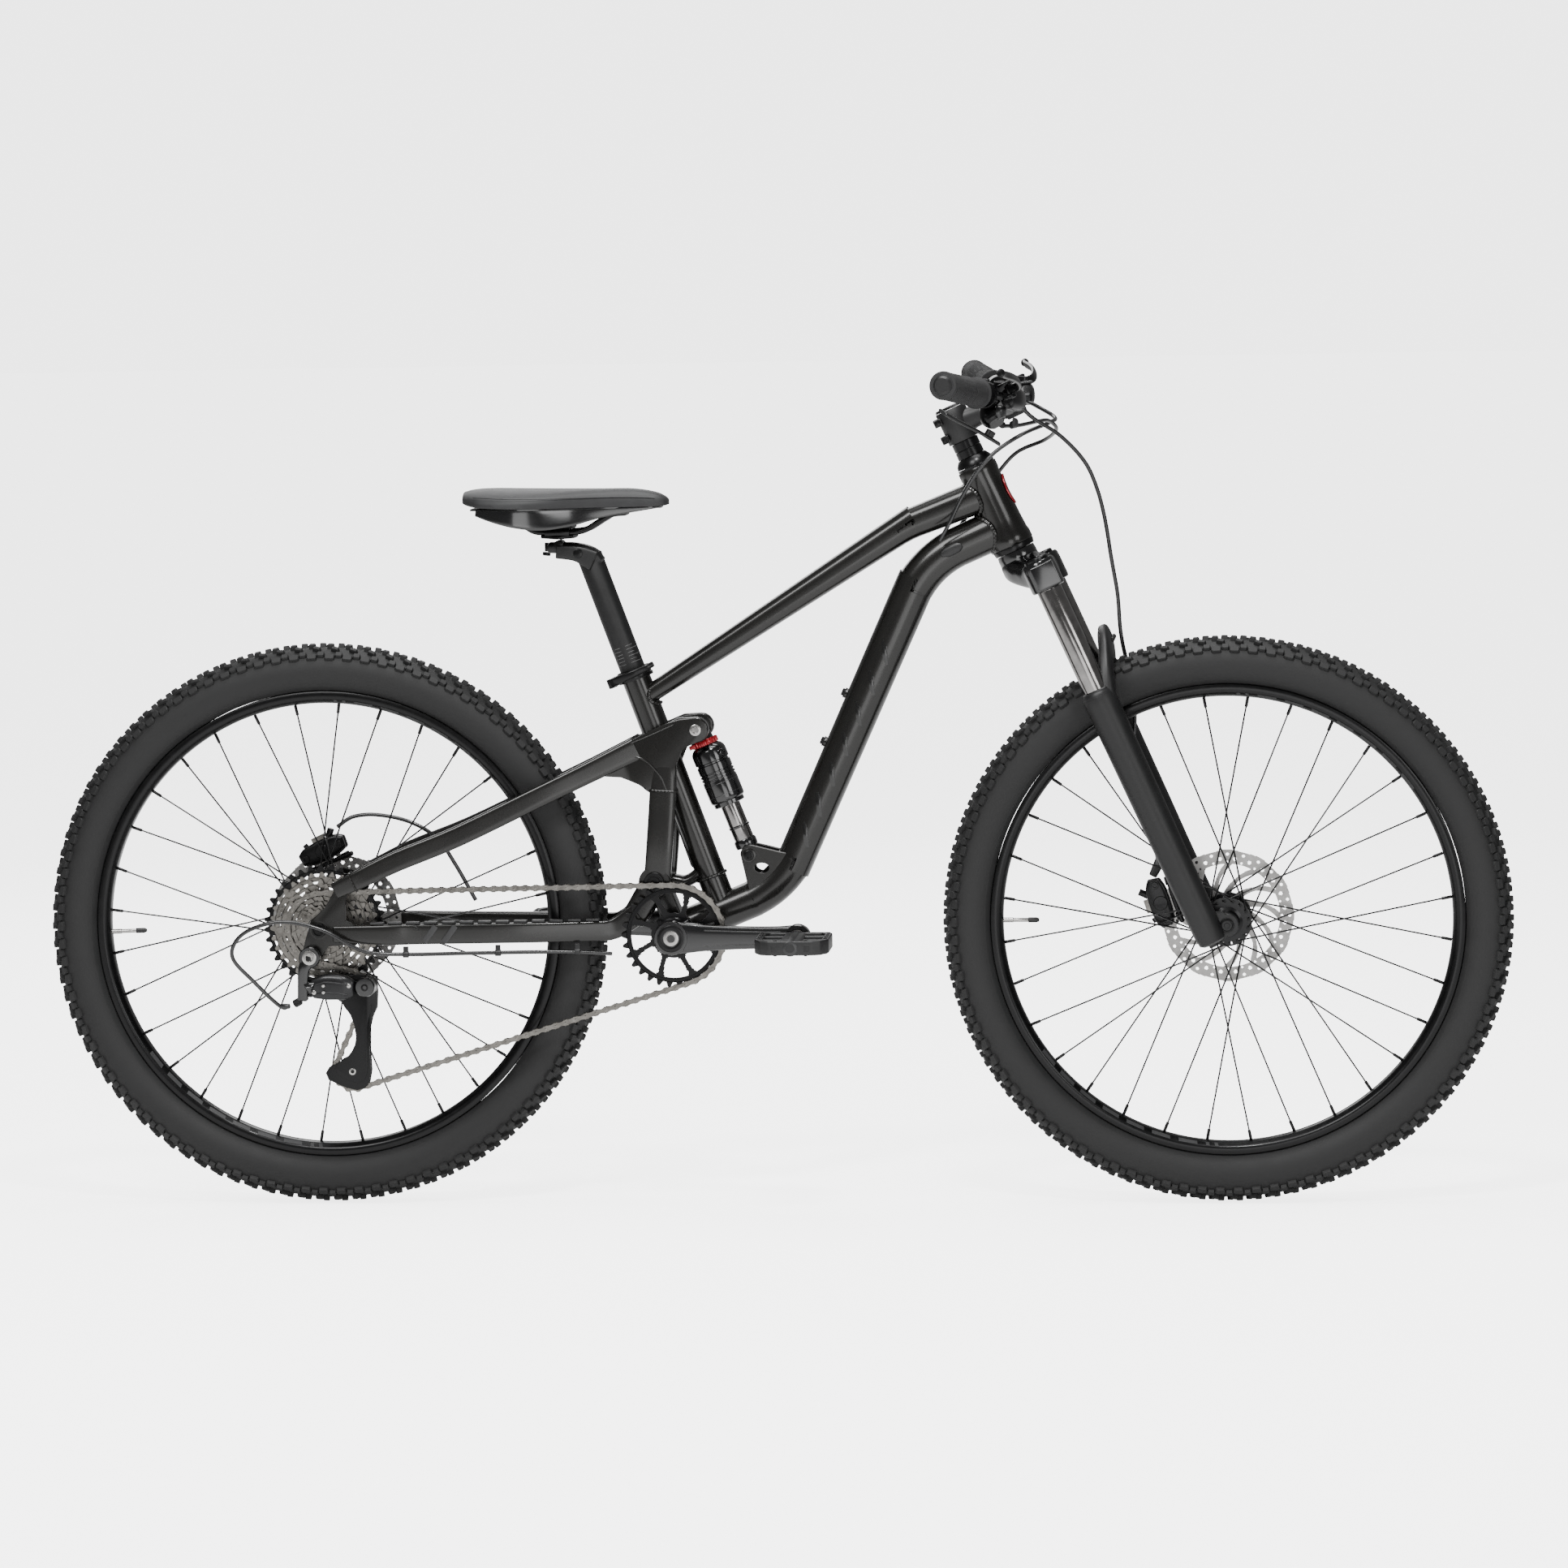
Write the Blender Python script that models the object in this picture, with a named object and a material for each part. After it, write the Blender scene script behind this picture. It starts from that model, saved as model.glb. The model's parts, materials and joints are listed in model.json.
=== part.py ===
"""Mountain bike with a single-pivot rear suspension and a telescopic fork.

Metres. +X points forward, +Z up, and the drive side (chain side) is -Y.
The origin is on the ground, midway between the wheel axles, on the bike's mid-plane.
"""
import math

import bmesh
import bpy
from mathutils import Matrix, Vector

# ---------------------------------------------------------------- driving dimensions
GAP = 0.0003                 # smallest gap kept between neighbouring pieces
RUN = 0.0006                 # radial room between a moving piece and its seat

TYRE_RADIUS = 0.342          # over the knobs
TYRE_HALF_WIDTH = 0.0285
RIM_EDGE_RADIUS = 0.284      # rim edge, where the tyre starts
RIM_BED_RADIUS = 0.269       # inner face of the rim, where the spokes end
RIM_HALF_WIDTH = 0.0145
SPOKES = 32
SPOKE_RADIUS = 0.0009
ROTOR_RADIUS = 0.080

CHAINSTAY_LENGTH = 0.4265    # crank axis to rear axle, along X
BB_DROP = 0.011              # crank axis below the wheel axles
FRONT_CENTRE = 0.6635        # crank axis to front axle, along X
REACH = 0.3895               # crank axis to the middle of the head tube, along X
STACK = 0.510                # crank axis to the middle of the head tube, along Z
HEAD_LEAN = math.radians(24.2)
HEAD_TUBE_LENGTH = 0.103
SEAT_LEAN = math.radians(20.0)
SEAT_TUBE_RADIUS = 0.0174
SEATPOST_RADIUS = 0.01545
SEATPOST_EXPOSED = 0.152     # seat clamp to the seatpost head
DOWN_TUBE_RADIUS = 0.022
CRANK_LENGTH = 0.152

STANCHION_RADIUS = 0.015
STANCHION_HALF_SPACING = 0.065
CROWN_OFFSET = 0.0215        # stanchions ahead of the steering axis
FORK_TRAVEL = 0.100
SEAL_DROP = 0.2535           # head tube middle to the fork seals, along the steering axis
STEERER_RADIUS = 0.0143

BAR_RADIUS = 0.0111
BAR_CLAMP_RADIUS = 0.0159
BAR_HALF_WIDTH = 0.3245
GRIP_RADIUS = 0.0165
GRIP_LENGTH = 0.130
STEM_LENGTH = 0.065

SHOCK_LENGTH = 0.165         # eye to eye
SHOCK_LEAN = math.radians(21.5)
SHOCK_CAN_RADIUS = 0.0215
SHOCK_SHAFT_RADIUS = 0.012
SHOCK_BORE_ROOM = 0.0016     # the opened linkage needs this much room round the shaft

CHAIN_Y = -0.049
CHAIN_PITCH = 0.0127
CHAIN_HALF_WIDTH = 0.0029
CHAIN_HALF_HEIGHT = 0.0040
CHAIN_ROOM = 0.0012          # between the chain band and the discs it runs round
CHAINRING_TEETH = 30
COG_TEETH = 21
PULLEY_TEETH = 11
LARGEST_COG_RADIUS = 0.0765

ROUND = 12                   # sides of a middle-sized round piece
FINE = 40                    # sides of a wheel

# ---------------------------------------------------------------- key points
MIDDLE_X = (FRONT_CENTRE - CHAINSTAY_LENGTH) / 2
AXLE_Z = TYRE_RADIUS
CRANK_CENTRE = Vector((-MIDDLE_X, 0, AXLE_Z - BB_DROP))
REAR_AXLE = Vector((CRANK_CENTRE.x - CHAINSTAY_LENGTH, 0, AXLE_Z))
FRONT_AXLE = Vector((CRANK_CENTRE.x + FRONT_CENTRE, 0, AXLE_Z))
HEAD_MIDDLE = CRANK_CENTRE + Vector((REACH, 0, STACK))
MAIN_PIVOT = CRANK_CENTRE + Vector((-0.0235, 0, 0.063))
SEAT_POINT = CRANK_CENTRE + Vector((-0.0335, 0, 0.273))
SHOCK_FOOT = CRANK_CENTRE + Vector((0.0895, 0, 0.093))
SIDEWAYS = Vector((0, 1, 0))


def pitch_radius(teeth):
    return CHAIN_PITCH / (2 * math.sin(math.pi / teeth))


def slanted(origin, lean):
    """Return a function that turns (along, forward, sideways) into a world point.

    `along` runs up the axis, which leans back by `lean` from the vertical."""
    up = Vector((-math.sin(lean), 0, math.cos(lean)))
    forward = Vector((math.cos(lean), 0, math.sin(lean)))

    def place(along, ahead=0.0, side=0.0):
        return origin + up * along + forward * ahead + SIDEWAYS * side
    place.up = up
    place.forward = forward
    return place


steer = slanted(HEAD_MIDDLE, HEAD_LEAN)
seat = slanted(SEAT_POINT, SEAT_LEAN)
shock = slanted(SHOCK_FOOT, SHOCK_LEAN)
HEAD_HALF = HEAD_TUBE_LENGTH / 2


def from_crank(x, z, y=0.0):
    return CRANK_CENTRE + Vector((x, y, z))


def from_pivot(x, z, y=0.0):
    return MAIN_PIVOT + Vector((x, y, z))


def from_rear_axle(x, z, y=0.0):
    return REAR_AXLE + Vector((x, y, z))


def from_front_axle(x, z, y=0.0):
    return FRONT_AXLE + Vector((x, y, z))


# ---------------------------------------------------------------- materials
def make_material(name, colour, roughness, metallic):
    material = bpy.data.materials.new(name)
    material.use_nodes = True
    shader = material.node_tree.nodes["Principled BSDF"]
    shader.inputs["Base Color"].default_value = (*colour, 1)
    shader.inputs["Roughness"].default_value = roughness
    shader.inputs["Metallic"].default_value = metallic
    return material


def start_scene():
    for thing in list(bpy.data.objects):
        bpy.data.objects.remove(thing, do_unlink=True)


start_scene()
FRAME_PAINT = make_material("frame_paint", (0.030, 0.029, 0.026), 0.38, 0.6)
BLACK_METAL = make_material("black_metal", (0.012, 0.012, 0.013), 0.35, 0.8)
MATT_BLACK = make_material("matt_black", (0.018, 0.018, 0.019), 0.55, 0.2)
DARK_CHROME = make_material("dark_chrome", (0.12, 0.11, 0.11), 0.16, 1.0)
STEEL = make_material("steel", (0.45, 0.44, 0.42), 0.35, 1.0)
RUBBER = make_material("rubber", (0.020, 0.020, 0.021), 0.75, 0.0)
PLASTIC = make_material("plastic", (0.015, 0.015, 0.016), 0.45, 0.0)
COVER = make_material("saddle_cover", (0.030, 0.030, 0.032), 0.60, 0.0)
HOSE = make_material("hose", (0.010, 0.010, 0.011), 0.40, 0.0)


# ---------------------------------------------------------------- mesh tools
def new_object(name, mesh, material=None, origin=None):
    """Add an object; with an origin its mesh is stored about that point."""
    if origin is not None:
        mesh.transform(Matrix.Translation(-Vector(origin)))
    thing = bpy.data.objects.new(name, mesh)
    bpy.context.scene.collection.objects.link(thing)
    if origin is not None:
        thing.location = origin
    if material is not None:
        mesh.materials.clear()
        mesh.materials.append(material)
    return thing


def finish_mesh(bm, name):
    bmesh.ops.recalc_face_normals(bm, faces=bm.faces)
    mesh = bpy.data.meshes.new(name)
    bm.to_mesh(mesh)
    bm.free()
    return mesh


def rings_to_mesh(name, rings, closed=False):
    """Join rings of points into a closed solid; ends are capped unless it is a loop."""
    bm = bmesh.new()
    rows = [[bm.verts.new(point) for point in ring] for ring in rings]
    count = len(rows[0])
    spans = len(rows) if closed else len(rows) - 1
    for i in range(spans):
        here, there = rows[i], rows[(i + 1) % len(rows)]
        for k in range(count):
            n = (k + 1) % count
            bm.faces.new((here[k], here[n], there[n], there[k]))
    if not closed:
        bm.faces.new(rows[0])
        bm.faces.new(rows[-1])
    return finish_mesh(bm, name)


def across(axis):
    """Two unit vectors square to an axis."""
    axis = Vector(axis).normalized()
    helper = SIDEWAYS if abs(axis.y) < 0.9 else Vector((1, 0, 0))
    first = axis.cross(helper).normalized()
    return first, axis.cross(first).normalized()


def turned(name, profile, centre, axis=SIDEWAYS, sides=ROUND, start=0.0):
    """Turn (radius, along) points about an axis; a radius of 0 closes an end."""
    first, second = across(axis)
    axis = Vector(axis).normalized()
    centre = Vector(centre)
    bm = bmesh.new()
    loops = []
    for radius, along in profile:
        if radius == 0:
            loops.append([bm.verts.new(centre + axis * along)])
            continue
        ring = []
        for k in range(sides):
            angle = start + 2 * math.pi * k / sides
            point = centre + axis * along + (first * math.cos(angle) + second * math.sin(angle)) * radius
            ring.append(bm.verts.new(point))
        loops.append(ring)
    solid_ends = profile[0][0] == 0 and profile[-1][0] == 0
    pairs = list(zip(loops, loops[1:]))
    if not solid_ends:
        pairs.append((loops[-1], loops[0]))
    for here, there in pairs:
        for k in range(sides):
            n = (k + 1) % sides
            if len(here) == 1:
                bm.faces.new((here[0], there[k], there[n]))
            elif len(there) == 1:
                bm.faces.new((here[k], here[n], there[0]))
            else:
                bm.faces.new((here[k], here[n], there[n], there[k]))
    return finish_mesh(bm, name)


def rod(name, start, end, radius, end_radius=None, sides=16):
    start, end = Vector(start), Vector(end)
    length = (end - start).length
    far = radius if end_radius is None else end_radius
    profile = [(0, 0), (radius, 0), (far, length), (0, length)]
    return turned(name, profile, start, end - start, sides)


def tube(name, start, end, outer, inner, sides=ROUND):
    start, end = Vector(start), Vector(end)
    length = (end - start).length
    profile = [(outer, 0), (outer, length), (inner, length), (inner, 0)]
    return turned(name, profile, start, end - start, sides)


def section(centre, along, height, width, sides, squareness, side_axis=SIDEWAYS):
    """A rounded-rectangle ring: squareness 2 is an ellipse, 5 is nearly a rectangle."""
    along = Vector(along).normalized()
    side = (side_axis - along * side_axis.dot(along)).normalized()
    up = side.cross(along).normalized()
    ring = []
    for k in range(sides):
        angle = 2 * math.pi * (k + 0.5) / sides
        c, s = math.cos(angle), math.sin(angle)
        a = math.copysign(abs(c) ** (2 / squareness), c)
        b = math.copysign(abs(s) ** (2 / squareness), s)
        ring.append(Vector(centre) + side * a * width + up * b * height)
    return ring


def swept(name, stations, sides=12, squareness=2.0, side_axis=SIDEWAYS):
    """Sweep a section; each station is (point, half height, half width)."""
    points = [Vector(s[0]) for s in stations]
    rings = []
    for i, (_, height, width) in enumerate(stations):
        before = points[max(i - 1, 0)]
        after = points[min(i + 1, len(points) - 1)]
        rings.append(section(points[i], after - before, height, width, sides, squareness, side_axis))
    return rings_to_mesh(name, rings)


def plate(name, outline, y_low, y_high):
    """A flat plate: (x, z) outline points, from y_low to y_high."""
    bm = bmesh.new()
    low = [bm.verts.new((x, y_low, z)) for x, z in outline]
    high = [bm.verts.new((x, y_high, z)) for x, z in outline]
    count = len(outline)
    bm.faces.new(low)
    bm.faces.new(high)
    for k in range(count):
        n = (k + 1) % count
        bm.faces.new((low[k], low[n], high[n], high[k]))
    return finish_mesh(bm, name)


def block(name, centre, size, rotation_y=0.0):
    bm = bmesh.new()
    bmesh.ops.create_cube(bm, size=1)
    bmesh.ops.scale(bm, vec=size, verts=bm.verts)
    bmesh.ops.rotate(bm, verts=bm.verts, matrix=Matrix.Rotation(rotation_y, 3, "Y"))
    bmesh.ops.translate(bm, vec=centre, verts=bm.verts)
    return finish_mesh(bm, name)


def combined(name, base, steps):
    """Apply (operation, mesh) steps to a mesh, one exact Boolean at a time."""
    for operation, mesh in steps:
        target = new_object(name, base)
        helper = new_object(name + "_helper", mesh)
        modifier = target.modifiers.new("step", "BOOLEAN")
        modifier.operation = operation
        modifier.object = helper
        modifier.solver = "EXACT"
        graph = bpy.context.evaluated_depsgraph_get()
        result = bpy.data.meshes.new_from_object(target.evaluated_get(graph))
        bpy.data.objects.remove(target, do_unlink=True)
        bpy.data.objects.remove(helper, do_unlink=True)
        bm = bmesh.new()
        bm.from_mesh(result)
        bmesh.ops.remove_doubles(bm, verts=bm.verts, dist=1e-6)
        bmesh.ops.dissolve_degenerate(bm, dist=1e-6, edges=bm.edges)
        base = finish_mesh(bm, name)
    return base


def add(*meshes):
    return [("UNION", mesh) for mesh in meshes]


def cut(*meshes):
    return [("DIFFERENCE", mesh) for mesh in meshes]


def node(name, mesh, material, origin=None):
    """Make the finished sub-part, shaded smooth with crisp edges."""
    thing = new_object(name, mesh, material, origin)
    mesh.shade_smooth()
    mesh.set_sharp_from_angle(angle=math.radians(35))
    return thing


def bent_path(corners, bend_radius, arc_points=5):
    """A polyline whose inner corners are rounded to a radius."""
    corners = [Vector(c) for c in corners]
    path = [corners[0]]
    for before, here, after in zip(corners, corners[1:], corners[2:]):
        toward = (before - here).normalized()
        away = (after - here).normalized()
        turn = math.pi - toward.angle(away)
        reach = bend_radius * math.tan(turn / 2)
        centre = here + (toward + away).normalized() * (bend_radius / math.cos(turn / 2))
        start, end = here + toward * reach - centre, here + away * reach - centre
        for k in range(arc_points):
            turned_arm = start.slerp(end, k / (arc_points - 1)).normalized()
            path.append(centre + turned_arm * start.length)
    path.append(corners[-1])
    return path


def graded(path, start, end):
    """Stations along a path whose half height and half width grade evenly by length."""
    lengths = [0.0]
    for a, b in zip(path, path[1:]):
        lengths.append(lengths[-1] + (b - a).length)
    stations = []
    for point, length in zip(path, lengths):
        t = length / lengths[-1]
        stations.append((point, start[0] + (end[0] - start[0]) * t, start[1] + (end[1] - start[1]) * t))
    return stations


def smooth_route(points, spacing):
    """Read a smooth curve through hand-chosen points at even spacing."""
    points = [Vector(p) for p in points]
    ends = [points[0] * 2 - points[1]] + points + [points[-1] * 2 - points[-2]]
    fine = []
    for i in range(1, len(ends) - 2):
        a, b, c, d = ends[i - 1:i + 3]
        for k in range(24):
            t = k / 24
            fine.append(0.5 * (2 * b + (c - a) * t + (2 * a - 5 * b + 4 * c - d) * t * t
                               + (3 * b - a - 3 * c + d) * t ** 3))
    fine.append(points[-1])
    route, travelled = [fine[0]], 0.0
    for a, b in zip(fine, fine[1:]):
        travelled += (b - a).length
        if travelled >= spacing:
            route.append(b)
            travelled = 0.0
    if (route[-1] - fine[-1]).length > spacing / 2:
        route.append(fine[-1])
    else:
        route[-1] = fine[-1]
    return route


def cord(name, points, radius, material, spacing):
    curve = bpy.data.curves.new(name, "CURVE")
    curve.dimensions = "3D"
    curve.bevel_depth = radius
    curve.bevel_resolution = 2
    curve.use_fill_caps = True
    route = smooth_route(points, spacing)
    spline = curve.splines.new("POLY")
    spline.points.add(len(route) - 1)
    for target, point in zip(spline.points, route):
        target.co = (*point, 1)
    curve.materials.append(material)
    thing = bpy.data.objects.new(name, curve)
    bpy.context.scene.collection.objects.link(thing)
    return thing


def mirrored(point):
    return Vector((point[0], -point[1], point[2]))


# ---------------------------------------------------------------- front frame
HEAD_BORE = 0.0185
LUG_HALF_WIDTH = 0.0235
PIVOT_AXLE_RADIUS = 0.0075
SEAT_BORE = SEATPOST_RADIUS + GAP
BB_SHELL_RADIUS = 0.0215
BB_SHELL_HALF = 0.0365
BB_SLEEVE_RADIUS = 0.0160
SHOCK_EAR_INNER = 0.0140
SHOCK_EAR_OUTER = 0.0190
SHOCK_BOLT_RADIUS = 0.0040
BOSS_RADIUS = 0.006
SEAT_TUBE_TOP = 0.0465
BOTTLE_BOSS_SPACING = 0.064
DOWN_TUBE_KNEE_TOP = from_crank(0.3051, 0.444)
DOWN_TUBE_KNEE_LOW = from_crank(0.1298, 0.0538)


def down_tube():
    path = bent_path([steer(-0.0262), DOWN_TUBE_KNEE_TOP, DOWN_TUBE_KNEE_LOW, CRANK_CENTRE], 0.12, 6)
    return swept("down_tube", graded(path, (0.0245, 0.0225), (DOWN_TUBE_RADIUS, DOWN_TUBE_RADIUS)), 12)


def top_tube():
    knee = from_crank(0.2835, 0.488)
    path = bent_path([seat(0.010), knee, steer(0.0175)], 0.15, 4)
    path.insert(1, path[0].lerp(path[1], 0.5))
    return swept("top_tube", graded(path, (0.0113, 0.0155), (0.0205, 0.0215)), 12, 2.4)


def frame_brace():
    """The thin web behind the seat tube and the curved bar that carries the main pivot."""
    web = [from_crank(x, z) for x, z in ((0.005, 0.165), (-0.0055, 0.146), (0.0175, 0.079),
                                         (0.030, 0.067), (0.040, 0.090))]
    web_plate = plate("web", [(p.x, p.z) for p in web], -0.007, 0.007)
    bar_path = [from_crank(0.036, 0.085), from_crank(0.0255, 0.069), from_crank(0.011, 0.0605),
                from_crank(-0.004, 0.062), from_pivot(0, 0)]
    bar = swept("bar", [(p, 0.0075, 0.012) for p in bar_path], 12)
    return web_plate, bar


def pivot_web():
    low = [from_crank(-0.014, 0.0), from_crank(0.014, 0.0), from_pivot(0.013, 0), from_pivot(-0.013, 0)]
    return plate("pivot_web", [(p.x, p.z) for p in low], -0.016, 0.016)


def shock_ears():
    outline = [from_crank(x, z) for x, z in ((0.0785, 0.096), (0.083, 0.104), (0.0915, 0.106), (0.128, 0.097),
                                             (0.145, 0.094), (0.118, 0.052), (0.090, 0.043), (0.0845, 0.069))]
    flat = [(p.x, p.z) for p in outline]
    left = plate("ear_left", flat, SHOCK_EAR_INNER, SHOCK_EAR_OUTER)
    right = plate("ear_right", flat, -SHOCK_EAR_OUTER, -SHOCK_EAR_INNER)
    reach = SHOCK_EAR_OUTER + 0.0025
    bolt = rod("bolt", SHOCK_FOOT - SIDEWAYS * reach, SHOCK_FOOT + SIDEWAYS * reach, SHOCK_BOLT_RADIUS,
               sides=12)
    window = from_crank(0.1045, 0.0775)
    slot = rod("window", window - SIDEWAYS * 0.03, window + SIDEWAYS * 0.03, 0.0065, sides=12)
    return left, right, bolt, slot


def bottle_boss_points():
    """Centres of the two boss faces on the rear side of the down tube's straight run."""
    run = (DOWN_TUBE_KNEE_TOP - DOWN_TUBE_KNEE_LOW).normalized()
    outward = Vector((-run.z, 0, run.x))
    upper = DOWN_TUBE_KNEE_LOW + run * 0.2445
    face = outward * (DOWN_TUBE_RADIUS + 0.0035)
    return outward, [upper + face, upper - run * BOTTLE_BOSS_SPACING + face]


def build_front_frame():
    seat_tube = rod("seat_tube", seat(-0.252), seat(SEAT_TUBE_TOP), SEAT_TUBE_RADIUS, sides=16)
    head_profile = [(0, -HEAD_HALF), (0.0262, -HEAD_HALF), (0.0262, -HEAD_HALF + 0.012), (0.0235, 0.0),
                    (0.0235, HEAD_HALF), (0, HEAD_HALF)]
    head_tube = turned("head_tube", head_profile, HEAD_MIDDLE, steer.up, 16)
    shell = rod("shell", CRANK_CENTRE - SIDEWAYS * BB_SHELL_HALF, CRANK_CENTRE + SIDEWAYS * BB_SHELL_HALF,
                BB_SHELL_RADIUS, sides=ROUND)
    lug = rod("lug", MAIN_PIVOT - SIDEWAYS * LUG_HALF_WIDTH, MAIN_PIVOT + SIDEWAYS * LUG_HALF_WIDTH,
              0.019, sides=ROUND)
    web, bar = frame_brace()
    ear_left, ear_right, ear_bolt, ear_window = shock_ears()
    outward, bosses = bottle_boss_points()
    boss_rods = [rod("boss", p - outward * 0.012, p, BOSS_RADIUS, sides=12) for p in bosses]
    steps = add(seat_tube, top_tube(), head_tube, shell, lug, web, bar, pivot_web(), ear_left, ear_right,
                *boss_rods)
    steps += cut(ear_window) + add(ear_bolt)
    steps += cut(rod("head_bore", steer(-0.09), steer(0.09), HEAD_BORE, sides=16))
    steps += cut(rod("seat_bore", seat(-0.215), seat(0.08), SEAT_BORE, sides=16))
    steps += cut(rod("bb_bore", CRANK_CENTRE - SIDEWAYS * 0.05, CRANK_CENTRE + SIDEWAYS * 0.05,
                     BB_SLEEVE_RADIUS + GAP, sides=ROUND))
    steps += cut(rod("pivot_bore", MAIN_PIVOT - SIDEWAYS * 0.03, MAIN_PIVOT + SIDEWAYS * 0.03,
                     PIVOT_AXLE_RADIUS + GAP, sides=12))
    node("front_frame", combined("front_frame", down_tube(), steps), FRAME_PAINT)


def build_frame_fittings():
    inner = STEERER_RADIUS + RUN
    cup = HEAD_BORE - GAP
    upper = [(inner, HEAD_HALF - 0.010), (cup, HEAD_HALF - 0.010), (cup, HEAD_HALF + GAP),
             (0.0225, HEAD_HALF + GAP), (0.0225, HEAD_HALF + 0.003), (inner, HEAD_HALF + 0.003)]
    lower = [(inner, -HEAD_HALF + 0.010), (cup, -HEAD_HALF + 0.010), (cup, -HEAD_HALF - GAP),
             (0.0255, -HEAD_HALF - GAP), (0.0245, -HEAD_HALF - 0.007), (inner, -HEAD_HALF - 0.007)]
    node("headset_upper_bearing", turned("upper", upper, HEAD_MIDDLE, steer.up, 16), BLACK_METAL)
    node("headset_lower_bearing", turned("lower", lower, HEAD_MIDDLE, steer.up, 16), BLACK_METAL)

    cups = BB_SHELL_HALF + GAP
    profile = [(0.0127, -0.0445), (0.0205, -0.0445), (0.0205, -cups), (BB_SLEEVE_RADIUS, -cups),
               (BB_SLEEVE_RADIUS, cups), (0.0205, cups), (0.0205, 0.0445), (0.0127, 0.0445)]
    node("bottom_bracket", turned("bottom_bracket", profile, CRANK_CENTRE), BLACK_METAL)

    pivot_half = 0.0405
    profile = [(0, -pivot_half - 0.0035), (0.0125, -pivot_half - 0.0035), (0.0125, -pivot_half - GAP - RUN),
               (PIVOT_AXLE_RADIUS, -pivot_half - GAP - RUN), (PIVOT_AXLE_RADIUS, pivot_half + GAP + RUN),
               (0.0125, pivot_half + GAP + RUN), (0.0125, pivot_half + 0.0035), (0, pivot_half + 0.0035)]
    node("main_pivot_axle", turned("main_pivot_axle", profile, MAIN_PIVOT, sides=12), BLACK_METAL)


COLLAR_LOW = 0.0345
COLLAR_HIGH = 0.0470
COLLAR_OUTER = SEAT_TUBE_RADIUS + 0.0045
LEVER_PIVOT = (-0.0275, -0.0150)     # ahead of the tube axis, and to the side


def build_seat_clamp():
    """Split collar with a cross barrel behind the tube, and its quick-release lever."""
    ring = tube("ring", seat(COLLAR_LOW), seat(COLLAR_HIGH), COLLAR_OUTER, SEAT_TUBE_RADIUS + GAP, 16)
    middle = (COLLAR_LOW + COLLAR_HIGH) / 2
    ears = swept("ears", [(seat(middle, LEVER_PIVOT[0] + 0.002, y), 0.0055, 0.0055) for y in (-0.0085,
                                                                                              0.011)],
                 8, 4.0, seat.forward)
    collar = combined("collar", ring, add(ears) + cut(
        rod("bore", seat(0.02), seat(0.06), SEAT_TUBE_RADIUS + GAP, sides=16)))
    node("seat_clamp_collar", collar, BLACK_METAL)

    pivot = seat(middle, *LEVER_PIVOT)
    barrel = rod("barrel", pivot - seat.up * 0.0058, pivot + seat.up * 0.0058, 0.0055, sides=12)
    route = [(-0.0275, -0.0190), (-0.018, -0.0265), (0.0, -0.0300), (0.018, -0.0275), (0.028, -0.0225)]
    blade = swept("blade", [(seat(middle + 0.0012 * k, ahead, side), 0.0052 - 0.0004 * k, 0.0022)
                            for k, (ahead, side) in enumerate(route)], 8, 3.0, SIDEWAYS)
    node("seat_clamp_lever", combined("lever", barrel, add(blade)), BLACK_METAL, pivot)


# ---------------------------------------------------------------- seatpost and saddle
POST_TOP = COLLAR_HIGH + SEATPOST_EXPOSED
POST_INSERT = 0.112
RAIL_RADIUS = 0.0035
RAIL_HALF_SPACING = 0.022


def from_saddle(x, z, y=0.0):
    """Saddle points move with the top of the seatpost."""
    return seat(POST_TOP) + Vector((x, y, z))


def build_seatpost():
    post = tube("post", seat(COLLAR_HIGH - POST_INSERT), seat(POST_TOP - 0.004), SEATPOST_RADIUS, 0.0130, 16)
    head = swept("head", [(from_saddle(0.012, -0.010), 0.010, 0.0145),
                          (from_saddle(0.000, -0.0005), 0.0095, 0.016),
                          (from_saddle(-0.016, 0.004), 0.0085, 0.017), (from_saddle(-0.046, 0.0055), 0.0075,
                                                                        0.017)],
                 16, 3.2)
    node("seatpost", combined("seatpost", post, add(head)), MATT_BLACK)


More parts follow.
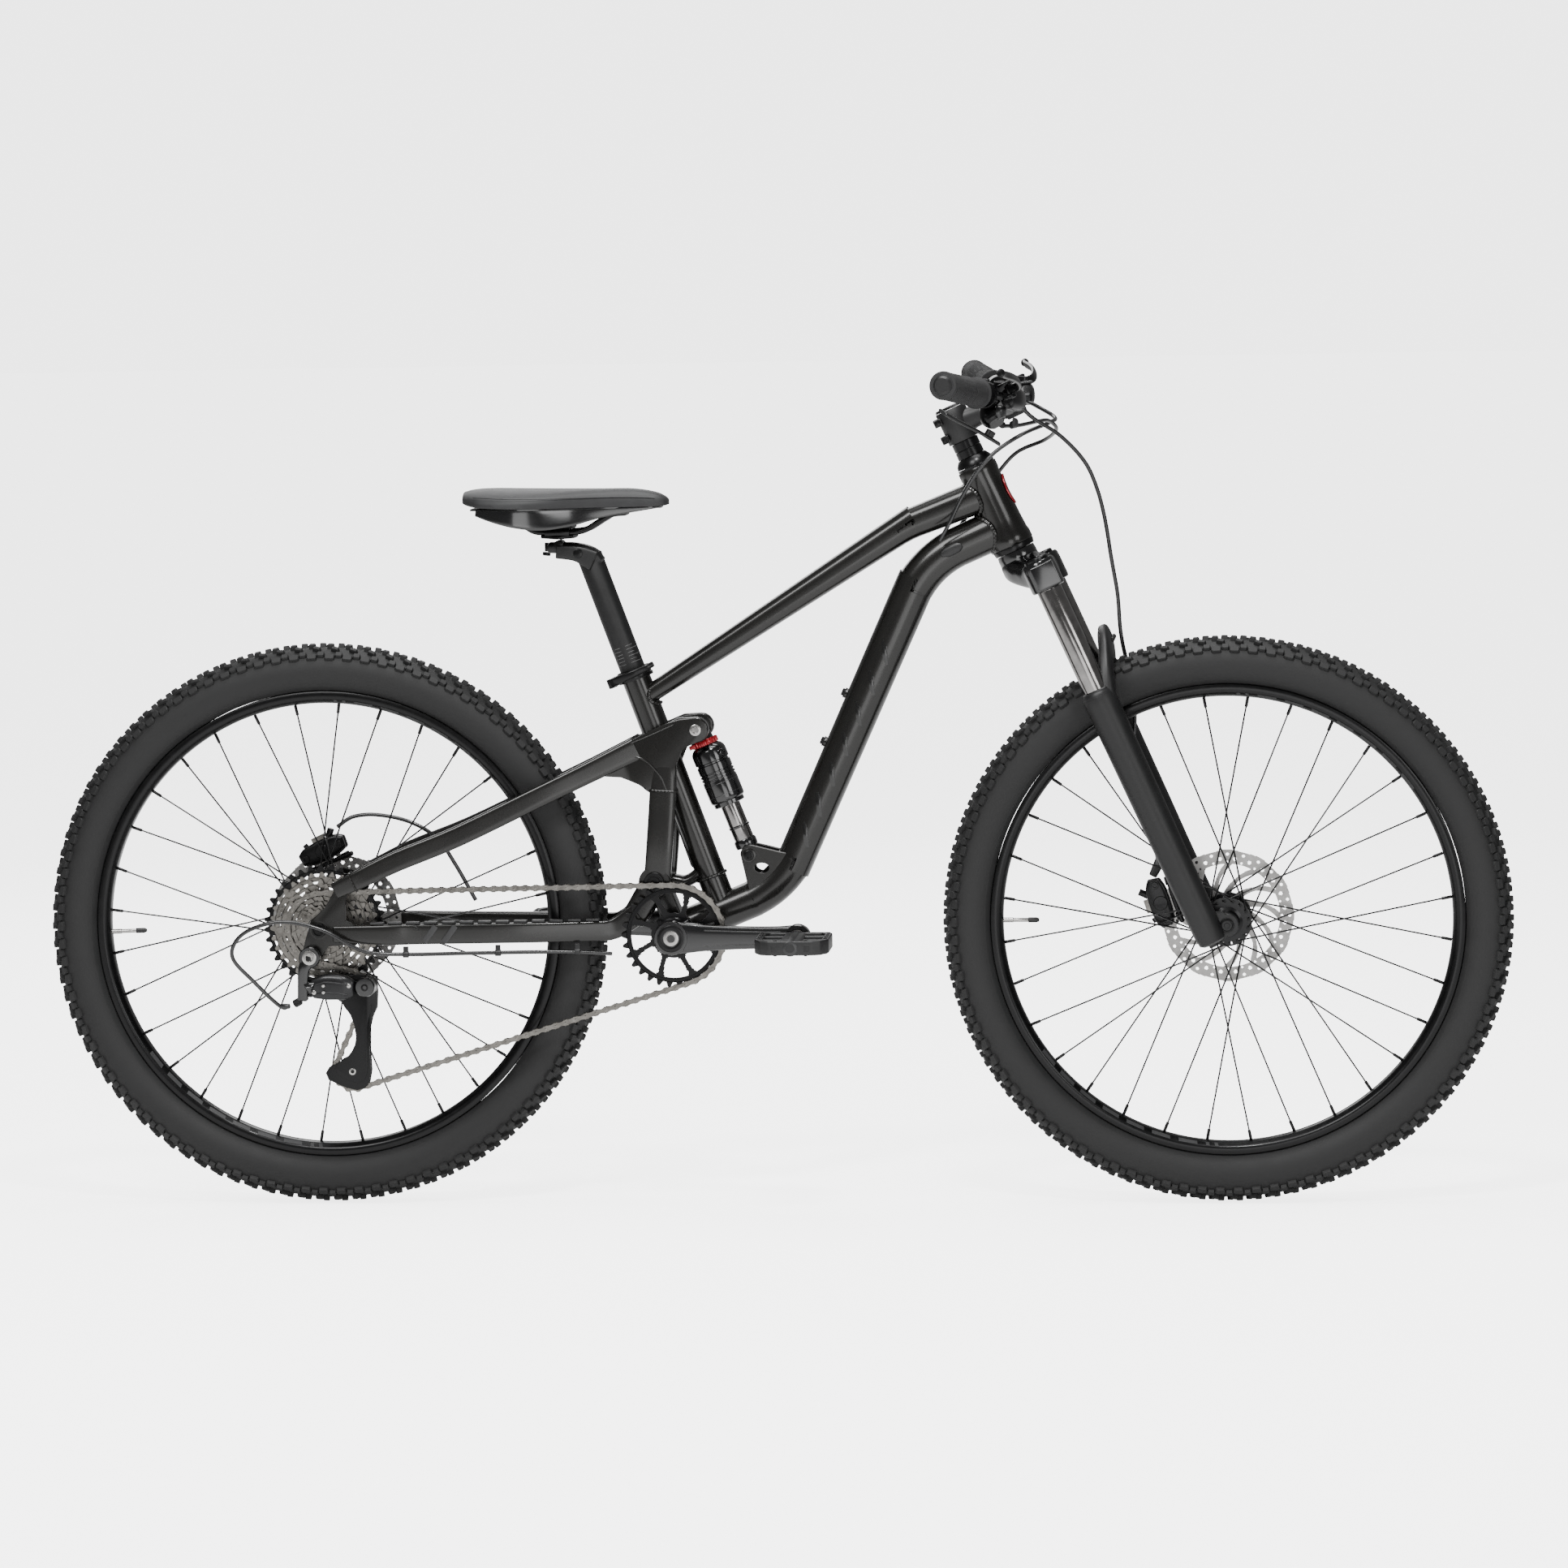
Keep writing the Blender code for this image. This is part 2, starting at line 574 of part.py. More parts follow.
def build_saddle():
    grip = from_saddle(-0.034, 0.0245)
    clamp_low = block("clamp_low", grip - Vector((0, 0, RAIL_RADIUS + GAP + 0.0025)), (0.038, 0.056, 0.005))
    clamp_high = block("clamp_high", grip + Vector((0, 0, RAIL_RADIUS + GAP + 0.0025)), (0.034, 0.056, 0.005))
    post = block("clamp_post", grip, (0.026, 0.030, 0.014))
    node("saddle_clamp", combined("saddle_clamp", clamp_low, add(clamp_high, post)), BLACK_METAL, grip)

    half = [(-0.084, 0.041), (-0.077, 0.036), (-0.064, 0.027), (-0.050, 0.0245), (-0.018, 0.0245),
            (0.000, 0.0275), (0.018, 0.038), (0.032, 0.0455)]
    right = [from_saddle(x, z, -RAIL_HALF_SPACING) for x, z in half]
    nose = [from_saddle(0.046, 0.0468, y) for y in (-0.012, 0.0, 0.012)]
    left = [mirrored(p) for p in reversed(right)]
    wire = smooth_route(right + nose + left, 0.013)
    node("saddle_rails", swept("rails", [(p, RAIL_RADIUS, RAIL_RADIUS) for p in wire], 8, 2.0,
                               Vector((0.02, 0.05, 1))), STEEL, grip)

    split = 0.0545
    pad_rows = [(-0.1475, 0.024, 0.0745, 0.067), (-0.137, 0.052, 0.0775, 0.058),
                (-0.112, 0.068, 0.0775, split),
                (-0.080, 0.071, 0.0770, split), (-0.045, 0.064, 0.0765, split), (-0.010, 0.046, 0.0765,
                                                                                 split),
                (0.025, 0.030, 0.0765, split), (0.060, 0.0235, 0.0755, split), (0.085, 0.0195, 0.0690, split),
                (0.0985, 0.010, 0.0620, split + 0.0005)]
    rings = [section(from_saddle(x, (top + low) / 2), (1, 0, 0), (top - low) / 2, half_width, 14, 3.0)
             for x, half_width, top, low in pad_rows]
    node("saddle_pad", rings_to_mesh("pad", rings), COVER, grip)

    base_top = split - GAP
    base_rows = [(-0.120, 0.050), (-0.105, 0.064), (-0.080, 0.068), (-0.045, 0.061), (-0.010, 0.043),
                 (0.025, 0.027), (0.060, 0.021), (0.085, 0.017)]
    rings = [section(from_saddle(x, base_top - 0.0015), (1, 0, 0), 0.0015, half_width, 12, 6.0)
             for x, half_width in base_rows]
    node("saddle_base", rings_to_mesh("base", rings), PLASTIC, grip)


# ---------------------------------------------------------------- steering and fork
CROWN_HIGH = -0.080
CROWN_LOW = -0.1135
STEM_LOW = 0.0867
STEM_HIGH = 0.1275
STEM_MIDDLE = (STEM_LOW + STEM_HIGH) / 2
BAR_CENTRE = steer(STEM_MIDDLE, STEM_LENGTH)


def leg(along, ahead=0.0, side=0.0):
    """A point on a fork leg: `along` from the head tube middle, `side` is +1 or -1."""
    return steer(along, CROWN_OFFSET + ahead, side * STANCHION_HALF_SPACING)


def build_fork_upper():
    """Steerer, crown and the two pressed-in stanchions, one rigid piece."""
    steerer = rod("steerer", steer(-0.075), steer(STEM_HIGH - 0.0015), STEERER_RADIUS, sides=ROUND)
    race = turned("race", [(0, -0.0745), (0.022, -0.0745), (0.0235, -HEAD_HALF - 0.0075),
                           (0, -HEAD_HALF - 0.0075)], HEAD_MIDDLE, steer.up)
    bridge_rows = [(-1.0, 0.018, 0.016, CROWN_OFFSET, -0.097), (-0.62, 0.017, 0.018, 0.014, -0.093),
                   (-0.3, 0.016, 0.023, 0.003, -0.082), (0.0, 0.015, 0.025, 0.0, -0.078),
                   (0.3, 0.016, 0.023, 0.003, -0.082), (0.62, 0.017, 0.018, 0.014, -0.093),
                   (1.0, 0.018, 0.016, CROWN_OFFSET, -0.097)]
    rings = [section(steer(along, ahead, y * STANCHION_HALF_SPACING), SIDEWAYS, tall, deep, 12, 3.0,
                     steer.forward)
             for y, tall, deep, ahead, along in bridge_rows]
    bridge = rings_to_mesh("bridge", rings)
    steps = add(race, bridge)
    for side in (-1, 1):
        steps += add(rod("clamp", leg(CROWN_LOW, 0, side), leg(CROWN_HIGH, 0, side), 0.0205, 0.0190,
                         sides=ROUND))
        steps += add(rod("stanchion", leg(-SEAL_DROP - STANCHION_IN_LEG, 0, side),
                         leg(CROWN_HIGH - 0.0085, 0, side),
                         STANCHION_RADIUS, sides=ROUND))
    node("fork_upper", combined("fork_upper", steerer, steps), BLACK_METAL, HEAD_MIDDLE)


LEG_OUTER = 0.0200
LEG_BORE = STANCHION_RADIUS + RUN
STANCHION_IN_LEG = 0.085


def build_fork_lowers():
    """Both lower legs, the arch that joins them and the axle ears."""
    seal = -SEAL_DROP
    axle_along = (FRONT_AXLE - HEAD_MIDDLE).dot(steer.up)
    axle_ahead = (FRONT_AXLE - HEAD_MIDDLE).dot(steer.forward) - CROWN_OFFSET
    foot = axle_along - 0.013
    arch_rows = [(1.02, seal - 0.022, 0.002, 0.017, 0.010), (0.96, seal + 0.002, 0.012, 0.013, 0.009),
                 (0.78, seal + 0.030, 0.023, 0.012, 0.008), (0.45, seal + 0.052, 0.032, 0.012, 0.0075),
                 (0.0, seal + 0.060, 0.035, 0.0125, 0.0075)]
    arch_points = [(y, a, n, t, d) for y, a, n, t, d in arch_rows]
    arch_points += [(-y, a, n, t, d) for y, a, n, t, d in reversed(arch_rows[:-1])]
    stations = [(leg(a, n, y), t, d) for y, a, n, t, d in arch_points]
    arch = swept("arch", stations, 10, 3.0, steer.forward)
    solids, bores = [], []
    for side in (-1, 1):
        profile = [(0, foot), (0.0165, foot), (0.0185, foot + 0.03), (0.0185, foot + 0.12),
                   (LEG_OUTER, seal - 0.09), (LEG_OUTER + 0.0005, seal - 0.002), (0.0192, seal), (0, seal)]
        base = steer(0, CROWN_OFFSET, side * STANCHION_HALF_SPACING)
        solids.append(turned("leg", profile, base, steer.up, ROUND))
        ear_y = sorted((side * 0.0508, side * 0.0640))
        centre = leg(axle_along, axle_ahead, 0)
        rise = leg(foot + 0.028, 0, 0)
        behind = leg(foot + 0.004, -0.006, 0)
        outline = [(centre.x + 0.014 * math.cos(a), centre.z + 0.014 * math.sin(a))
                   for a in (math.radians(d) for d in range(-75, 106, 30))]
        outline += [(rise.x, rise.z), (behind.x, behind.z)]
        solids.append(plate("ear", outline, *ear_y))
        bores.append(rod("leg_bore", leg(seal - FORK_TRAVEL - STANCHION_IN_LEG - 0.006, 0, side),
                         leg(seal + 0.08, 0, side), LEG_BORE, sides=ROUND))
        bores.append(rod("nut_room", FRONT_AXLE + SIDEWAYS * side * 0.0640,
                         FRONT_AXLE + SIDEWAYS * side * 0.0900,
                         0.0085 + RUN, sides=12))
    bores.append(rod("axle_bore", FRONT_AXLE - SIDEWAYS * 0.08, FRONT_AXLE + SIDEWAYS * 0.08,
                     0.0060 + GAP, sides=12))
    node("fork_lowers", combined("fork_lowers", arch, add(*solids) + cut(*bores)), MATT_BLACK, HEAD_MIDDLE)


def axle_with_nuts(name, centre, half, nut_radius, material):
    reach = half + 0.005
    profile = [(0, -reach), (nut_radius, -reach), (nut_radius, -half - GAP), (0.0060, -half - GAP),
               (0.0060, half + GAP), (nut_radius, half + GAP), (nut_radius, reach), (0, reach)]
    node(name, turned(name, profile, centre, sides=12), material, centre)


def build_stem():
    inner = STEERER_RADIUS + GAP
    clamp = rod("clamp", steer(STEM_LOW), steer(STEM_HIGH), 0.0190, sides=ROUND)
    arm = swept("arm", [(steer(STEM_MIDDLE, 0.005), 0.0150, 0.0170),
                        (steer(STEM_MIDDLE, 0.030), 0.0135, 0.0155),
                        (steer(STEM_MIDDLE, STEM_LENGTH - 0.006), 0.0150, 0.0200)], 16, 2.6)
    barrel = rod("barrel", BAR_CENTRE - SIDEWAYS * 0.023, BAR_CENTRE + SIDEWAYS * 0.023, 0.0200, sides=ROUND)
    ears = [block("ear", steer(a, -0.0190), (0.012, 0.024, 0.010), -HEAD_LEAN) for a in (0.096, 0.118)]
    steps = add(arm, barrel, *ears)
    steps += cut(rod("steerer_bore", steer(0.07), steer(0.14), inner, sides=ROUND))
    steps += cut(rod("bar_bore", BAR_CENTRE - SIDEWAYS * 0.04, BAR_CENTRE + SIDEWAYS * 0.04,
                     BAR_CLAMP_RADIUS + 2 * GAP, sides=16))
    front_half = block("front", steer(STEM_MIDDLE, STEM_LENGTH + 0.025), (0.050, 0.08, 0.08), -HEAD_LEAN)
    steps += cut(front_half)
    node("stem", combined("stem", clamp, steps), MATT_BLACK, HEAD_MIDDLE)

    rear_half = block("rear", steer(STEM_MIDDLE, STEM_LENGTH - 0.025 + 0.001), (0.050, 0.08, 0.08),
                      -HEAD_LEAN)
    face = tube("face", BAR_CENTRE - SIDEWAYS * 0.023, BAR_CENTRE + SIDEWAYS * 0.023, 0.0200,
                BAR_CLAMP_RADIUS + 2 * GAP, 16)
    node("stem_faceplate", combined("faceplate", face, cut(rear_half)), MATT_BLACK, HEAD_MIDDLE)

    low, high = HEAD_HALF + 0.0035, STEM_LOW - GAP
    spacers = [(inner, low), (0.0222, low), (0.0215, low + 0.004), (0.0175, 0.0657), (0.0165, 0.0660),
               (0.0165, high), (inner, high)]
    node("headset_spacers", turned("spacers", spacers, HEAD_MIDDLE, steer.up), BLACK_METAL, HEAD_MIDDLE)


def bar_stations():
    """Right half of the handlebar, from the stem out to the end: rise and backsweep."""
    return [((0.000, 0.000, 0.0000), BAR_CLAMP_RADIUS), ((0.000, -0.030, 0.0000), BAR_CLAMP_RADIUS),
            ((0.001, -0.055, 0.0010), 0.0145), ((0.0005, -0.080, 0.0035), 0.0125),
            ((-0.003, -0.105, 0.0068), BAR_RADIUS), ((-0.0235, -0.190, 0.0148), BAR_RADIUS),
            ((-0.0565, -BAR_HALF_WIDTH, 0.0278), BAR_RADIUS)]


def bar_point(y):
    """Centre of the bar at a distance |y| from the mid-plane."""
    rows = bar_stations()
    reach = abs(y)
    for (a, _), (b, _) in zip(rows, rows[1:]):
        if reach <= -b[1]:
            t = (reach + a[1]) / (a[1] - b[1])
            offset = Vector(a).lerp(Vector(b), t)
            break
    else:
        offset = Vector(b) + (Vector(b) - Vector(a)).normalized() * (reach + b[1])
    return BAR_CENTRE + Vector((offset.x, math.copysign(reach, y), offset.z))


def bar_direction(y):
    return (bar_point(y + math.copysign(0.004, y)) - bar_point(y - math.copysign(0.004, y))).normalized()


def build_handlebar():
    half = bar_stations()
    right = [(BAR_CENTRE + Vector(offset), r, r) for offset, r in half]
    left = [(mirrored(point), r, r) for point, r, _ in reversed(right[1:])]
    node("handlebar", swept("handlebar", left + right, 14, 2.0, Vector((0, 0, 1))), MATT_BLACK, HEAD_MIDDLE)
    for name, side in (("grip_right", -1), ("grip_left", 1)):
        start, end = side * (BAR_HALF_WIDTH - GRIP_LENGTH), side * (BAR_HALF_WIDTH + 0.004)
        flange = bar_point(start)
        along = bar_direction(side * 0.26)
        sleeve = turned("sleeve", [(0, 0), (0.0185, 0), (0.0185, 0.004), (GRIP_RADIUS, 0.005),
                                   (GRIP_RADIUS, GRIP_LENGTH + 0.003), (0,
                                                                        GRIP_LENGTH + 0.0045)], flange, along)
        bore = rod("bore", flange - along * 0.01, bar_point(side * BAR_HALF_WIDTH) + along * 0.0006,
                   BAR_RADIUS + 0.0004)
        node(name, combined(name, sleeve, cut(bore)), RUBBER, HEAD_MIDDLE)


BRAKE_CLAMP_Y = 0.163
LEVER_AHEAD = Vector((0.926, 0, 0.376)).normalized()   # from the bar towards the lever blade
LEVER_TURN = Vector((-LEVER_AHEAD.z, 0, LEVER_AHEAD.x))    # along the lever's hinge pin


def lever_pin(side):
    return bar_point(side * BRAKE_CLAMP_Y) + Vector((0.0300, side * 0.009, 0.0065))


def build_brake_controls():
    """Master cylinder, its bar clamp, and the hinged lever on each side."""
    for label, side in (("right", -1), ("left", 1)):
        centre = bar_point(side * BRAKE_CLAMP_Y)
        along = bar_direction(side * BRAKE_CLAMP_Y)
        ring = rod("ring", centre - along * 0.007, centre + along * 0.007, 0.0160)
        cylinder = swept("cylinder", [
            (centre + Vector((0.0270, side * -0.002, -0.004)), 0.0120, 0.0085),
            (centre + Vector((0.0330, side * -0.020, -0.006)), 0.0135, 0.0100),
            (centre + Vector((0.0370, side * -0.045, -0.009)), 0.0125, 0.0095),
            (centre + Vector((0.0375, side * -0.064, -0.013)), 0.0070, 0.0065)], 12, 3.0, Vector((1, 0, 0)))
        arm = swept("arm", [(centre + Vector((0.006, 0, 0.0)), 0.0050, 0.0065),
                            (centre + Vector((0.024, 0, -0.003)), 0.0050, 0.0065)], 8, 3.0)
        pin = lever_pin(side)
        seat_of_pin = pin - LEVER_AHEAD * 0.004
        forks = [rod("fork", seat_of_pin + LEVER_TURN * (h - 0.0018), seat_of_pin + LEVER_TURN * (h + 0.0018),
                     0.0085, sides=12) for h in (-0.0082, 0.0082)]
        forks.append(swept("bracket", [(centre + Vector((0.0205, side * -0.004, -0.006)), 0.0125, 0.0035),
                                       (centre + Vector((0.0225, side * -0.002, 0.014)), 0.0125, 0.0035)],
                           8, 4.0))
        bore = rod("bore", centre - along * 0.02, centre + along * 0.02, BAR_RADIUS + GAP)
        body = combined("brake_master", ring, add(arm, cylinder, *forks) + cut(bore))
        node("brake_master_" + label, body, BLACK_METAL, HEAD_MIDDLE)

        hub = rod("hub", pin - LEVER_TURN * 0.0055, pin + LEVER_TURN * 0.0055, 0.0055, sides=12)
        route = [(0.000, 0.004, 0.0000), (0.010, 0.022, 0.0045), (0.0105, 0.050, 0.0115),
                 (0.0050, 0.082, 0.0165),
                 (-0.0020, 0.108, 0.0195), (-0.0040, 0.124, 0.0215)]
        blade = swept("blade", [(pin + Vector((x, side * y, z)), 0.0030, 0.0052) for x, y, z in route],
                      8, 3.0, LEVER_TURN)
        node("brake_lever_" + label, combined("lever", hub, add(blade)), BLACK_METAL, pin)


THUMB_PIN = (0.2720, -0.1480, 0.9285)
RELEASE_PIN = (0.2850, -0.1560, 0.9420)


def build_shifter():
    """Shifter pod under the bar, its thumb paddle and the small release trigger."""
    around = BAR_CENTRE - Vector((0.28636, 0, 0.96522))
    clamp_y = -0.137
    centre = bar_point(clamp_y)
    along = bar_direction(clamp_y)
    ring = rod("ring", centre - along * 0.0045, centre + along * 0.0045, 0.0135)
    bore = rod("bore", centre - along * 0.02, centre + along * 0.02, BAR_RADIUS + GAP)
    pod = swept("pod", [(around + Vector((0.2700, -0.137, 0.9655)), 0.0060, 0.0060),
                        (around + Vector((0.2735, -0.141, 0.9570)), 0.0130, 0.0140),
                        (around + Vector((0.2785, -0.145, 0.9500)), 0.0150, 0.0160),
                        (around + Vector((0.2810, -0.147, 0.9455)), 0.0110, 0.0140)], 12, 3.0)
    node("shifter_body", combined("shifter_body", ring, add(pod) + cut(bore)), BLACK_METAL, HEAD_MIDDLE)

    pin = around + Vector(THUMB_PIN)
    tilt = Vector((0.52, 0, 0.855)).normalized()
    hub = rod("hub", pin - tilt * 0.0030, pin + tilt * 0.0080, 0.0060, sides=12)
    paddle = swept("paddle", [(pin + Vector((0.012, 0.002, -0.0085)), 0.0022, 0.0085),
                              (pin + Vector((-0.010, -0.006, 0.0055)), 0.0022, 0.0080),
                              (pin + Vector((-0.032, -0.020, 0.0182)), 0.0022, 0.0100),
                              (pin + Vector((-0.051, -0.034, 0.0302)), 0.0024, 0.0110)], 8, 3.0)
    node("shifter_thumb_lever", combined("thumb", hub, add(paddle)), PLASTIC, pin)

    pin = around + Vector(RELEASE_PIN) + Vector((0.0150, -0.0060, 0))
    trigger = swept("trigger", [(pin, 0.0045, 0.0030), (pin + Vector((0.006, -0.010, 0.002)), 0.0050, 0.0026),
                                (pin + Vector((0.004, -0.026, 0.004)), 0.0060, 0.0022)], 8, 3.0,
                    Vector((1, 0, 0)))
    node("shifter_release_lever", trigger, PLASTIC, pin)


# ---------------------------------------------------------------- wheels
def build_wheel(prefix, centre, phase, hub_profile, flanges, axle_radius, rotor_y):
    """Tyre, rim, laced hub and brake rotor about one axle."""
    half = TYRE_HALF_WIDTH
    crown = TYRE_RADIUS
    edge = RIM_EDGE_RADIUS + GAP * 3
    tyre = [(edge, -0.0130), (edge + 0.018, -half + 0.0020), (crown - 0.0115, -half), (crown, -0.0140),
            (crown, 0.0140), (crown - 0.0115, half), (edge + 0.018, half - 0.0020), (edge, 0.0130)]
    quarter = math.pi / 2
    node(prefix + "_tyre", turned("tyre", tyre, centre, sides=FINE, start=quarter), RUBBER, centre)
    side = RIM_HALF_WIDTH
    rim = [(RIM_BED_RADIUS, -0.0075), (RIM_BED_RADIUS + 0.0055, -side), (RIM_EDGE_RADIUS, -side),
           (RIM_EDGE_RADIUS, side), (RIM_BED_RADIUS + 0.0055, side), (RIM_BED_RADIUS, 0.0075)]
    node(prefix + "_rim", turned("rim", rim, centre, sides=FINE, start=quarter), BLACK_METAL, centre)

    hub = turned("hub", hub_profile, centre, sides=12)
    lace = 3 * 2 * math.pi / (SPOKES / 2)
    spokes = []
    for k in range(SPOKES):
        side_index = k % 2
        lean = 1 if (k // 2) % 2 else -1
        flange_y, flange_radius = flanges[side_index]
        rim_angle = 2 * math.pi * (k + 0.5) / SPOKES + phase
        hub_angle = rim_angle + lean * lace
        outer_y = 0.0035 * (1 if side_index else -1)
        start = centre + Vector((flange_radius * math.cos(hub_angle), flange_y + lean * 0.0016,
                                 flange_radius * math.sin(hub_angle)))
        reach = RIM_BED_RADIUS * math.cos(math.pi / FINE) - 2 * GAP
        end = centre + Vector((reach * math.cos(rim_angle), outer_y, reach * math.sin(rim_angle)))
        spokes.append(swept("spoke", [(start, SPOKE_RADIUS, SPOKE_RADIUS),
                                      (end, SPOKE_RADIUS, SPOKE_RADIUS)], 3))
    bundle = bmesh.new()
    for mesh in spokes:
        bundle.from_mesh(mesh)
    spoke_mesh = bpy.data.meshes.new("spokes")
    bundle.to_mesh(spoke_mesh)
    bundle.free()
    node(prefix + "_hub_spokes", combined("hub", hub, add(spoke_mesh)), BLACK_METAL, centre)

    thick = 0.0009
    rotor = [(0.0225, rotor_y - thick), (ROTOR_RADIUS, rotor_y - thick), (ROTOR_RADIUS, rotor_y + thick),
             (0.0225, rotor_y + thick)]
    node(prefix + "_rotor", turned("rotor", rotor, centre, sides=24), STEEL, centre)


HUB_BORE = 0.0070
FRONT_ROTOR_Y = 0.037
REAR_ROTOR_Y = 0.052


def build_wheels():
    front_hub = [(HUB_BORE, -0.0480), (0.0125, -0.0480), (0.0135, -0.0320), (0.0290, -0.0315),
                 (0.0290, -0.0285),
                 (0.0160, -0.0260), (0.0160, 0.0180), (0.0290, 0.0205), (0.0290, 0.0235), (0.0205, 0.0250),
                 (0.0205, 0.0400), (0.0125, 0.0480), (HUB_BORE, 0.0480)]
    build_wheel("front", FRONT_AXLE, 0.0, front_hub, ((-0.030, 0.0255), (0.022, 0.0255)), 0.006,
                FRONT_ROTOR_Y)
    rear_hub = [(HUB_BORE, -0.0655), (0.0155, -0.0655), (0.0155, -0.0240), (0.0290, -0.0225),
                (0.0290, -0.0195),
                (0.0170, -0.0170), (0.0170, 0.0300), (0.0290, 0.0325), (0.0290, 0.0355), (0.0205, 0.0370),
                (0.0205, 0.0550), (0.0125, 0.0655), (HUB_BORE, 0.0655)]
    build_wheel("rear", REAR_AXLE, math.radians(2.0), rear_hub, ((-0.021, 0.0255), (0.034, 0.0255)), 0.006,
                REAR_ROTOR_Y)
    axle_with_nuts("front_axle", FRONT_AXLE, 0.0640, 0.0085, BLACK_METAL)
    axle_with_nuts("rear_axle", REAR_AXLE, 0.0755, 0.0085, BLACK_METAL)


def caliper(name, centre, tilt, y_range, rotor_centre, rotor_y, origin):
    """A brake caliper: a rounded block with a slot for the rotor."""
    low, high = y_range
    middle = (low + high) / 2
    width = high - low
    body = block("body", Vector((centre.x, middle, centre.z)), (0.058, width, 0.026), tilt)
    slot = rod("slot", Vector((rotor_centre.x, rotor_y - 0.0024, rotor_centre.z)),
               Vector((rotor_centre.x, rotor_y + 0.0024, rotor_centre.z)), ROTOR_RADIUS + 0.0030, sides=40)
    node(name, combined(name, body, cut(slot)), BLACK_METAL, origin)


def build_calipers():
    caliper("front_brake_caliper", from_front_axle(-0.0805, 0.0165), math.radians(72), (0.0255, 0.0485),
            FRONT_AXLE, FRONT_ROTOR_Y, HEAD_MIDDLE)
    caliper("rear_brake_caliper", from_rear_axle(-0.0140, 0.0830), math.radians(-25), (0.0400, 0.0640),
            REAR_AXLE, REAR_ROTOR_Y, MAIN_PIVOT)


# ---------------------------------------------------------------- swingarm and shock
SHOCK_HEAD = shock(SHOCK_LENGTH)
YOKE_INNER = 0.0250
YOKE_OUTER = 0.0390


def swingarm_side(side):
    """One side of the one-piece swingarm: upper stay, chainstay, upright, yoke and dropout."""
    def at(point, y):
        return Vector((point.x, side * y, point.z))
    stay = [(at(from_pivot(-0.024, 0.159), 0.0330), 0.0140, 0.0070),
            (at(from_pivot(-0.080, 0.1322), 0.0400), 0.0128, 0.0070),
            (at(from_pivot(-0.140, 0.104), 0.0480), 0.0125, 0.0070), (at(from_pivot(-0.235, 0.0592), 0.0590),
                                                                      0.0125, 0.0065),
            (at(from_rear_axle(0.095, 0.0825), 0.0675), 0.0125,
             0.0062), (at(from_rear_axle(0.052, 0.0625), 0.0722), 0.0115, 0.0058),
            (at(from_rear_axle(0.020, 0.0475), 0.0722), 0.0100, 0.0050)]
    chainstay = [(at(from_pivot(-0.022, -0.038), 0.0345), 0.0140, 0.0075),
                 (at(from_pivot(-0.050, -0.056), 0.0385), 0.0125, 0.0050),
                 (at(from_pivot(-0.078, -0.058), 0.0430), 0.0122,
                  0.0055), (at(from_pivot(-0.160, -0.058), 0.0560), 0.0122, 0.0065),
                 (at(from_rear_axle(0.125, -0.006), 0.0670), 0.0122,
                  0.0062), (at(from_rear_axle(0.082, -0.006), 0.0728), 0.0122, 0.0058),
                 (at(from_rear_axle(0.018, -0.005), 0.0728), 0.0100, 0.0050)]
    neck = [(at(from_pivot(0.000, 0.000), 0.0345), 0.0160, 0.0060),
            (at(from_pivot(-0.028, -0.046), 0.0350), 0.0150, 0.0060)]
    upright = [(at(from_pivot(0.0035, 0.006), 0.0345), 0.0162, 0.0060),
               (at(from_pivot(0.0070, 0.046), 0.0350), 0.0162, 0.0066),
               (at(from_pivot(0.0130, 0.145), 0.0320), 0.0162, 0.0066)]
    eye = SHOCK_HEAD
    yoke = [(-0.055, 0.154), (-0.012, 0.178), (0.034, 0.1995)]
    outline = [(MAIN_PIVOT.x + x, MAIN_PIVOT.z + z) for x, z in yoke]
    outline += [(eye.x + 0.0155 * math.cos(a), eye.z + 0.0155 * math.sin(a))
                for a in (math.radians(d) for d in (75, 45, 15, -15, -45, -80))]
    outline += [(MAIN_PIVOT.x + x, MAIN_PIVOT.z + z) for x, z in
                ((0.033, 0.164), (0.027, 0.155), (0.0265, 0.128), (0.022, 0.110), (-0.004, 0.108),
                 (-0.015, 0.122),
                 (-0.055, 0.122))]
    low_y, high_y = sorted((side * YOKE_INNER, side * YOKE_OUTER))
    yoke_plate = plate("yoke", outline, low_y, high_y)
    shell = rod("pivot_shell", at(MAIN_PIVOT, LUG_HALF_WIDTH + RUN), at(MAIN_PIVOT, 0.0405), 0.0190,
                sides=ROUND)
    drop = [(0.024, 0.058), (0.037, 0.050), (0.030, 0.010), (0.045, 0.006), (0.045, -0.018), (0.010, -0.018),
            (-0.008, -0.012), (-0.014, 0.000), (-0.010, 0.012), (0.008, 0.026)]
    if side < 0:
        drop = drop[:6] + [(0.004, -0.026), (-0.001, -0.040), (-0.011, -0.045), (-0.020, -0.038),
                           (-0.021, -0.026),
                           (-0.016, -0.008)] + drop[8:]
    low_y, high_y = sorted((side * 0.0680, side * 0.0755))
    dropout = plate("dropout", [(REAR_AXLE.x + x, REAR_AXLE.z + z) for x, z in drop], low_y, high_y)
    bars = [swept("stay", stay, 8, 5.0), swept("chainstay", chainstay, 8, 5.0), swept("neck", neck, 8, 5.0),
            swept("upright", upright, 8, 5.0)]
    return bars + [yoke_plate, shell, dropout]


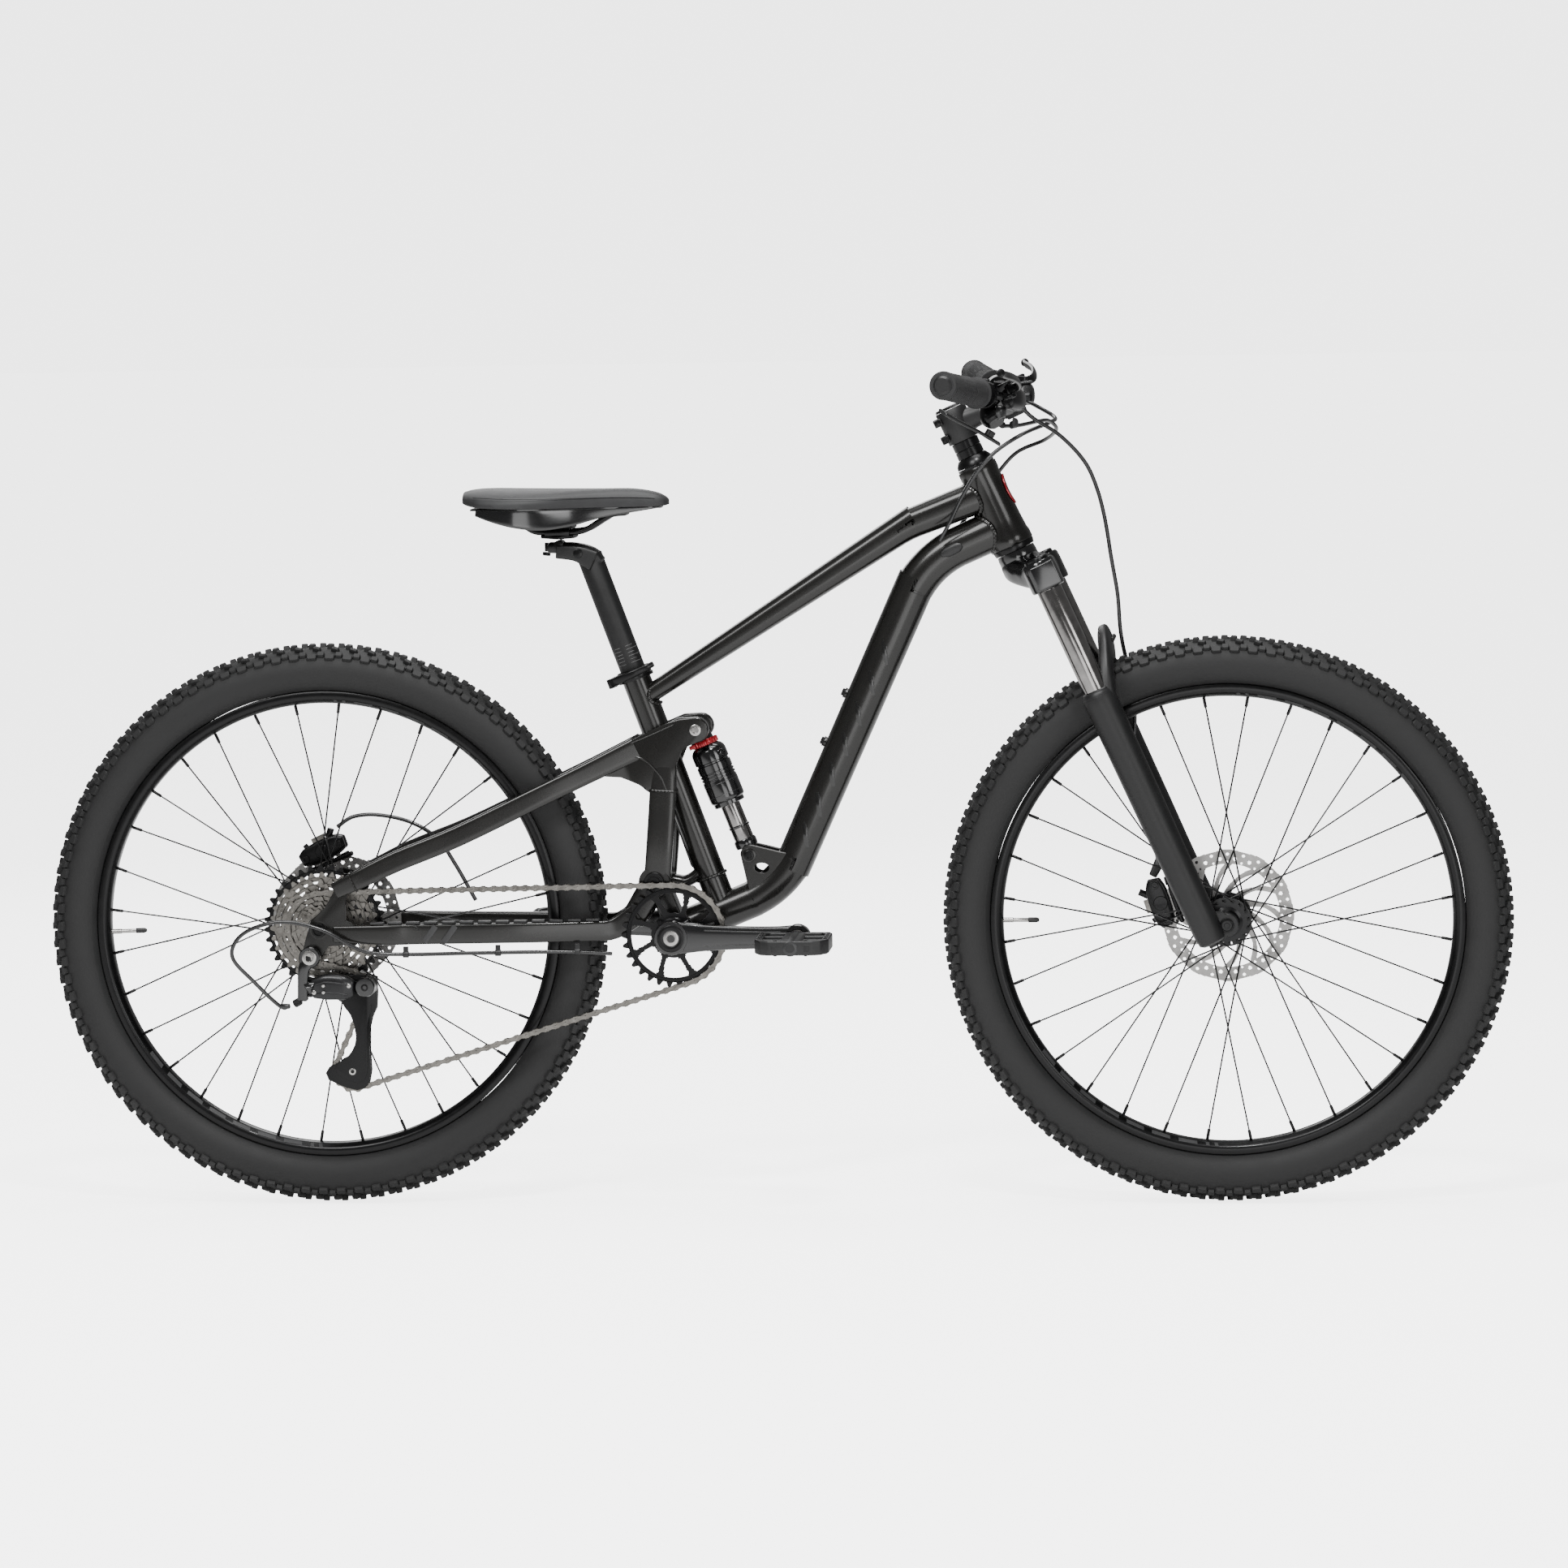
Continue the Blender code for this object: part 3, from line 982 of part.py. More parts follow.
def build_swingarm():
    solids = swingarm_side(-1) + swingarm_side(1)
    low_bridge = from_pivot(-0.040, -0.054)
    high_bridge = from_pivot(-0.086, 0.129)
    solids.append(swept("high_bridge", [(high_bridge + SIDEWAYS * y, 0.0070, 0.0070) for y in (-0.040,
                                                                                               0.040)], 10,
                        2.0, Vector((1, 0, 0))))
    base = swept("low_bridge", [(low_bridge + SIDEWAYS * y, 0.0090, 0.0090) for y in (-0.036, 0.036)], 10,
                 2.4,
                 Vector((1, 0, 0)))
    bores = [rod("pivot_bore", MAIN_PIVOT - SIDEWAYS * 0.06, MAIN_PIVOT + SIDEWAYS * 0.06,
                 PIVOT_AXLE_RADIUS + RUN, sides=12),
             rod("eye_bore", SHOCK_HEAD - SIDEWAYS * 0.06, SHOCK_HEAD + SIDEWAYS * 0.06,
                 SHOCK_BOLT_RADIUS + GAP, sides=12),
             rod("axle_bore", REAR_AXLE - SIDEWAYS * 0.09, REAR_AXLE + SIDEWAYS * 0.09, 0.0060 + GAP,
                 sides=12)]
    bores.append(rod("hanger_bore", HANGER_BOLT - SIDEWAYS * 0.02, HANGER_BOLT + SIDEWAYS * 0.02,
                     0.0040 + GAP, sides=12))
    for side in (-1, 1):
        inner = Vector((MAIN_PIVOT.x, side * LUG_HALF_WIDTH * 0.5, MAIN_PIVOT.z))
        outer = Vector((MAIN_PIVOT.x, side * (LUG_HALF_WIDTH + RUN), MAIN_PIVOT.z))
        bores.append(rod("lug_room", inner, outer, 0.0205, sides=ROUND))
    node("swingarm", combined("swingarm", base, add(*solids) + cut(*bores)), FRAME_PAINT, MAIN_PIVOT)


CAN_LOW = 0.065
CAN_HIGH = 0.141


def build_shock():
    can = turned("can", [(0, CAN_LOW), (0.0190, CAN_LOW), (0.0190, CAN_LOW + 0.006),
                         (SHOCK_CAN_RADIUS, CAN_LOW + 0.008),
                         (SHOCK_CAN_RADIUS, CAN_HIGH), (0.0150, CAN_HIGH + 0.001), (0.0110,
                                                                                    SHOCK_LENGTH - 0.004),
                         (0, SHOCK_LENGTH - 0.004)], SHOCK_FOOT, shock.up)
    eye = rod("eye", SHOCK_HEAD - SIDEWAYS * (YOKE_INNER - 2 * GAP),
              SHOCK_HEAD + SIDEWAYS * (YOKE_INNER - 2 * GAP), 0.0100)
    bore = rod("bore", shock(CAN_LOW - 0.01), shock(CAN_LOW + 0.062), SHOCK_SHAFT_RADIUS + SHOCK_BORE_ROOM,
               sides=ROUND)
    reach = YOKE_OUTER + 0.003
    bolt = rod("bolt", SHOCK_HEAD - SIDEWAYS * reach, SHOCK_HEAD + SIDEWAYS * reach, SHOCK_BOLT_RADIUS,
               sides=12)
    node("shock_air_can", combined("shock_air_can", can, add(eye, bolt) + cut(bore)), BLACK_METAL, MAIN_PIVOT)

    shaft = rod("shaft", shock(0.004), shock(CAN_LOW + 0.022), SHOCK_SHAFT_RADIUS, sides=ROUND)
    inner = SHOCK_EAR_INNER - 2 * GAP
    foot = rod("foot", SHOCK_FOOT - SIDEWAYS * inner, SHOCK_FOOT + SIDEWAYS * inner, 0.0105)
    foot_bore = rod("foot_bore", SHOCK_FOOT - SIDEWAYS * 0.03, SHOCK_FOOT + SIDEWAYS * 0.03,
                    SHOCK_BOLT_RADIUS + RUN, sides=12)
    node("shock_shaft", combined("shock_shaft", shaft, add(foot) + cut(foot_bore)), DARK_CHROME, SHOCK_FOOT)


# ---------------------------------------------------------------- drivetrain
HANGER_BOLT = from_rear_axle(-0.0107, -0.0318, -0.072)
UPPER_PULLEY = from_rear_axle(0.0305, -0.0745)
LOWER_PULLEY = from_rear_axle(0.0335, -0.1745)
CAGE_PIVOT = from_rear_axle(0.0560, -0.0680)
ARM_INNER = 0.0680
ARM_OUTER = 0.0830
SPINDLE_RADIUS = 0.0120


def belt_path(wheels, step):
    """Closed path round wheels given as (centre x, centre z, radius, turn).

    turn is +1 where the belt runs clockwise seen from the drive side, and -1 the other way."""
    count = len(wheels)
    headings = []
    for i in range(count):
        x1, z1, r1, s1 = wheels[i]
        x2, z2, r2, s2 = wheels[(i + 1) % count]
        dx, dz = x2 - x1, z2 - z1
        offset = math.asin((s2 * r2 - s1 * r1) / math.hypot(dx, dz))
        headings.append(math.atan2(dz, dx) + offset)
    path = []
    for i, (x, z, radius, turn) in enumerate(wheels):
        start, end = headings[i - 1], headings[i]
        sweep = (start - end) % (2 * math.pi) if turn > 0 else (end - start) % (2 * math.pi)
        parts = max(2, int(sweep * radius / step))
        for k in range(parts + 1):
            heading = start - turn * sweep * k / parts
            path.append((x - turn * radius * math.sin(heading), z + turn * radius * math.cos(heading)))
    return path


def build_chain():
    wheels = [(CRANK_CENTRE.x, CRANK_CENTRE.z, pitch_radius(CHAINRING_TEETH), 1),
              (LOWER_PULLEY.x, LOWER_PULLEY.z, pitch_radius(PULLEY_TEETH), 1),
              (UPPER_PULLEY.x, UPPER_PULLEY.z, pitch_radius(PULLEY_TEETH), -1),
              (REAR_AXLE.x, REAR_AXLE.z, pitch_radius(COG_TEETH), 1)]
    path = [Vector((x, CHAIN_Y, z)) for x, z in belt_path(wheels, 0.009)]
    rings = []
    for i, point in enumerate(path):
        along = (path[(i + 1) % len(path)] - path[i - 1]).normalized()
        up = Vector((-along.z, 0, along.x))
        tall, wide = up * CHAIN_HALF_HEIGHT, SIDEWAYS * CHAIN_HALF_WIDTH
        rings.append([point + tall + wide, point + tall - wide, point - tall - wide, point - tall + wide])
    node("chain", rings_to_mesh("chain", rings, closed=True), STEEL, MAIN_PIVOT)


def arm_outline(centre, tip, hub_radius, tip_radius):
    """Outline of a crank arm: two round ends joined by straight sides."""
    direction = math.atan2(tip.z - centre.z, tip.x - centre.x)
    points = []
    for k in range(9):
        angle = direction + math.pi / 2 + math.pi * k / 8
        points.append((centre.x + hub_radius * math.cos(angle), centre.z + hub_radius * math.sin(angle)))
    for k in range(9):
        angle = direction - math.pi / 2 + math.pi * k / 8
        points.append((tip.x + tip_radius * math.cos(angle), tip.z + tip_radius * math.sin(angle)))
    return points


PEDAL_INNER = 0.0900
PEDAL_OUTER = 0.1850
PEDAL_AXLE_END = 0.1650


def build_crankset():
    for label, side in (("right", -1), ("left", 1)):
        tip = CRANK_CENTRE + Vector((-side * CRANK_LENGTH, 0, 0))
        low_y, high_y = sorted((side * ARM_INNER, side * ARM_OUTER))
        arm = plate("arm", arm_outline(CRANK_CENTRE, tip, 0.0205, 0.0160), low_y, high_y)
        axle = rod("axle", tip + SIDEWAYS * side * (ARM_OUTER - 0.002),
                   tip + SIDEWAYS * side * PEDAL_AXLE_END, 0.0060,
                   sides=12)
        if side < 0:
            spindle = rod("spindle", CRANK_CENTRE - SIDEWAYS * (ARM_INNER + 0.002),
                          CRANK_CENTRE + SIDEWAYS * (ARM_OUTER - 0.003), SPINDLE_RADIUS, sides=ROUND)
            spider = rod("spider", CRANK_CENTRE - SIDEWAYS * (ARM_INNER + 0.001),
                         CRANK_CENTRE - SIDEWAYS * (0.0508 + GAP), 0.0260, sides=ROUND)
            steps = add(axle, spindle, spider)
        else:
            steps = add(axle) + cut(rod("spindle_bore", CRANK_CENTRE + SIDEWAYS * 0.05,
                                        CRANK_CENTRE + SIDEWAYS * (ARM_OUTER - 0.0025), SPINDLE_RADIUS + GAP,
                                        sides=ROUND))
        node("crank_arm_" + label, combined("arm", arm, steps), BLACK_METAL, CRANK_CENTRE)

        pedal_centre = tip + SIDEWAYS * side * (PEDAL_INNER + PEDAL_OUTER) / 2
        body = block("pedal", pedal_centre, (0.088, PEDAL_OUTER - PEDAL_INNER, 0.020))
        windows = [block("window", pedal_centre + Vector((x, 0, 0)), (0.024, 0.074, 0.05)) for x in (-0.023,
                                                                                                     0.023)]
        bore = rod("bore", tip + SIDEWAYS * side * (PEDAL_INNER - 0.01),
                   tip + SIDEWAYS * side * (PEDAL_AXLE_END + 0.002),
                   0.0060 + RUN, sides=12)
        node("pedal_" + label, combined("pedal", body, cut(*windows) + cut(bore)), PLASTIC, tip)

    ring_outer = pitch_radius(CHAINRING_TEETH) - CHAIN_HALF_HEIGHT - CHAIN_ROOM
    ring = [(SPINDLE_RADIUS + GAP * 2, -0.0508), (ring_outer, -0.0508), (ring_outer, -0.0475),
            (SPINDLE_RADIUS + GAP * 2, -0.0475)]
    node("chainring", turned("chainring", ring, CRANK_CENTRE, sides=FINE), BLACK_METAL, CRANK_CENTRE)


def build_cassette():
    """Sprocket stack: stepped down to the smaller cogs, with a groove where the chain runs."""
    groove = pitch_radius(COG_TEETH) - CHAIN_HALF_HEIGHT - CHAIN_ROOM
    inner = 0.0155 + 2 * GAP
    clear = CHAIN_HALF_WIDTH + GAP * 3
    big = LARGEST_COG_RADIUS
    profile = [(inner, -0.0320), (big, -0.0320), (big, -0.0345), (big - 0.012, -0.0365), (0.0540, -0.0420),
               (0.0505, CHAIN_Y + clear), (groove, CHAIN_Y + clear), (groove, CHAIN_Y - clear),
               (0.0300, -0.0580), (0.0230, -0.0650), (inner, -0.0650)]
    node("cassette", turned("cassette", profile, REAR_AXLE, sides=24), STEEL, REAR_AXLE)


def build_derailleur():
    """Upper knuckle on the hanger, parallelogram links, lower knuckle, cage and two pulleys."""
    low = from_rear_axle(-0.0205, -0.0690, -0.0810)
    knuckle = swept("knuckle", [(HANGER_BOLT + Vector((0, -0.0105, 0.004)), 0.0095, 0.0060),
                                (HANGER_BOLT + Vector((-0.008, -0.0110, -0.018)), 0.0065, 0.0060),
                                (low + Vector((0, 0, -0.014)), 0.0065, 0.0065)], 10, 3.0)
    bolt = rod("bolt", HANGER_BOLT - SIDEWAYS * 0.014, HANGER_BOLT + SIDEWAYS * 0.004, 0.0040, sides=12)
    node("derailleur_knuckle", combined("knuckle", knuckle, add(bolt)), BLACK_METAL, MAIN_PIVOT)

    hinge = DERAILLEUR_HINGE
    links = swept("links", [(hinge + Vector((0.004, 0, 0)), 0.0120, 0.0060),
                            (hinge + Vector((0.020, 0.0, 0.002)), 0.0160, 0.0080),
                            (hinge + Vector((0.042, 0.0, 0.001)), 0.0150,
                             0.0085), (hinge + Vector((0.052, 0, 0)), 0.0110, 0.0060)],
                  10, 3.0)
    node("derailleur_links", links, BLACK_METAL, hinge)

    lower = rod("lower", CAGE_PIVOT - SIDEWAYS * 0.0900, CAGE_PIVOT - SIDEWAYS * 0.0600, 0.0120)
    node("derailleur_lower_knuckle", lower, BLACK_METAL, CAGE_PIVOT - SIDEWAYS * 0.0800)

    outline = [(0.0650, -0.060), (0.0640, -0.0975), (0.0550, -0.1210), (0.0560, -0.1740), (0.0480, -0.1950),
               (0.0385, -0.1975), (0.0150, -0.1900), (0.0005, -0.1765), (0.0180, -0.1640), (0.0330,
                                                                                            -0.1500), (0.0390, -0.1330),
               (0.0330, -0.1060), (0.0200, -0.0860), (0.0230, -0.0640), (0.0460, -0.0560)]
    flat = [(REAR_AXLE.x + x, REAR_AXLE.z + z) for x, z in outline]
    near, far = CHAIN_Y - CAGE_GAP, CHAIN_Y + CAGE_GAP
    outer = plate("outer", flat, near - 0.0016, near)
    inner = plate("inner", flat, far, far + 0.0014)
    steps = add(inner)
    steps += add(rod("pivot", Vector((CAGE_PIVOT.x, near - 0.0050, CAGE_PIVOT.z)),
                     Vector((CAGE_PIVOT.x, near + 0.0005, CAGE_PIVOT.z)), 0.0070, sides=12))
    for wheel in (UPPER_PULLEY, LOWER_PULLEY):
        steps += add(rod("pin", Vector((wheel.x, near - 0.0022, wheel.z)),
                         Vector((wheel.x, far + 0.0020, wheel.z)),
                         0.0030, sides=12))
    node("derailleur_cage", combined("cage", outer, steps), BLACK_METAL, CAGE_PIVOT)

    radius = pitch_radius(PULLEY_TEETH) - CHAIN_HALF_HEIGHT - CHAIN_ROOM
    for name, centre in (("pulley_upper", UPPER_PULLEY), ("pulley_lower", LOWER_PULLEY)):
        disc = [(0.0030 + RUN, CHAIN_Y - 0.0025), (radius, CHAIN_Y - 0.0025), (radius, CHAIN_Y + 0.0025),
                (0.0030 + RUN, CHAIN_Y + 0.0025)]
        node(name, turned(name, disc, centre, sides=ROUND), PLASTIC, centre + SIDEWAYS * CHAIN_Y)


CAGE_GAP = 0.0050
DERAILLEUR_HINGE = from_rear_axle(-0.0120, -0.0700, -0.0810)


# ---------------------------------------------------------------- hoses and cable housing
HOSE_RADIUS = 0.0025
HOUSING_RADIUS = 0.0024


def build_hoses():
    hose_start = bar_point(-BRAKE_CLAMP_Y) + Vector((0.0375, 0.0665, -0.0150))
    front = [hose_start, hose_start + Vector((0.016, 0.018, -0.016)), (0.3520, -0.040, 0.925),
             (0.3790, -0.005, 0.893),
             (0.3930, 0.012, 0.860), (0.4020, 0.022, 0.822), (0.4090, 0.028, 0.775), (0.4160, 0.034, 0.730),
             leg(-SEAL_DROP + 0.045, 0.048, 0.60), leg(-SEAL_DROP - 0.030, 0.030, 0.80),
             leg(-SEAL_DROP - 0.095, 0.0000, 0.62), leg(-SEAL_DROP - 0.150, -0.014, 0.60),
             leg(-SEAL_DROP - 0.205, -0.022, 0.58), from_front_axle(-0.0830, 0.0620, 0.040)]
    cord("front_brake_hose", front, HOSE_RADIUS, HOSE, 0.0145)

    rear_start = bar_point(BRAKE_CLAMP_Y) + Vector((0.0375, -0.0665, -0.0150))
    rear = [rear_start, rear_start + Vector((0.012, -0.022, -0.005)), (0.3420, 0.040, 0.9450),
            (0.3380, -0.005, 0.9400),
            (0.3080, -0.035, 0.9280), (0.2760, -0.042, 0.9080), (0.2540, -0.043, 0.8850), (0.2350, -0.043,
                                                                                           0.8550),
            (0.2200, -0.040, 0.8250), (0.2070, -0.033, 0.8020)]
    cord("rear_brake_hose", rear, HOSE_RADIUS, HOSE, 0.0145)
    shift = [(0.2900, -0.1285, 0.9400), (0.3060, -0.104, 0.9400), (0.3260, -0.062, 0.9430),
             (0.3380, -0.035, 0.9430),
             (0.3460, -0.010, 0.9320), (0.3300, 0.030, 0.9180), (0.2960, 0.045, 0.9030), (0.2700, 0.047,
                                                                                          0.8750), (0.2440,
                                                                                                    0.045,
                                                                                                    0.8400),
             (0.2200, 0.0365, 0.8050)]
    cord("shift_housing", shift, HOUSING_RADIUS, HOSE, 0.0145)

    caliper_port = from_rear_axle(0.004, 0.1130, 0.048)
    loop = [caliper_port, caliper_port + Vector((0.020, 0.002, 0.012)), (-0.4900, 0.0490, 0.4690),
            (-0.4500, 0.0470, 0.4600),
            (-0.4180, 0.0460, 0.4400), (-0.3960, 0.0460, 0.4080), (-0.3720, 0.0470, 0.3640)]
    cord("rear_brake_hose_rear", loop, HOSE_RADIUS, HOSE, 0.0145)
    end = DERAILLEUR_HINGE + Vector((-0.0260, 0.004, -0.022))
    rear_loop = [end, end + Vector((-0.012, 0.002, 0.0)), (-0.6250, -0.080, 0.2800),
                 (-0.6500, -0.086, 0.3120),
                 (-0.6350, -0.089, 0.3400), (-0.5900, -0.0900, 0.3540), (-0.5400, -0.0890, 0.3440), (-0.4900,
                                                                                                     -0.0860,
                                                                                                     0.3180), (-0.4400, -0.0760, 0.3125), (-0.3600, -0.0660, 0.3125),
                 (-0.2600, -0.0530, 0.3120), (-0.1950, -0.0400, 0.3080)]
    cord("shift_housing_rear", rear_loop, HOUSING_RADIUS, HOSE, 0.0145)


def build():
    build_front_frame()
    build_frame_fittings()
    build_seat_clamp()
    build_seatpost()
    build_saddle()
    build_fork_upper()
    build_fork_lowers()
    build_stem()
    build_handlebar()
    build_brake_controls()
    build_shifter()
    build_wheels()
    build_calipers()
    build_swingarm()
    build_shock()
    build_crankset()
    build_cassette()
    build_chain()
    build_derailleur()
    build_hoses()


build()
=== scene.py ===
"""Looks of the mountain bike: smooth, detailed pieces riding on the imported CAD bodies.

Metres. +X forward, +Z up, the chain side is -Y, and the ground is at z = 0.
"""
import json
import math

import bmesh
import bpy
from mathutils import Matrix, Vector


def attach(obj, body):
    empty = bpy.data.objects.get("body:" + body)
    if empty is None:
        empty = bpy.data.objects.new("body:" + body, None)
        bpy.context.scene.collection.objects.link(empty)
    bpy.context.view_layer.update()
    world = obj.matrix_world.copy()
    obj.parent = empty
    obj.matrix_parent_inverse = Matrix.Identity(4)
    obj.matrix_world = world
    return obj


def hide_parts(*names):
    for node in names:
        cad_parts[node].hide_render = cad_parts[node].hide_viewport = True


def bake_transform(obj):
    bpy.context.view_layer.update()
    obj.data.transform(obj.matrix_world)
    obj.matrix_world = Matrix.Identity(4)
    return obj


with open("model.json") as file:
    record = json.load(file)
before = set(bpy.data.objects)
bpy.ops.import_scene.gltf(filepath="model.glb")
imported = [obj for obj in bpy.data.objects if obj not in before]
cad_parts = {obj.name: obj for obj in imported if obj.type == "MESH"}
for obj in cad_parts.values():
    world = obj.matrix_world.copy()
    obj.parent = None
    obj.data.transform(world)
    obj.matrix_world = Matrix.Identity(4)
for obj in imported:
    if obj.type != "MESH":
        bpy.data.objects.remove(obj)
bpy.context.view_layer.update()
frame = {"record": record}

SIDE = Vector((0, 1, 0))
joint_at = {j["name"]: Vector(j["pos_m"]) for j in frame["record"]["behaviour"]["joints"] if j.get("pos_m")}
CRANK = joint_at["crank_spin"]
REAR = joint_at["rear_wheel_spin"]
FRONT = joint_at["front_wheel_spin"]
HEAD = joint_at["steering"]
PIVOT = joint_at["rear_suspension"]
SHOCK_FOOT = joint_at["shock_swing"]
CAGE_PIVOT = joint_at["cage_tension"]
UPPER_PULLEY = joint_at["upper_pulley_spin"]
LOWER_PULLEY = joint_at["lower_pulley_spin"]
HINGE = joint_at["derailleur_swing"]
SADDLE = joint_at["saddle_tilt"]
SEAT_POINT = CRANK + Vector((-0.0335, 0, 0.273))
CHAIN_Y = -0.049
PITCH = 0.0127


# ---------------------------------------------------------------- surfaces
def surface(name, light, dark, rough, metallic=0.0, coat=0.0, grain=60.0, bump=0.03, rough_spread=0.12,
            bump_scale=400.0, stretch=(1, 1, 1), distance=0.0004):
    """A painted, moulded or metal surface: mottled colour, uneven gloss and fine bumps."""
    material = bpy.data.materials.new(name)
    material.use_nodes = True
    tree = material.node_tree
    shader = tree.nodes["Principled BSDF"]
    shader.inputs["Metallic"].default_value = metallic
    shader.inputs["Coat Weight"].default_value = coat
    shader.inputs["Coat Roughness"].default_value = 0.12
    where = tree.nodes.new("ShaderNodeTexCoord")
    mapping = tree.nodes.new("ShaderNodeMapping")
    mapping.inputs["Scale"].default_value = stretch
    tree.links.new(where.outputs["Object"], mapping.inputs["Vector"])
    cloud = tree.nodes.new("ShaderNodeTexNoise")
    cloud.inputs["Scale"].default_value = grain
    cloud.inputs["Detail"].default_value = 6
    tree.links.new(mapping.outputs["Vector"], cloud.inputs["Vector"])
    ramp = tree.nodes.new("ShaderNodeValToRGB")
    ramp.color_ramp.elements[0].position = 0.30
    ramp.color_ramp.elements[0].color = (*dark, 1)
    ramp.color_ramp.elements[1].position = 0.70
    ramp.color_ramp.elements[1].color = (*light, 1)
    tree.links.new(cloud.outputs["Fac"], ramp.inputs["Fac"])
    tree.links.new(ramp.outputs["Color"], shader.inputs["Base Color"])
    spread = tree.nodes.new("ShaderNodeMapRange")
    spread.inputs["To Min"].default_value = max(rough - rough_spread / 2, 0.04)
    spread.inputs["To Max"].default_value = rough + rough_spread / 2
    tree.links.new(cloud.outputs["Fac"], spread.inputs["Value"])
    tree.links.new(spread.outputs["Result"], shader.inputs["Roughness"])
    fine = tree.nodes.new("ShaderNodeTexNoise")
    fine.inputs["Scale"].default_value = bump_scale
    fine.inputs["Detail"].default_value = 3
    tree.links.new(mapping.outputs["Vector"], fine.inputs["Vector"])
    bumps = tree.nodes.new("ShaderNodeBump")
    bumps.inputs["Strength"].default_value = bump
    bumps.inputs["Distance"].default_value = distance
    tree.links.new(fine.outputs["Fac"], bumps.inputs["Height"])
    tree.links.new(bumps.outputs["Normal"], shader.inputs["Normal"])
    return material


PAINT = surface("frame_paint_look", (0.0076, 0.0071, 0.0061), (0.0055, 0.0053, 0.0046), 0.27, 0.35, 0.35, 25,
                0.05, 0.08, 900)
PAINT_GLOSS = surface("frame_slash_look", (0.0060, 0.0060, 0.0055), (0.0040, 0.0040, 0.0040), 0.20, 0.2, 0.5,
                      25, 0.02, 0.05)
BLACK = surface("anodised_look", (0.0050, 0.0050, 0.0054), (0.0028, 0.0028, 0.0031), 0.30, 0.6, 0.1, 80, 0.04,
                0.14, 700)
GLOSS = surface("gloss_black_look", (0.0031, 0.0031, 0.0034), (0.0022, 0.0022, 0.0025), 0.16, 0.1, 0.7, 50,
                0.02, 0.08)
MATT = surface("matt_black_look", (0.0052, 0.0052, 0.0055), (0.0036, 0.0036, 0.0038), 0.46, 0.1, 0.0, 60,
               0.08, 0.14, 1200)
CHROME = surface("dark_chrome_look", (0.2805, 0.2713, 0.2655), (0.1965, 0.1907, 0.1870), 0.14, 1.0, 0.0, 90,
                 0.02, 0.06, 900)
SILVER = surface("bright_steel_look", (0.4928, 0.4840, 0.4664), (0.3520, 0.3432, 0.3344), 0.26, 1.0, 0.0, 120,
                 0.05, 0.14, 900)
NICKEL = surface("nickel_look", (0.2640, 0.2520, 0.2320), (0.1600, 0.1520, 0.1400), 0.32, 1.0, 0.0, 140, 0.06,
                 0.16, 900)
BRUSHED = surface("brake_track_look", (0.36, 0.355, 0.345), (0.23, 0.225, 0.22), 0.34, 1.0, 0.0, 60, 0.10,
                  0.2, 1500)
RUBBER = surface("tyre_look", (0.0076, 0.0076, 0.0078), (0.0043, 0.0043, 0.0045), 0.68, 0.0, 0.0, 45, 0.20,
                 0.16, 900)
GRIP = surface("grip_look", (0.0138, 0.0138, 0.0142), (0.0089, 0.0089, 0.0093), 0.72, 0.0, 0.0, 90, 0.18,
               0.12, 1400)
PLASTIC = surface("moulded_look", (0.0069, 0.0069, 0.0072), (0.0044, 0.0044, 0.0047), 0.44, 0.0, 0.0, 80,
                  0.14, 0.14, 1500)
GREY = surface("dark_grey_look", (0.0270, 0.0274, 0.0281), (0.0187, 0.0191, 0.0198), 0.36, 0.3, 0.2, 80, 0.05,
               0.1, 900)
GREY_METAL = surface("grey_metal", (0.0225, 0.0225, 0.0235), (0.0140, 0.0140, 0.0150), 0.34, metallic=0.6,
                     coat=0.2)
COVER = surface("cover_look", (0.0162, 0.0166, 0.0174), (0.0109, 0.0109, 0.0118), 0.55, 0.0, 0.0, 70, 0.35,
                0.12, 1500)
HOSE = surface("hose_look", (0.0065, 0.0065, 0.0070), (0.0045, 0.0045, 0.0050), 0.28, 0.0, 0.4, 90, 0.03, 0.1)
RED = surface("red_look", (0.42, 0.010, 0.018), (0.28, 0.006, 0.012), 0.30, 0.4, 0.4, 90, 0.03, 0.08)
MARK = surface("light_mark_look", (0.24, 0.24, 0.24), (0.17, 0.17, 0.17), 0.45, 0.0, 0.0, 90, 0.03, 0.1)
SPRAY = surface("rim_mark_look", (0.0264, 0.0264, 0.0273), (0.0198, 0.0198, 0.0207), 0.50, 0.0, 0.0, 90, 0.03,
                0.1)


# ---------------------------------------------------------------- shapes
def slanted(origin, degrees):
    """Return place(along, ahead, side) for an axis that leans back from the vertical."""
    lean = math.radians(degrees)
    up = Vector((-math.sin(lean), 0, math.cos(lean)))
    forward = Vector((math.cos(lean), 0, math.sin(lean)))

    def place(along, ahead=0.0, side=0.0):
        return origin + up * along + forward * ahead + SIDE * side
    place.up = up
    place.forward = forward
    return place


steer = slanted(HEAD, 24.2)
seat = slanted(SEAT_POINT, 20.0)
shock = slanted(SHOCK_FOOT, 21.5)


def done(bm, name):
    bmesh.ops.recalc_face_normals(bm, faces=bm.faces)
    mesh = bpy.data.meshes.new(name)
    bm.to_mesh(mesh)
    bm.free()
    return mesh


def across(axis):
    axis = Vector(axis).normalized()
    helper = SIDE if abs(axis.y) < 0.9 else Vector((1, 0, 0))
    first = axis.cross(helper).normalized()
    return first, axis.cross(first).normalized()


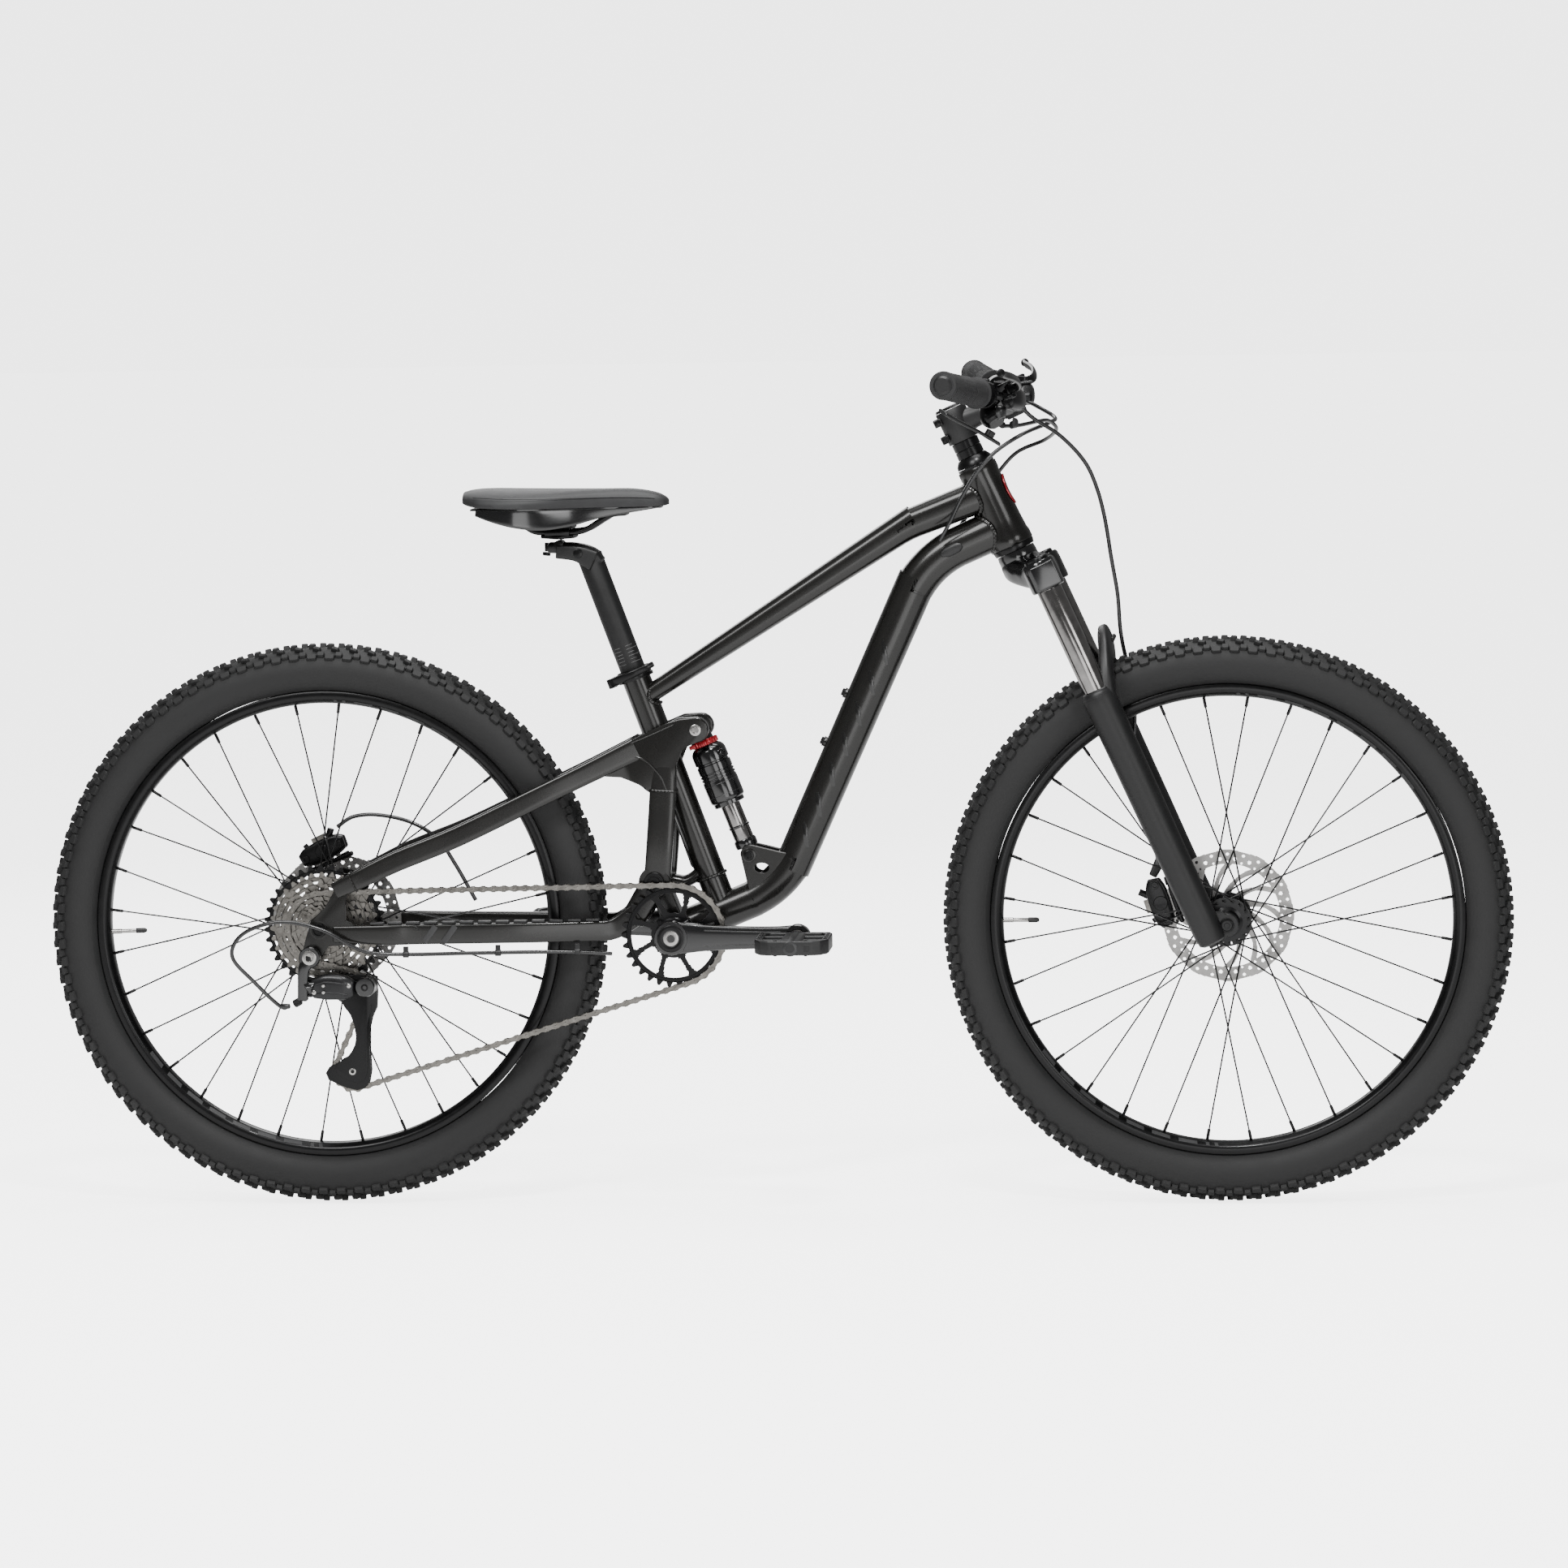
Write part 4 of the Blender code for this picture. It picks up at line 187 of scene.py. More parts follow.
def turned(profile, centre, axis=SIDE, sides=48, start=0.0, ripple=None):
    """Turn (radius, along) points about an axis; the ends close on the axis or on each other."""
    first, second = across(axis)
    axis = Vector(axis).normalized()
    bm = bmesh.new()
    loops = []
    for radius, along in profile:
        if radius == 0:
            loops.append([bm.verts.new(Vector(centre) + axis * along)])
            continue
        loops.append([])
        for k in range(sides):
            angle = start + 2 * math.pi * k / sides
            reach = radius + (ripple(angle, along) if ripple else 0.0)
            arm = first * math.cos(angle) + second * math.sin(angle)
            loops[-1].append(bm.verts.new(Vector(centre) + axis * along + arm * reach))
    pairs = list(zip(loops, loops[1:]))
    if profile[0][0] != 0 or profile[-1][0] != 0:
        pairs.append((loops[-1], loops[0]))
    for here, there in pairs:
        for k in range(sides):
            n = (k + 1) % sides
            if len(here) == 1 and len(there) == 1:
                continue
            if len(here) == 1:
                bm.faces.new((here[0], there[k], there[n]))
            elif len(there) == 1:
                bm.faces.new((here[k], here[n], there[0]))
            else:
                bm.faces.new((here[k], here[n], there[n], there[k]))
    return done(bm, "turned")


def rod(start, end, radius, end_radius=None, sides=32, edge=None):
    """A round bar with slightly rounded ends."""
    start, end = Vector(start), Vector(end)
    length = (end - start).length
    far = radius if end_radius is None else end_radius
    if edge is None:
        edge = min(radius * 0.15, length * 0.2, 0.0008)
    profile = [(0, 0), (radius - edge, 0), (radius - edge * 0.3, edge * 0.3), (radius, edge),
               (far, length - edge), (far - edge * 0.3, length - edge * 0.3), (far - edge, length),
               (0, length)]
    return turned(profile, start, end - start, sides)


def ring(start, end, outer, inner, sides=48):
    start, end = Vector(start), Vector(end)
    length = (end - start).length
    edge = min((outer - inner) * 0.3, length * 0.2, 0.0006)
    profile = [(outer - edge, 0), (outer, edge), (outer, length - edge), (outer - edge, length),
               (inner, length), (inner, 0)]
    return turned(profile, start, end - start, sides)


def section(centre, along, height, width, sides, squareness, side_axis=SIDE):
    along = Vector(along).normalized()
    side = (side_axis - along * side_axis.dot(along)).normalized()
    up = side.cross(along).normalized()
    points = []
    for k in range(sides):
        angle = 2 * math.pi * (k + 0.5) / sides
        c, s = math.cos(angle), math.sin(angle)
        a = math.copysign(abs(c) ** (2 / squareness), c)
        b = math.copysign(abs(s) ** (2 / squareness), s)
        points.append(Vector(centre) + side * a * width + up * b * height)
    return points


def skinned(rings, closed=False):
    bm = bmesh.new()
    rows = [[bm.verts.new(point) for point in loop] for loop in rings]
    spans = len(rows) if closed else len(rows) - 1
    for i in range(spans):
        here, there = rows[i], rows[(i + 1) % len(rows)]
        for k in range(len(here)):
            n = (k + 1) % len(here)
            bm.faces.new((here[k], here[n], there[n], there[k]))
    if not closed:
        bm.faces.new(rows[0])
        bm.faces.new(rows[-1])
    return done(bm, "skinned")


def smooth_rows(rows, steps):
    """Read a smooth curve through rows of numbers (any length), `steps` per span."""
    padded = [[2 * a - b for a, b in zip(rows[0], rows[1])]] + list(rows)
    padded.append([2 * a - b for a, b in zip(rows[-1], rows[-2])])
    fine = []
    for i in range(1, len(padded) - 2):
        a, b, c, d = padded[i - 1:i + 3]
        for k in range(steps):
            t = k / steps
            fine.append([0.5 * (2 * q + (r - p) * t + (2 * p - 5 * q + 4 * r - s) * t * t
                                + (3 * q - p - 3 * r + s) * t ** 3) for p, q, r, s in zip(a, b, c, d)])
    fine.append(list(rows[-1]))
    return fine


def swept(stations, sides=32, squareness=2.0, side_axis=SIDE, steps=6, round_ends=True):
    """Sweep a rounded section smoothly through (point, half height, half width) stations."""
    rows = smooth_rows([(*Vector(p), h, w) for p, h, w in stations], steps)
    points = [Vector(row[:3]) for row in rows]
    rings = []
    for i, row in enumerate(rows):
        along = points[min(i + 1, len(points) - 1)] - points[max(i - 1, 0)]
        rings.append(section(points[i], along, row[3], row[4], sides, squareness, side_axis))
    if round_ends:
        for end, inward in ((0, 1), (-1, -1)):
            along = (points[end + inward] - points[end]).normalized()
            row = rows[end]
            edge = min(row[3], row[4]) * 0.25
            heading = along * inward
            cap = section(points[end] - along * edge, heading, row[3] - edge, row[4] - edge, sides,
                          squareness, side_axis)
            rings.insert(0 if end == 0 else len(rings), cap)
    return skinned(rings)


def plate(outline, y_low, y_high, bevel=0.0012, smooth=0):
    """A flat plate from (x, z) points, with its edges rounded over."""
    if smooth:
        closed = list(outline) + [outline[0]]
        outline = [tuple(p) for p in smooth_rows(closed, smooth)[:-1]]
    bm = bmesh.new()
    low = [bm.verts.new((x, y_low, z)) for x, z in outline]
    high = [bm.verts.new((x, y_high, z)) for x, z in outline]
    bottom = bm.faces.new(low)
    top = bm.faces.new(high)
    for k in range(len(outline)):
        n = (k + 1) % len(outline)
        bm.faces.new((low[k], low[n], high[n], high[k]))
    if bevel:
        edges = list(bottom.edges) + list(top.edges)
        bmesh.ops.bevel(bm, geom=edges, offset=bevel, segments=3, affect="EDGES", profile=0.6)
    return done(bm, "plate")


def block(centre, size, tilt=0.0, bevel=0.0015, axis="Y"):
    bm = bmesh.new()
    bmesh.ops.create_cube(bm, size=1)
    bmesh.ops.scale(bm, vec=size, verts=bm.verts)
    if bevel:
        bmesh.ops.bevel(bm, geom=list(bm.edges), offset=bevel, segments=3, affect="EDGES", profile=0.6)
    bmesh.ops.rotate(bm, verts=bm.verts, matrix=Matrix.Rotation(tilt, 3, axis))
    bmesh.ops.translate(bm, vec=centre, verts=bm.verts)
    return done(bm, "block")


def polar_plate(centre, y_low, y_high, r_in, r_out, rows, sectors, keep):
    """A flat disc on a polar grid: keep(radius, angle) says where there is metal."""
    bm = bmesh.new()
    kept = set()
    for i in range(rows):
        radius = r_in + (r_out - r_in) * (i + 0.5) / rows
        for k in range(sectors):
            if keep(radius, 2 * math.pi * (k + 0.5) / sectors):
                kept.add((i, k))
    verts = {}

    def corner(i, k, y):
        key = (i, k % sectors, y)
        if key not in verts:
            radius = r_in + (r_out - r_in) * i / rows
            angle = 2 * math.pi * k / sectors
            verts[key] = bm.verts.new((centre.x + radius * math.cos(angle), y,
                                       centre.z + radius * math.sin(angle)))
        return verts[key]

    for i, k in kept:
        for y, order in ((y_low, 1), (y_high, -1)):
            quad = [corner(i, k, y), corner(i + 1, k, y), corner(i + 1, k + 1, y), corner(i, k + 1, y)]
            bm.faces.new(quad[::order])
        for (di, dk), (a, b) in (((-1, 0), ((0, 0), (0, 1))), ((1, 0), ((1, 0), (1, 1))),
                                 ((0, -1), ((0, 0), (1, 0))), ((0, 1), ((0, 1), (1, 1)))):
            if (i + di, (k + dk) % sectors) not in kept:
                bm.faces.new((corner(i + a[0], k + a[1], y_low), corner(i + b[0], k + b[1], y_low),
                              corner(i + b[0], k + b[1], y_high), corner(i + a[0], k + a[1], y_high)))
    return done(bm, "polar")


def bent_path(corners, bend_radius, arc_points=9):
    corners = [Vector(c) for c in corners]
    path = [corners[0]]
    for before, here, after in zip(corners, corners[1:], corners[2:]):
        toward = (before - here).normalized()
        away = (after - here).normalized()
        turn = math.pi - toward.angle(away)
        reach = bend_radius * math.tan(turn / 2)
        centre = here + (toward + away).normalized() * (bend_radius / math.cos(turn / 2))
        start, end = here + toward * reach - centre, here + away * reach - centre
        for k in range(arc_points):
            path.append(centre + start.slerp(end, k / (arc_points - 1)).normalized() * start.length)
    path.append(corners[-1])
    return path


def graded(path, start, end):
    lengths = [0.0]
    for a, b in zip(path, path[1:]):
        lengths.append(lengths[-1] + (b - a).length)
    return [(point, start[0] + (end[0] - start[0]) * length / lengths[-1],
             start[1] + (end[1] - start[1]) * length / lengths[-1]) for point, length in zip(path, lengths)]


def wire(points, radius, steps=8, sides=12):
    return swept([(Vector(p), radius, radius) for p in points], sides, 2.0, Vector((0.13, 0.31, 0.94)), steps)


def weld(points, radius=0.0021, pitch=0.0042):
    """A ribbed weld bead along a closed loop of points."""
    points = [Vector(p) for p in points]
    lengths = [0.0]
    for a, b in zip(points, points[1:] + points[:1]):
        lengths.append(lengths[-1] + (b - a).length)
    count = max(12, int(lengths[-1] / pitch)) * 5
    rings = []
    total = lengths[-1]
    middle = sum(points, Vector()) / len(points)

    def at(distance):
        distance %= total
        for i in range(len(points)):
            if distance <= lengths[i + 1]:
                t = (distance - lengths[i]) / max(lengths[i + 1] - lengths[i], 1e-9)
                return points[i].lerp(points[(i + 1) % len(points)], t)
        return points[0]

    for k in range(count):
        here = at(total * k / count)
        along = (at(total * k / count + 0.0005) - at(total * k / count - 0.0005)).normalized()
        thick = radius * (0.84 + 0.22 * abs(math.sin(math.pi * k / 5)))
        rings.append(section(here, along, thick, thick, 8, 2.0, (here - middle).normalized()))
    return skinned(rings, closed=True)


def meet(path_start, direction, radii, inside, side_axis=SIDE, squareness=2.0, sides=40):
    """Where a tube that starts at path_start and runs along direction comes out of another solid."""
    loop = []
    for point in section(path_start, direction, radii[0], radii[1], sides, squareness, side_axis):
        travelled = 0.0
        while inside(point + direction * travelled) and travelled < 0.12:
            travelled += 0.0005
        loop.append(point + direction * travelled)
    return loop


def in_tube(start, end, radius):
    start, end = Vector(start), Vector(end)
    axis = (end - start).normalized()

    def test(point):
        offset = point - start
        return (offset - axis * offset.dot(axis)).length < radius
    return test


def hex_bolt(centre, axis, radius, height, depth=None):
    """A socket-head bolt: a round head with a six-sided recess."""
    centre, axis = Vector(centre), Vector(axis).normalized()
    socket = radius * 0.55
    depth = height * 0.6 if depth is None else depth
    head = turned([(radius * 0.7, 0), (radius, radius * 0.04), (radius, height * 0.85),
                   (radius * 0.88, height), (socket * 1.05, height), (socket * 1.05, 0.0)], centre, axis, 32)
    walls = turned([(socket * 1.06, height - 0.0001), (socket, height - 0.0002), (socket, height - depth),
                    (0, height - depth), (0, height - depth - 0.0003),
                    (socket * 1.06, height - depth - 0.0003)],
                   centre, axis, 6)
    return [head, walls]


def joined(meshes):
    bm = bmesh.new()
    for mesh in meshes:
        bm.from_mesh(mesh)
    mesh = bpy.data.meshes.new("joined")
    bm.to_mesh(mesh)
    bm.free()
    return mesh


def piece(name, meshes, material, body, replaced=(), angle=38):
    """Join meshes into one shown object that rides on a body."""
    mesh = joined(meshes)
    mesh.materials.append(material)
    mesh.shade_smooth()
    mesh.set_sharp_from_angle(angle=math.radians(angle))
    thing = bpy.data.objects.new(name, mesh)
    bpy.context.scene.collection.objects.link(thing)
    if body:
        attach(thing, body)
    if replaced:
        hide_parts(*replaced)
    return thing


# ---------------------------------------------------------------- front frame
HEAD_HALF = 0.0515
KNEE_TOP = CRANK + Vector((0.3051, 0, 0.444))
KNEE_LOW = CRANK + Vector((0.1298, 0, 0.0538))
TOP_KNEE = CRANK + Vector((0.2835, 0, 0.488))


def make_front_frame():
    down_path = bent_path([steer(-0.0262), KNEE_TOP, KNEE_LOW, CRANK], 0.12, 12)
    down = swept(graded(down_path, (0.0242, 0.0222), (0.0218, 0.0218)), 48, 2.25, steps=2)
    top_path = bent_path([seat(0.010), TOP_KNEE, steer(0.0175)], 0.15, 10)
    top = swept(graded(top_path, (0.0112, 0.0153), (0.0202, 0.0212)), 48, 2.8, steps=3)
    seat_tube = ring(seat(-0.252), seat(0.0465), 0.0174, 0.0158, 64)
    head = turned([(0.0190, -HEAD_HALF), (0.0256, -HEAD_HALF), (0.0262, -HEAD_HALF + 0.0012),
                   (0.0262, -HEAD_HALF + 0.010), (0.0250, -HEAD_HALF + 0.014), (0.0240, -0.020),
                   (0.0234, 0.010), (0.0234, HEAD_HALF - 0.012), (0.0240, HEAD_HALF - 0.009),
                   (0.0240, HEAD_HALF - 0.001), (0.0234, HEAD_HALF), (0.0190, HEAD_HALF)], HEAD, steer.up, 64)
    shell = turned([(0.0160, -0.0365), (0.0208, -0.0365), (0.0215, -0.0358), (0.0215, 0.0358),
                    (0.0208, 0.0365), (0.0160, 0.0365)], CRANK, sides=64)
    lug = rod(PIVOT - SIDE * 0.0235, PIVOT + SIDE * 0.0235, 0.0190, sides=64)

    def at(x, z):
        return CRANK + Vector((x, 0, z))
    web = plate([(at(x, z).x, at(x, z).z) for x, z in ((0.005, 0.165), (-0.0055, 0.146), (0.0175, 0.079),
                                                      (0.030, 0.067), (0.040, 0.090))], -0.007, 0.007, 0.002)
    bar = swept([(at(x, z), 0.0073, 0.0118) for x, z in ((0.036, 0.085), (0.0255, 0.069), (0.011, 0.0605),
                                                        (-0.004, 0.062))] + [(PIVOT, 0.0073, 0.0118)], 32,
                                                        2.2)
    low = [at(-0.014, 0.0), at(0.014, 0.0), PIVOT + Vector((0.013, 0, 0)), PIVOT + Vector((-0.013, 0, 0))]
    pivot_web = plate([(p.x, p.z) for p in low], -0.016, 0.016, 0.002)
    meshes = [down, top, seat_tube, head, shell, lug, web, bar, pivot_web]
    ear = [at(x, z) for x, z in ((0.0785, 0.096), (0.083, 0.104), (0.0915, 0.106), (0.128, 0.097),
                                 (0.145, 0.094), (0.118, 0.052), (0.090, 0.043), (0.0845, 0.069))]
    window = at(0.1045, 0.0775)
    for side in (-1, 1):
        meshes += eared_plate([(p.x, p.z) for p in ear], window, sorted((side * 0.0140, side * 0.0190)))
        meshes.append(rod(SHOCK_FOOT + SIDE * side * 0.0180, SHOCK_FOOT + SIDE * side * 0.0202, 0.0085))
    run = (KNEE_TOP - KNEE_LOW).normalized()
    outward = Vector((-run.z, 0, run.x))
    bosses = [KNEE_LOW + run * along + outward * 0.0255 for along in (0.2445, 0.1805)]
    meshes += [rod(p - outward * 0.008, p, 0.0062) for p in bosses]
    meshes.append(weld(meet(seat(0.006), (TOP_KNEE - seat(0.010)).normalized(), (0.0115, 0.0158),
                            in_tube(seat(-0.2), seat(0.1), 0.0178), squareness=2.8)))
    meshes.append(weld(meet(steer(0.0160, -0.012), (TOP_KNEE - steer(0.0175)).normalized(), (0.0204, 0.0214),
                            in_tube(steer(-0.1), steer(0.1), 0.0243), squareness=2.8), 0.0024, 0.0048))
    meshes.append(weld(meet(steer(-0.0262, -0.006), (KNEE_TOP - steer(-0.0262)).normalized(),
                            (0.0243, 0.0224), in_tube(steer(-0.1), steer(0.1), 0.0252), squareness=2.25),
                            0.0026, 0.0050))
    meshes.append(weld(meet(seat(-0.2200), (seat(0) - seat(-0.2)).normalized() * -1, (0.0178, 0.0178),
                            lambda p: False)))
    meshes.append(weld(meet(CRANK, (down_path[-2] - CRANK).normalized(), (0.0220, 0.0220),
                            in_tube(CRANK - SIDE, CRANK + SIDE, 0.0218), squareness=2.25), 0.0022))
    piece("front_frame_tubes", meshes, PAINT, "frame", ["front_frame"])

    bolts = []
    for point in bosses:
        bolts += hex_bolt(point, outward, 0.0046, 0.0040)
        bolts.append(rod(point - outward * 0.0002, point + outward * 0.0010, 0.0064))
    for side in (-1, 1):
        bolts += hex_bolt(SHOCK_FOOT + SIDE * side * 0.0200, SIDE * side, 0.0062, 0.0028)
    piece("frame_bolts", bolts, BLACK, "frame", [])

    run_top = (KNEE_TOP - steer(-0.0262)).normalized()
    port = steer(-0.0262) + run_top * 0.068
    rim = []
    for side in (-1, 1):
        centre = port + SIDE * side * 0.0208
        rim.append(swept([(centre - run_top * 0.0135, 0.0035, 0.0030),
                          (centre - run_top * 0.008, 0.0062, 0.0038),
                          (centre + run_top * 0.004, 0.0066, 0.0040),
                          (centre + run_top * 0.0125, 0.0040, 0.0030)],
                         20, 2.4))
    piece("cable_ports", rim, PLASTIC, "frame", [])
    slashes = []
    for k in range(7):
        for side in (-1, 1):
            centre = KNEE_LOW + run * (0.070 + 0.040 * k)
            slashes.append(swept([(centre - run * 0.013 - outward * 0.007 + SIDE * side * 0.0208, 0.0030,
                                   0.0006),
                                  (centre + SIDE * side * 0.02235, 0.0030, 0.0006),
                                  (centre + run * 0.013 + outward * 0.007 + SIDE * side * 0.0208, 0.0030,
                                   0.0006)],
                                 12, 3.0))
    piece("down_tube_slashes", slashes, PAINT_GLOSS, "frame", [])
    badge = []
    for k in range(32):
        angle = 2 * math.pi * k / 32
        turn = math.sin(angle) * 0.42
        height = 0.018 * math.cos(angle) + 0.012
        radius = 0.0243
        badge.append(steer(height, radius * math.cos(turn), radius * math.sin(turn)))
    loop = [section(p, badge[(k + 1) % 32] - badge[k - 1], 0.0016, 0.0012, 8, 2.0, steer.forward)
            for k, p in enumerate(badge)]
    piece("head_badge_ring", [skinned(loop, closed=True)], RED, "frame", [])


def eared_plate(outline, window, y_range, hole=0.0062):
    """A plate with one oval window, made from two halves that meet round it."""
    low, high = y_range
    frame_points = [Vector((x, 0, z)) for x, z in outline]
    rings = []
    count = 64
    for radius_kind in ("hole", "edge"):
        loop = []
        for k in range(count):
            angle = 2 * math.pi * k / count
            direction = Vector((math.cos(angle), 0, math.sin(angle)))
            if radius_kind == "hole":
                loop.append(window + Vector((direction.x * hole * 1.5, 0, direction.z * hole)))
                continue
            best = 0.004
            for a, b in zip(frame_points, frame_points[1:] + frame_points[:1]):
                edge = b - a
                cross = direction.x * edge.z - direction.z * edge.x
                if abs(cross) < 1e-12:
                    continue
                offset = a - window
                t = (offset.x * edge.z - offset.z * edge.x) / cross
                u = (offset.x * direction.z - offset.z * direction.x) / cross
                if t > 0 and -1e-6 <= u <= 1 + 1e-6:
                    best = max(best, t)
            loop.append(window + direction * best)
        rings.append(loop)
    edge = 0.0010
    inner, outer = rings
    middle = window

    def moved(loop, y, shrink):
        return [Vector((p.x + (middle.x - p.x) * shrink, y, p.z + (middle.z - p.z) * shrink)) for p in loop]
    rows = [moved(inner, low, 0), moved(outer, low, 0.04), moved(outer, low + edge, 0),
            moved(outer, high - edge, 0), moved(outer, high, 0.04), moved(inner, high, 0)]
    return [closed_band(rows)]


def closed_band(rows):
    bm = bmesh.new()
    verts = [[bm.verts.new(p) for p in row] for row in rows]
    for i in range(len(verts)):
        here, there = verts[i], verts[(i + 1) % len(verts)]
        for k in range(len(here)):
            n = (k + 1) % len(here)
            bm.faces.new((here[k], here[n], there[n], there[k]))
    return done(bm, "band")


def make_fittings():
    upper = turned([(0.0150, HEAD_HALF + 0.0002), (0.0226, HEAD_HALF + 0.0002), (0.0228, HEAD_HALF + 0.0030),
                    (0.0150, HEAD_HALF + 0.0030)], HEAD, steer.up, 64)
    piece("headset_upper_cup", [upper], BLACK, "frame", ["headset_upper_bearing"])
    lower = turned([(0.0150, -HEAD_HALF), (0.0254, -HEAD_HALF - 0.0003), (0.0258, -HEAD_HALF - 0.0015),
                    (0.0246, -HEAD_HALF - 0.0068), (0.0150, -HEAD_HALF - 0.0070)], HEAD, steer.up, 64)
    piece("headset_lower_cup", [lower], BLACK, "frame", ["headset_lower_bearing"])

    def notches(angle, along):
        return -0.0012 if math.cos(angle * 16) > 0.55 else 0.0
    cups = []
    for side in (-1, 1):
        cups.append(turned([(0.0127, 0), (0.0206, 0), (0.0208, 0.0010), (0.0208, 0.0062), (0.0196, 0.0076),
                            (0.0127, 0.0078)], CRANK + SIDE * side * 0.0366, SIDE * side, 128, 0, notches))
    sleeve = rod(CRANK - SIDE * 0.0366, CRANK + SIDE * 0.0366, 0.0158)
    piece("bottom_bracket_cups", cups + [sleeve], BLACK, "frame", ["bottom_bracket"])

    caps = [rod(PIVOT - SIDE * 0.040, PIVOT + SIDE * 0.040, 0.0074)]
    for side in (-1, 1):
        caps.append(turned([(0, 0.0012), (0.0040, 0.0012), (0.0042, 0.0026), (0.0066, 0.0026),
                            (0.0070, 0.0016), (0.0082, 0.0016), (0.0086, 0.0034), (0.0118, 0.0034),
                            (0.0125, 0.0026), (0.0125, 0), (0, 0)], PIVOT + SIDE * side * 0.0412, SIDE * side,
                            64))
    piece("pivot_axle_caps", caps, BLACK, "frame", ["main_pivot_axle"])


def make_seat_clamp():
    low, high, outer = 0.0345, 0.0470, 0.0219
    middle = (low + high) / 2
    collar = turned([(0.0177, low), (outer - 0.0004, low), (outer, low + 0.0008), (outer, low + 0.0040),
                     (outer - 0.0010, low + 0.0048), (outer - 0.0010, high - 0.0048), (outer, high - 0.0040),
                     (outer, high - 0.0008), (outer - 0.0004, high), (0.0177, high)], SEAT_POINT, seat.up, 64)
    lip = turned([(0.0158, high), (0.0195, high), (0.0200, high - 0.0010), (0.0195, high + 0.0012),
                  (0.0158, high + 0.0012)], SEAT_POINT, seat.up, 64)
    ears = [swept([(seat(middle, -0.0255, y0), 0.0056, 0.0058), (seat(middle, -0.0255, y1), 0.0056, 0.0058)],
                  24, 4.0, seat.forward) for y0, y1 in ((-0.0080, -0.0015), (0.0015, 0.0105))]
    nut = turned([(0, 0), (0.0052, 0), (0.0056, 0.0010), (0.0056, 0.0050), (0.0030, 0.0062), (0, 0.0062)],
                 seat(middle, -0.0255, 0.0105), SIDE, 32)
    piece("seat_collar", [collar, lip, nut] + ears, BLACK, "frame", ["seat_clamp_collar"])

    pivot = seat(middle, -0.0275, -0.0150)
    barrel = rod(pivot - seat.up * 0.0058, pivot + seat.up * 0.0058, 0.0055)
    route = [(-0.0275, -0.0190), (-0.018, -0.0265), (0.0, -0.0300), (0.018, -0.0275), (0.028, -0.0225)]
    blade = swept([(seat(middle + 0.0012 * k, ahead, side), 0.0054 - 0.0005 * k, 0.0024)
                   for k, (ahead, side) in enumerate(route)], 24, 2.8, SIDE, 8)
    piece("clamp_lever_blade", [barrel, blade], BLACK, "clamp_lever", ["seat_clamp_lever"])


# ---------------------------------------------------------------- seatpost and saddle
POST_TOP = 0.199


def on_saddle(x, z, y=0.0):
    return seat(POST_TOP) + Vector((x, y, z))


def make_seatpost():
    post = rod(seat(-0.065), seat(POST_TOP - 0.004), 0.01545, sides=64)
    head = swept([(on_saddle(0.0125, -0.013), 0.0095, 0.0138), (on_saddle(0.004, -0.003), 0.0092, 0.0150),
                  (on_saddle(-0.014, 0.0035), 0.0078, 0.0160), (on_saddle(-0.034, 0.0050), 0.0070, 0.0165),
                  (on_saddle(-0.046, 0.0055), 0.0066, 0.0165)], 40, 3.0)
    cheeks = [swept([(on_saddle(0.0080, -0.0100, y), 0.0120, 0.0028),
                     (on_saddle(-0.012, -0.0015, y), 0.0095, 0.0030),
                     (on_saddle(-0.036, 0.0010, y), 0.0080, 0.0030)], 24, 3.0) for y in (-0.0155, 0.0155)]
    cradle = rod(on_saddle(-0.034, 0.0085, -0.0165), on_saddle(-0.034, 0.0085, 0.0165), 0.0060)
    pin = rod(on_saddle(-0.010, -0.0010, -0.0192), on_saddle(-0.010, -0.0010, 0.0192), 0.0058)
    bolt_rear = hex_bolt(on_saddle(-0.050, 0.000), Vector((-0.15, 0, -1)), 0.0048, 0.0042)
    piece("seatpost_tube", [post, head] + cheeks, MATT, "seatpost_body", ["seatpost"])
    shank = rod(on_saddle(-0.050, 0.001), on_saddle(-0.050, 0.0115), 0.0025)
    piece("seatpost_bolts", bolt_rear + [shank, cradle, pin], BLACK, "seatpost_body", [])
    ticks = []
    for k in range(6):
        for side in (-1, 1):
            centre = seat(0.056 + 0.0042 * k)
            a0 = 0.22 * side
            reach = 0.016 if k % 2 == 0 else 0.009
            points = [centre + SIDE * -0.01548 * math.cos(a) + seat.forward * 0.01548 * math.sin(a)
                      for a in [a0 + side * reach / 0.0155 * 0.25 * i for i in range(5)]]
            ticks.append(wire(points, 0.00016, 2, 6))
    piece("height_marks", ticks, MARK, "seatpost_body", [])


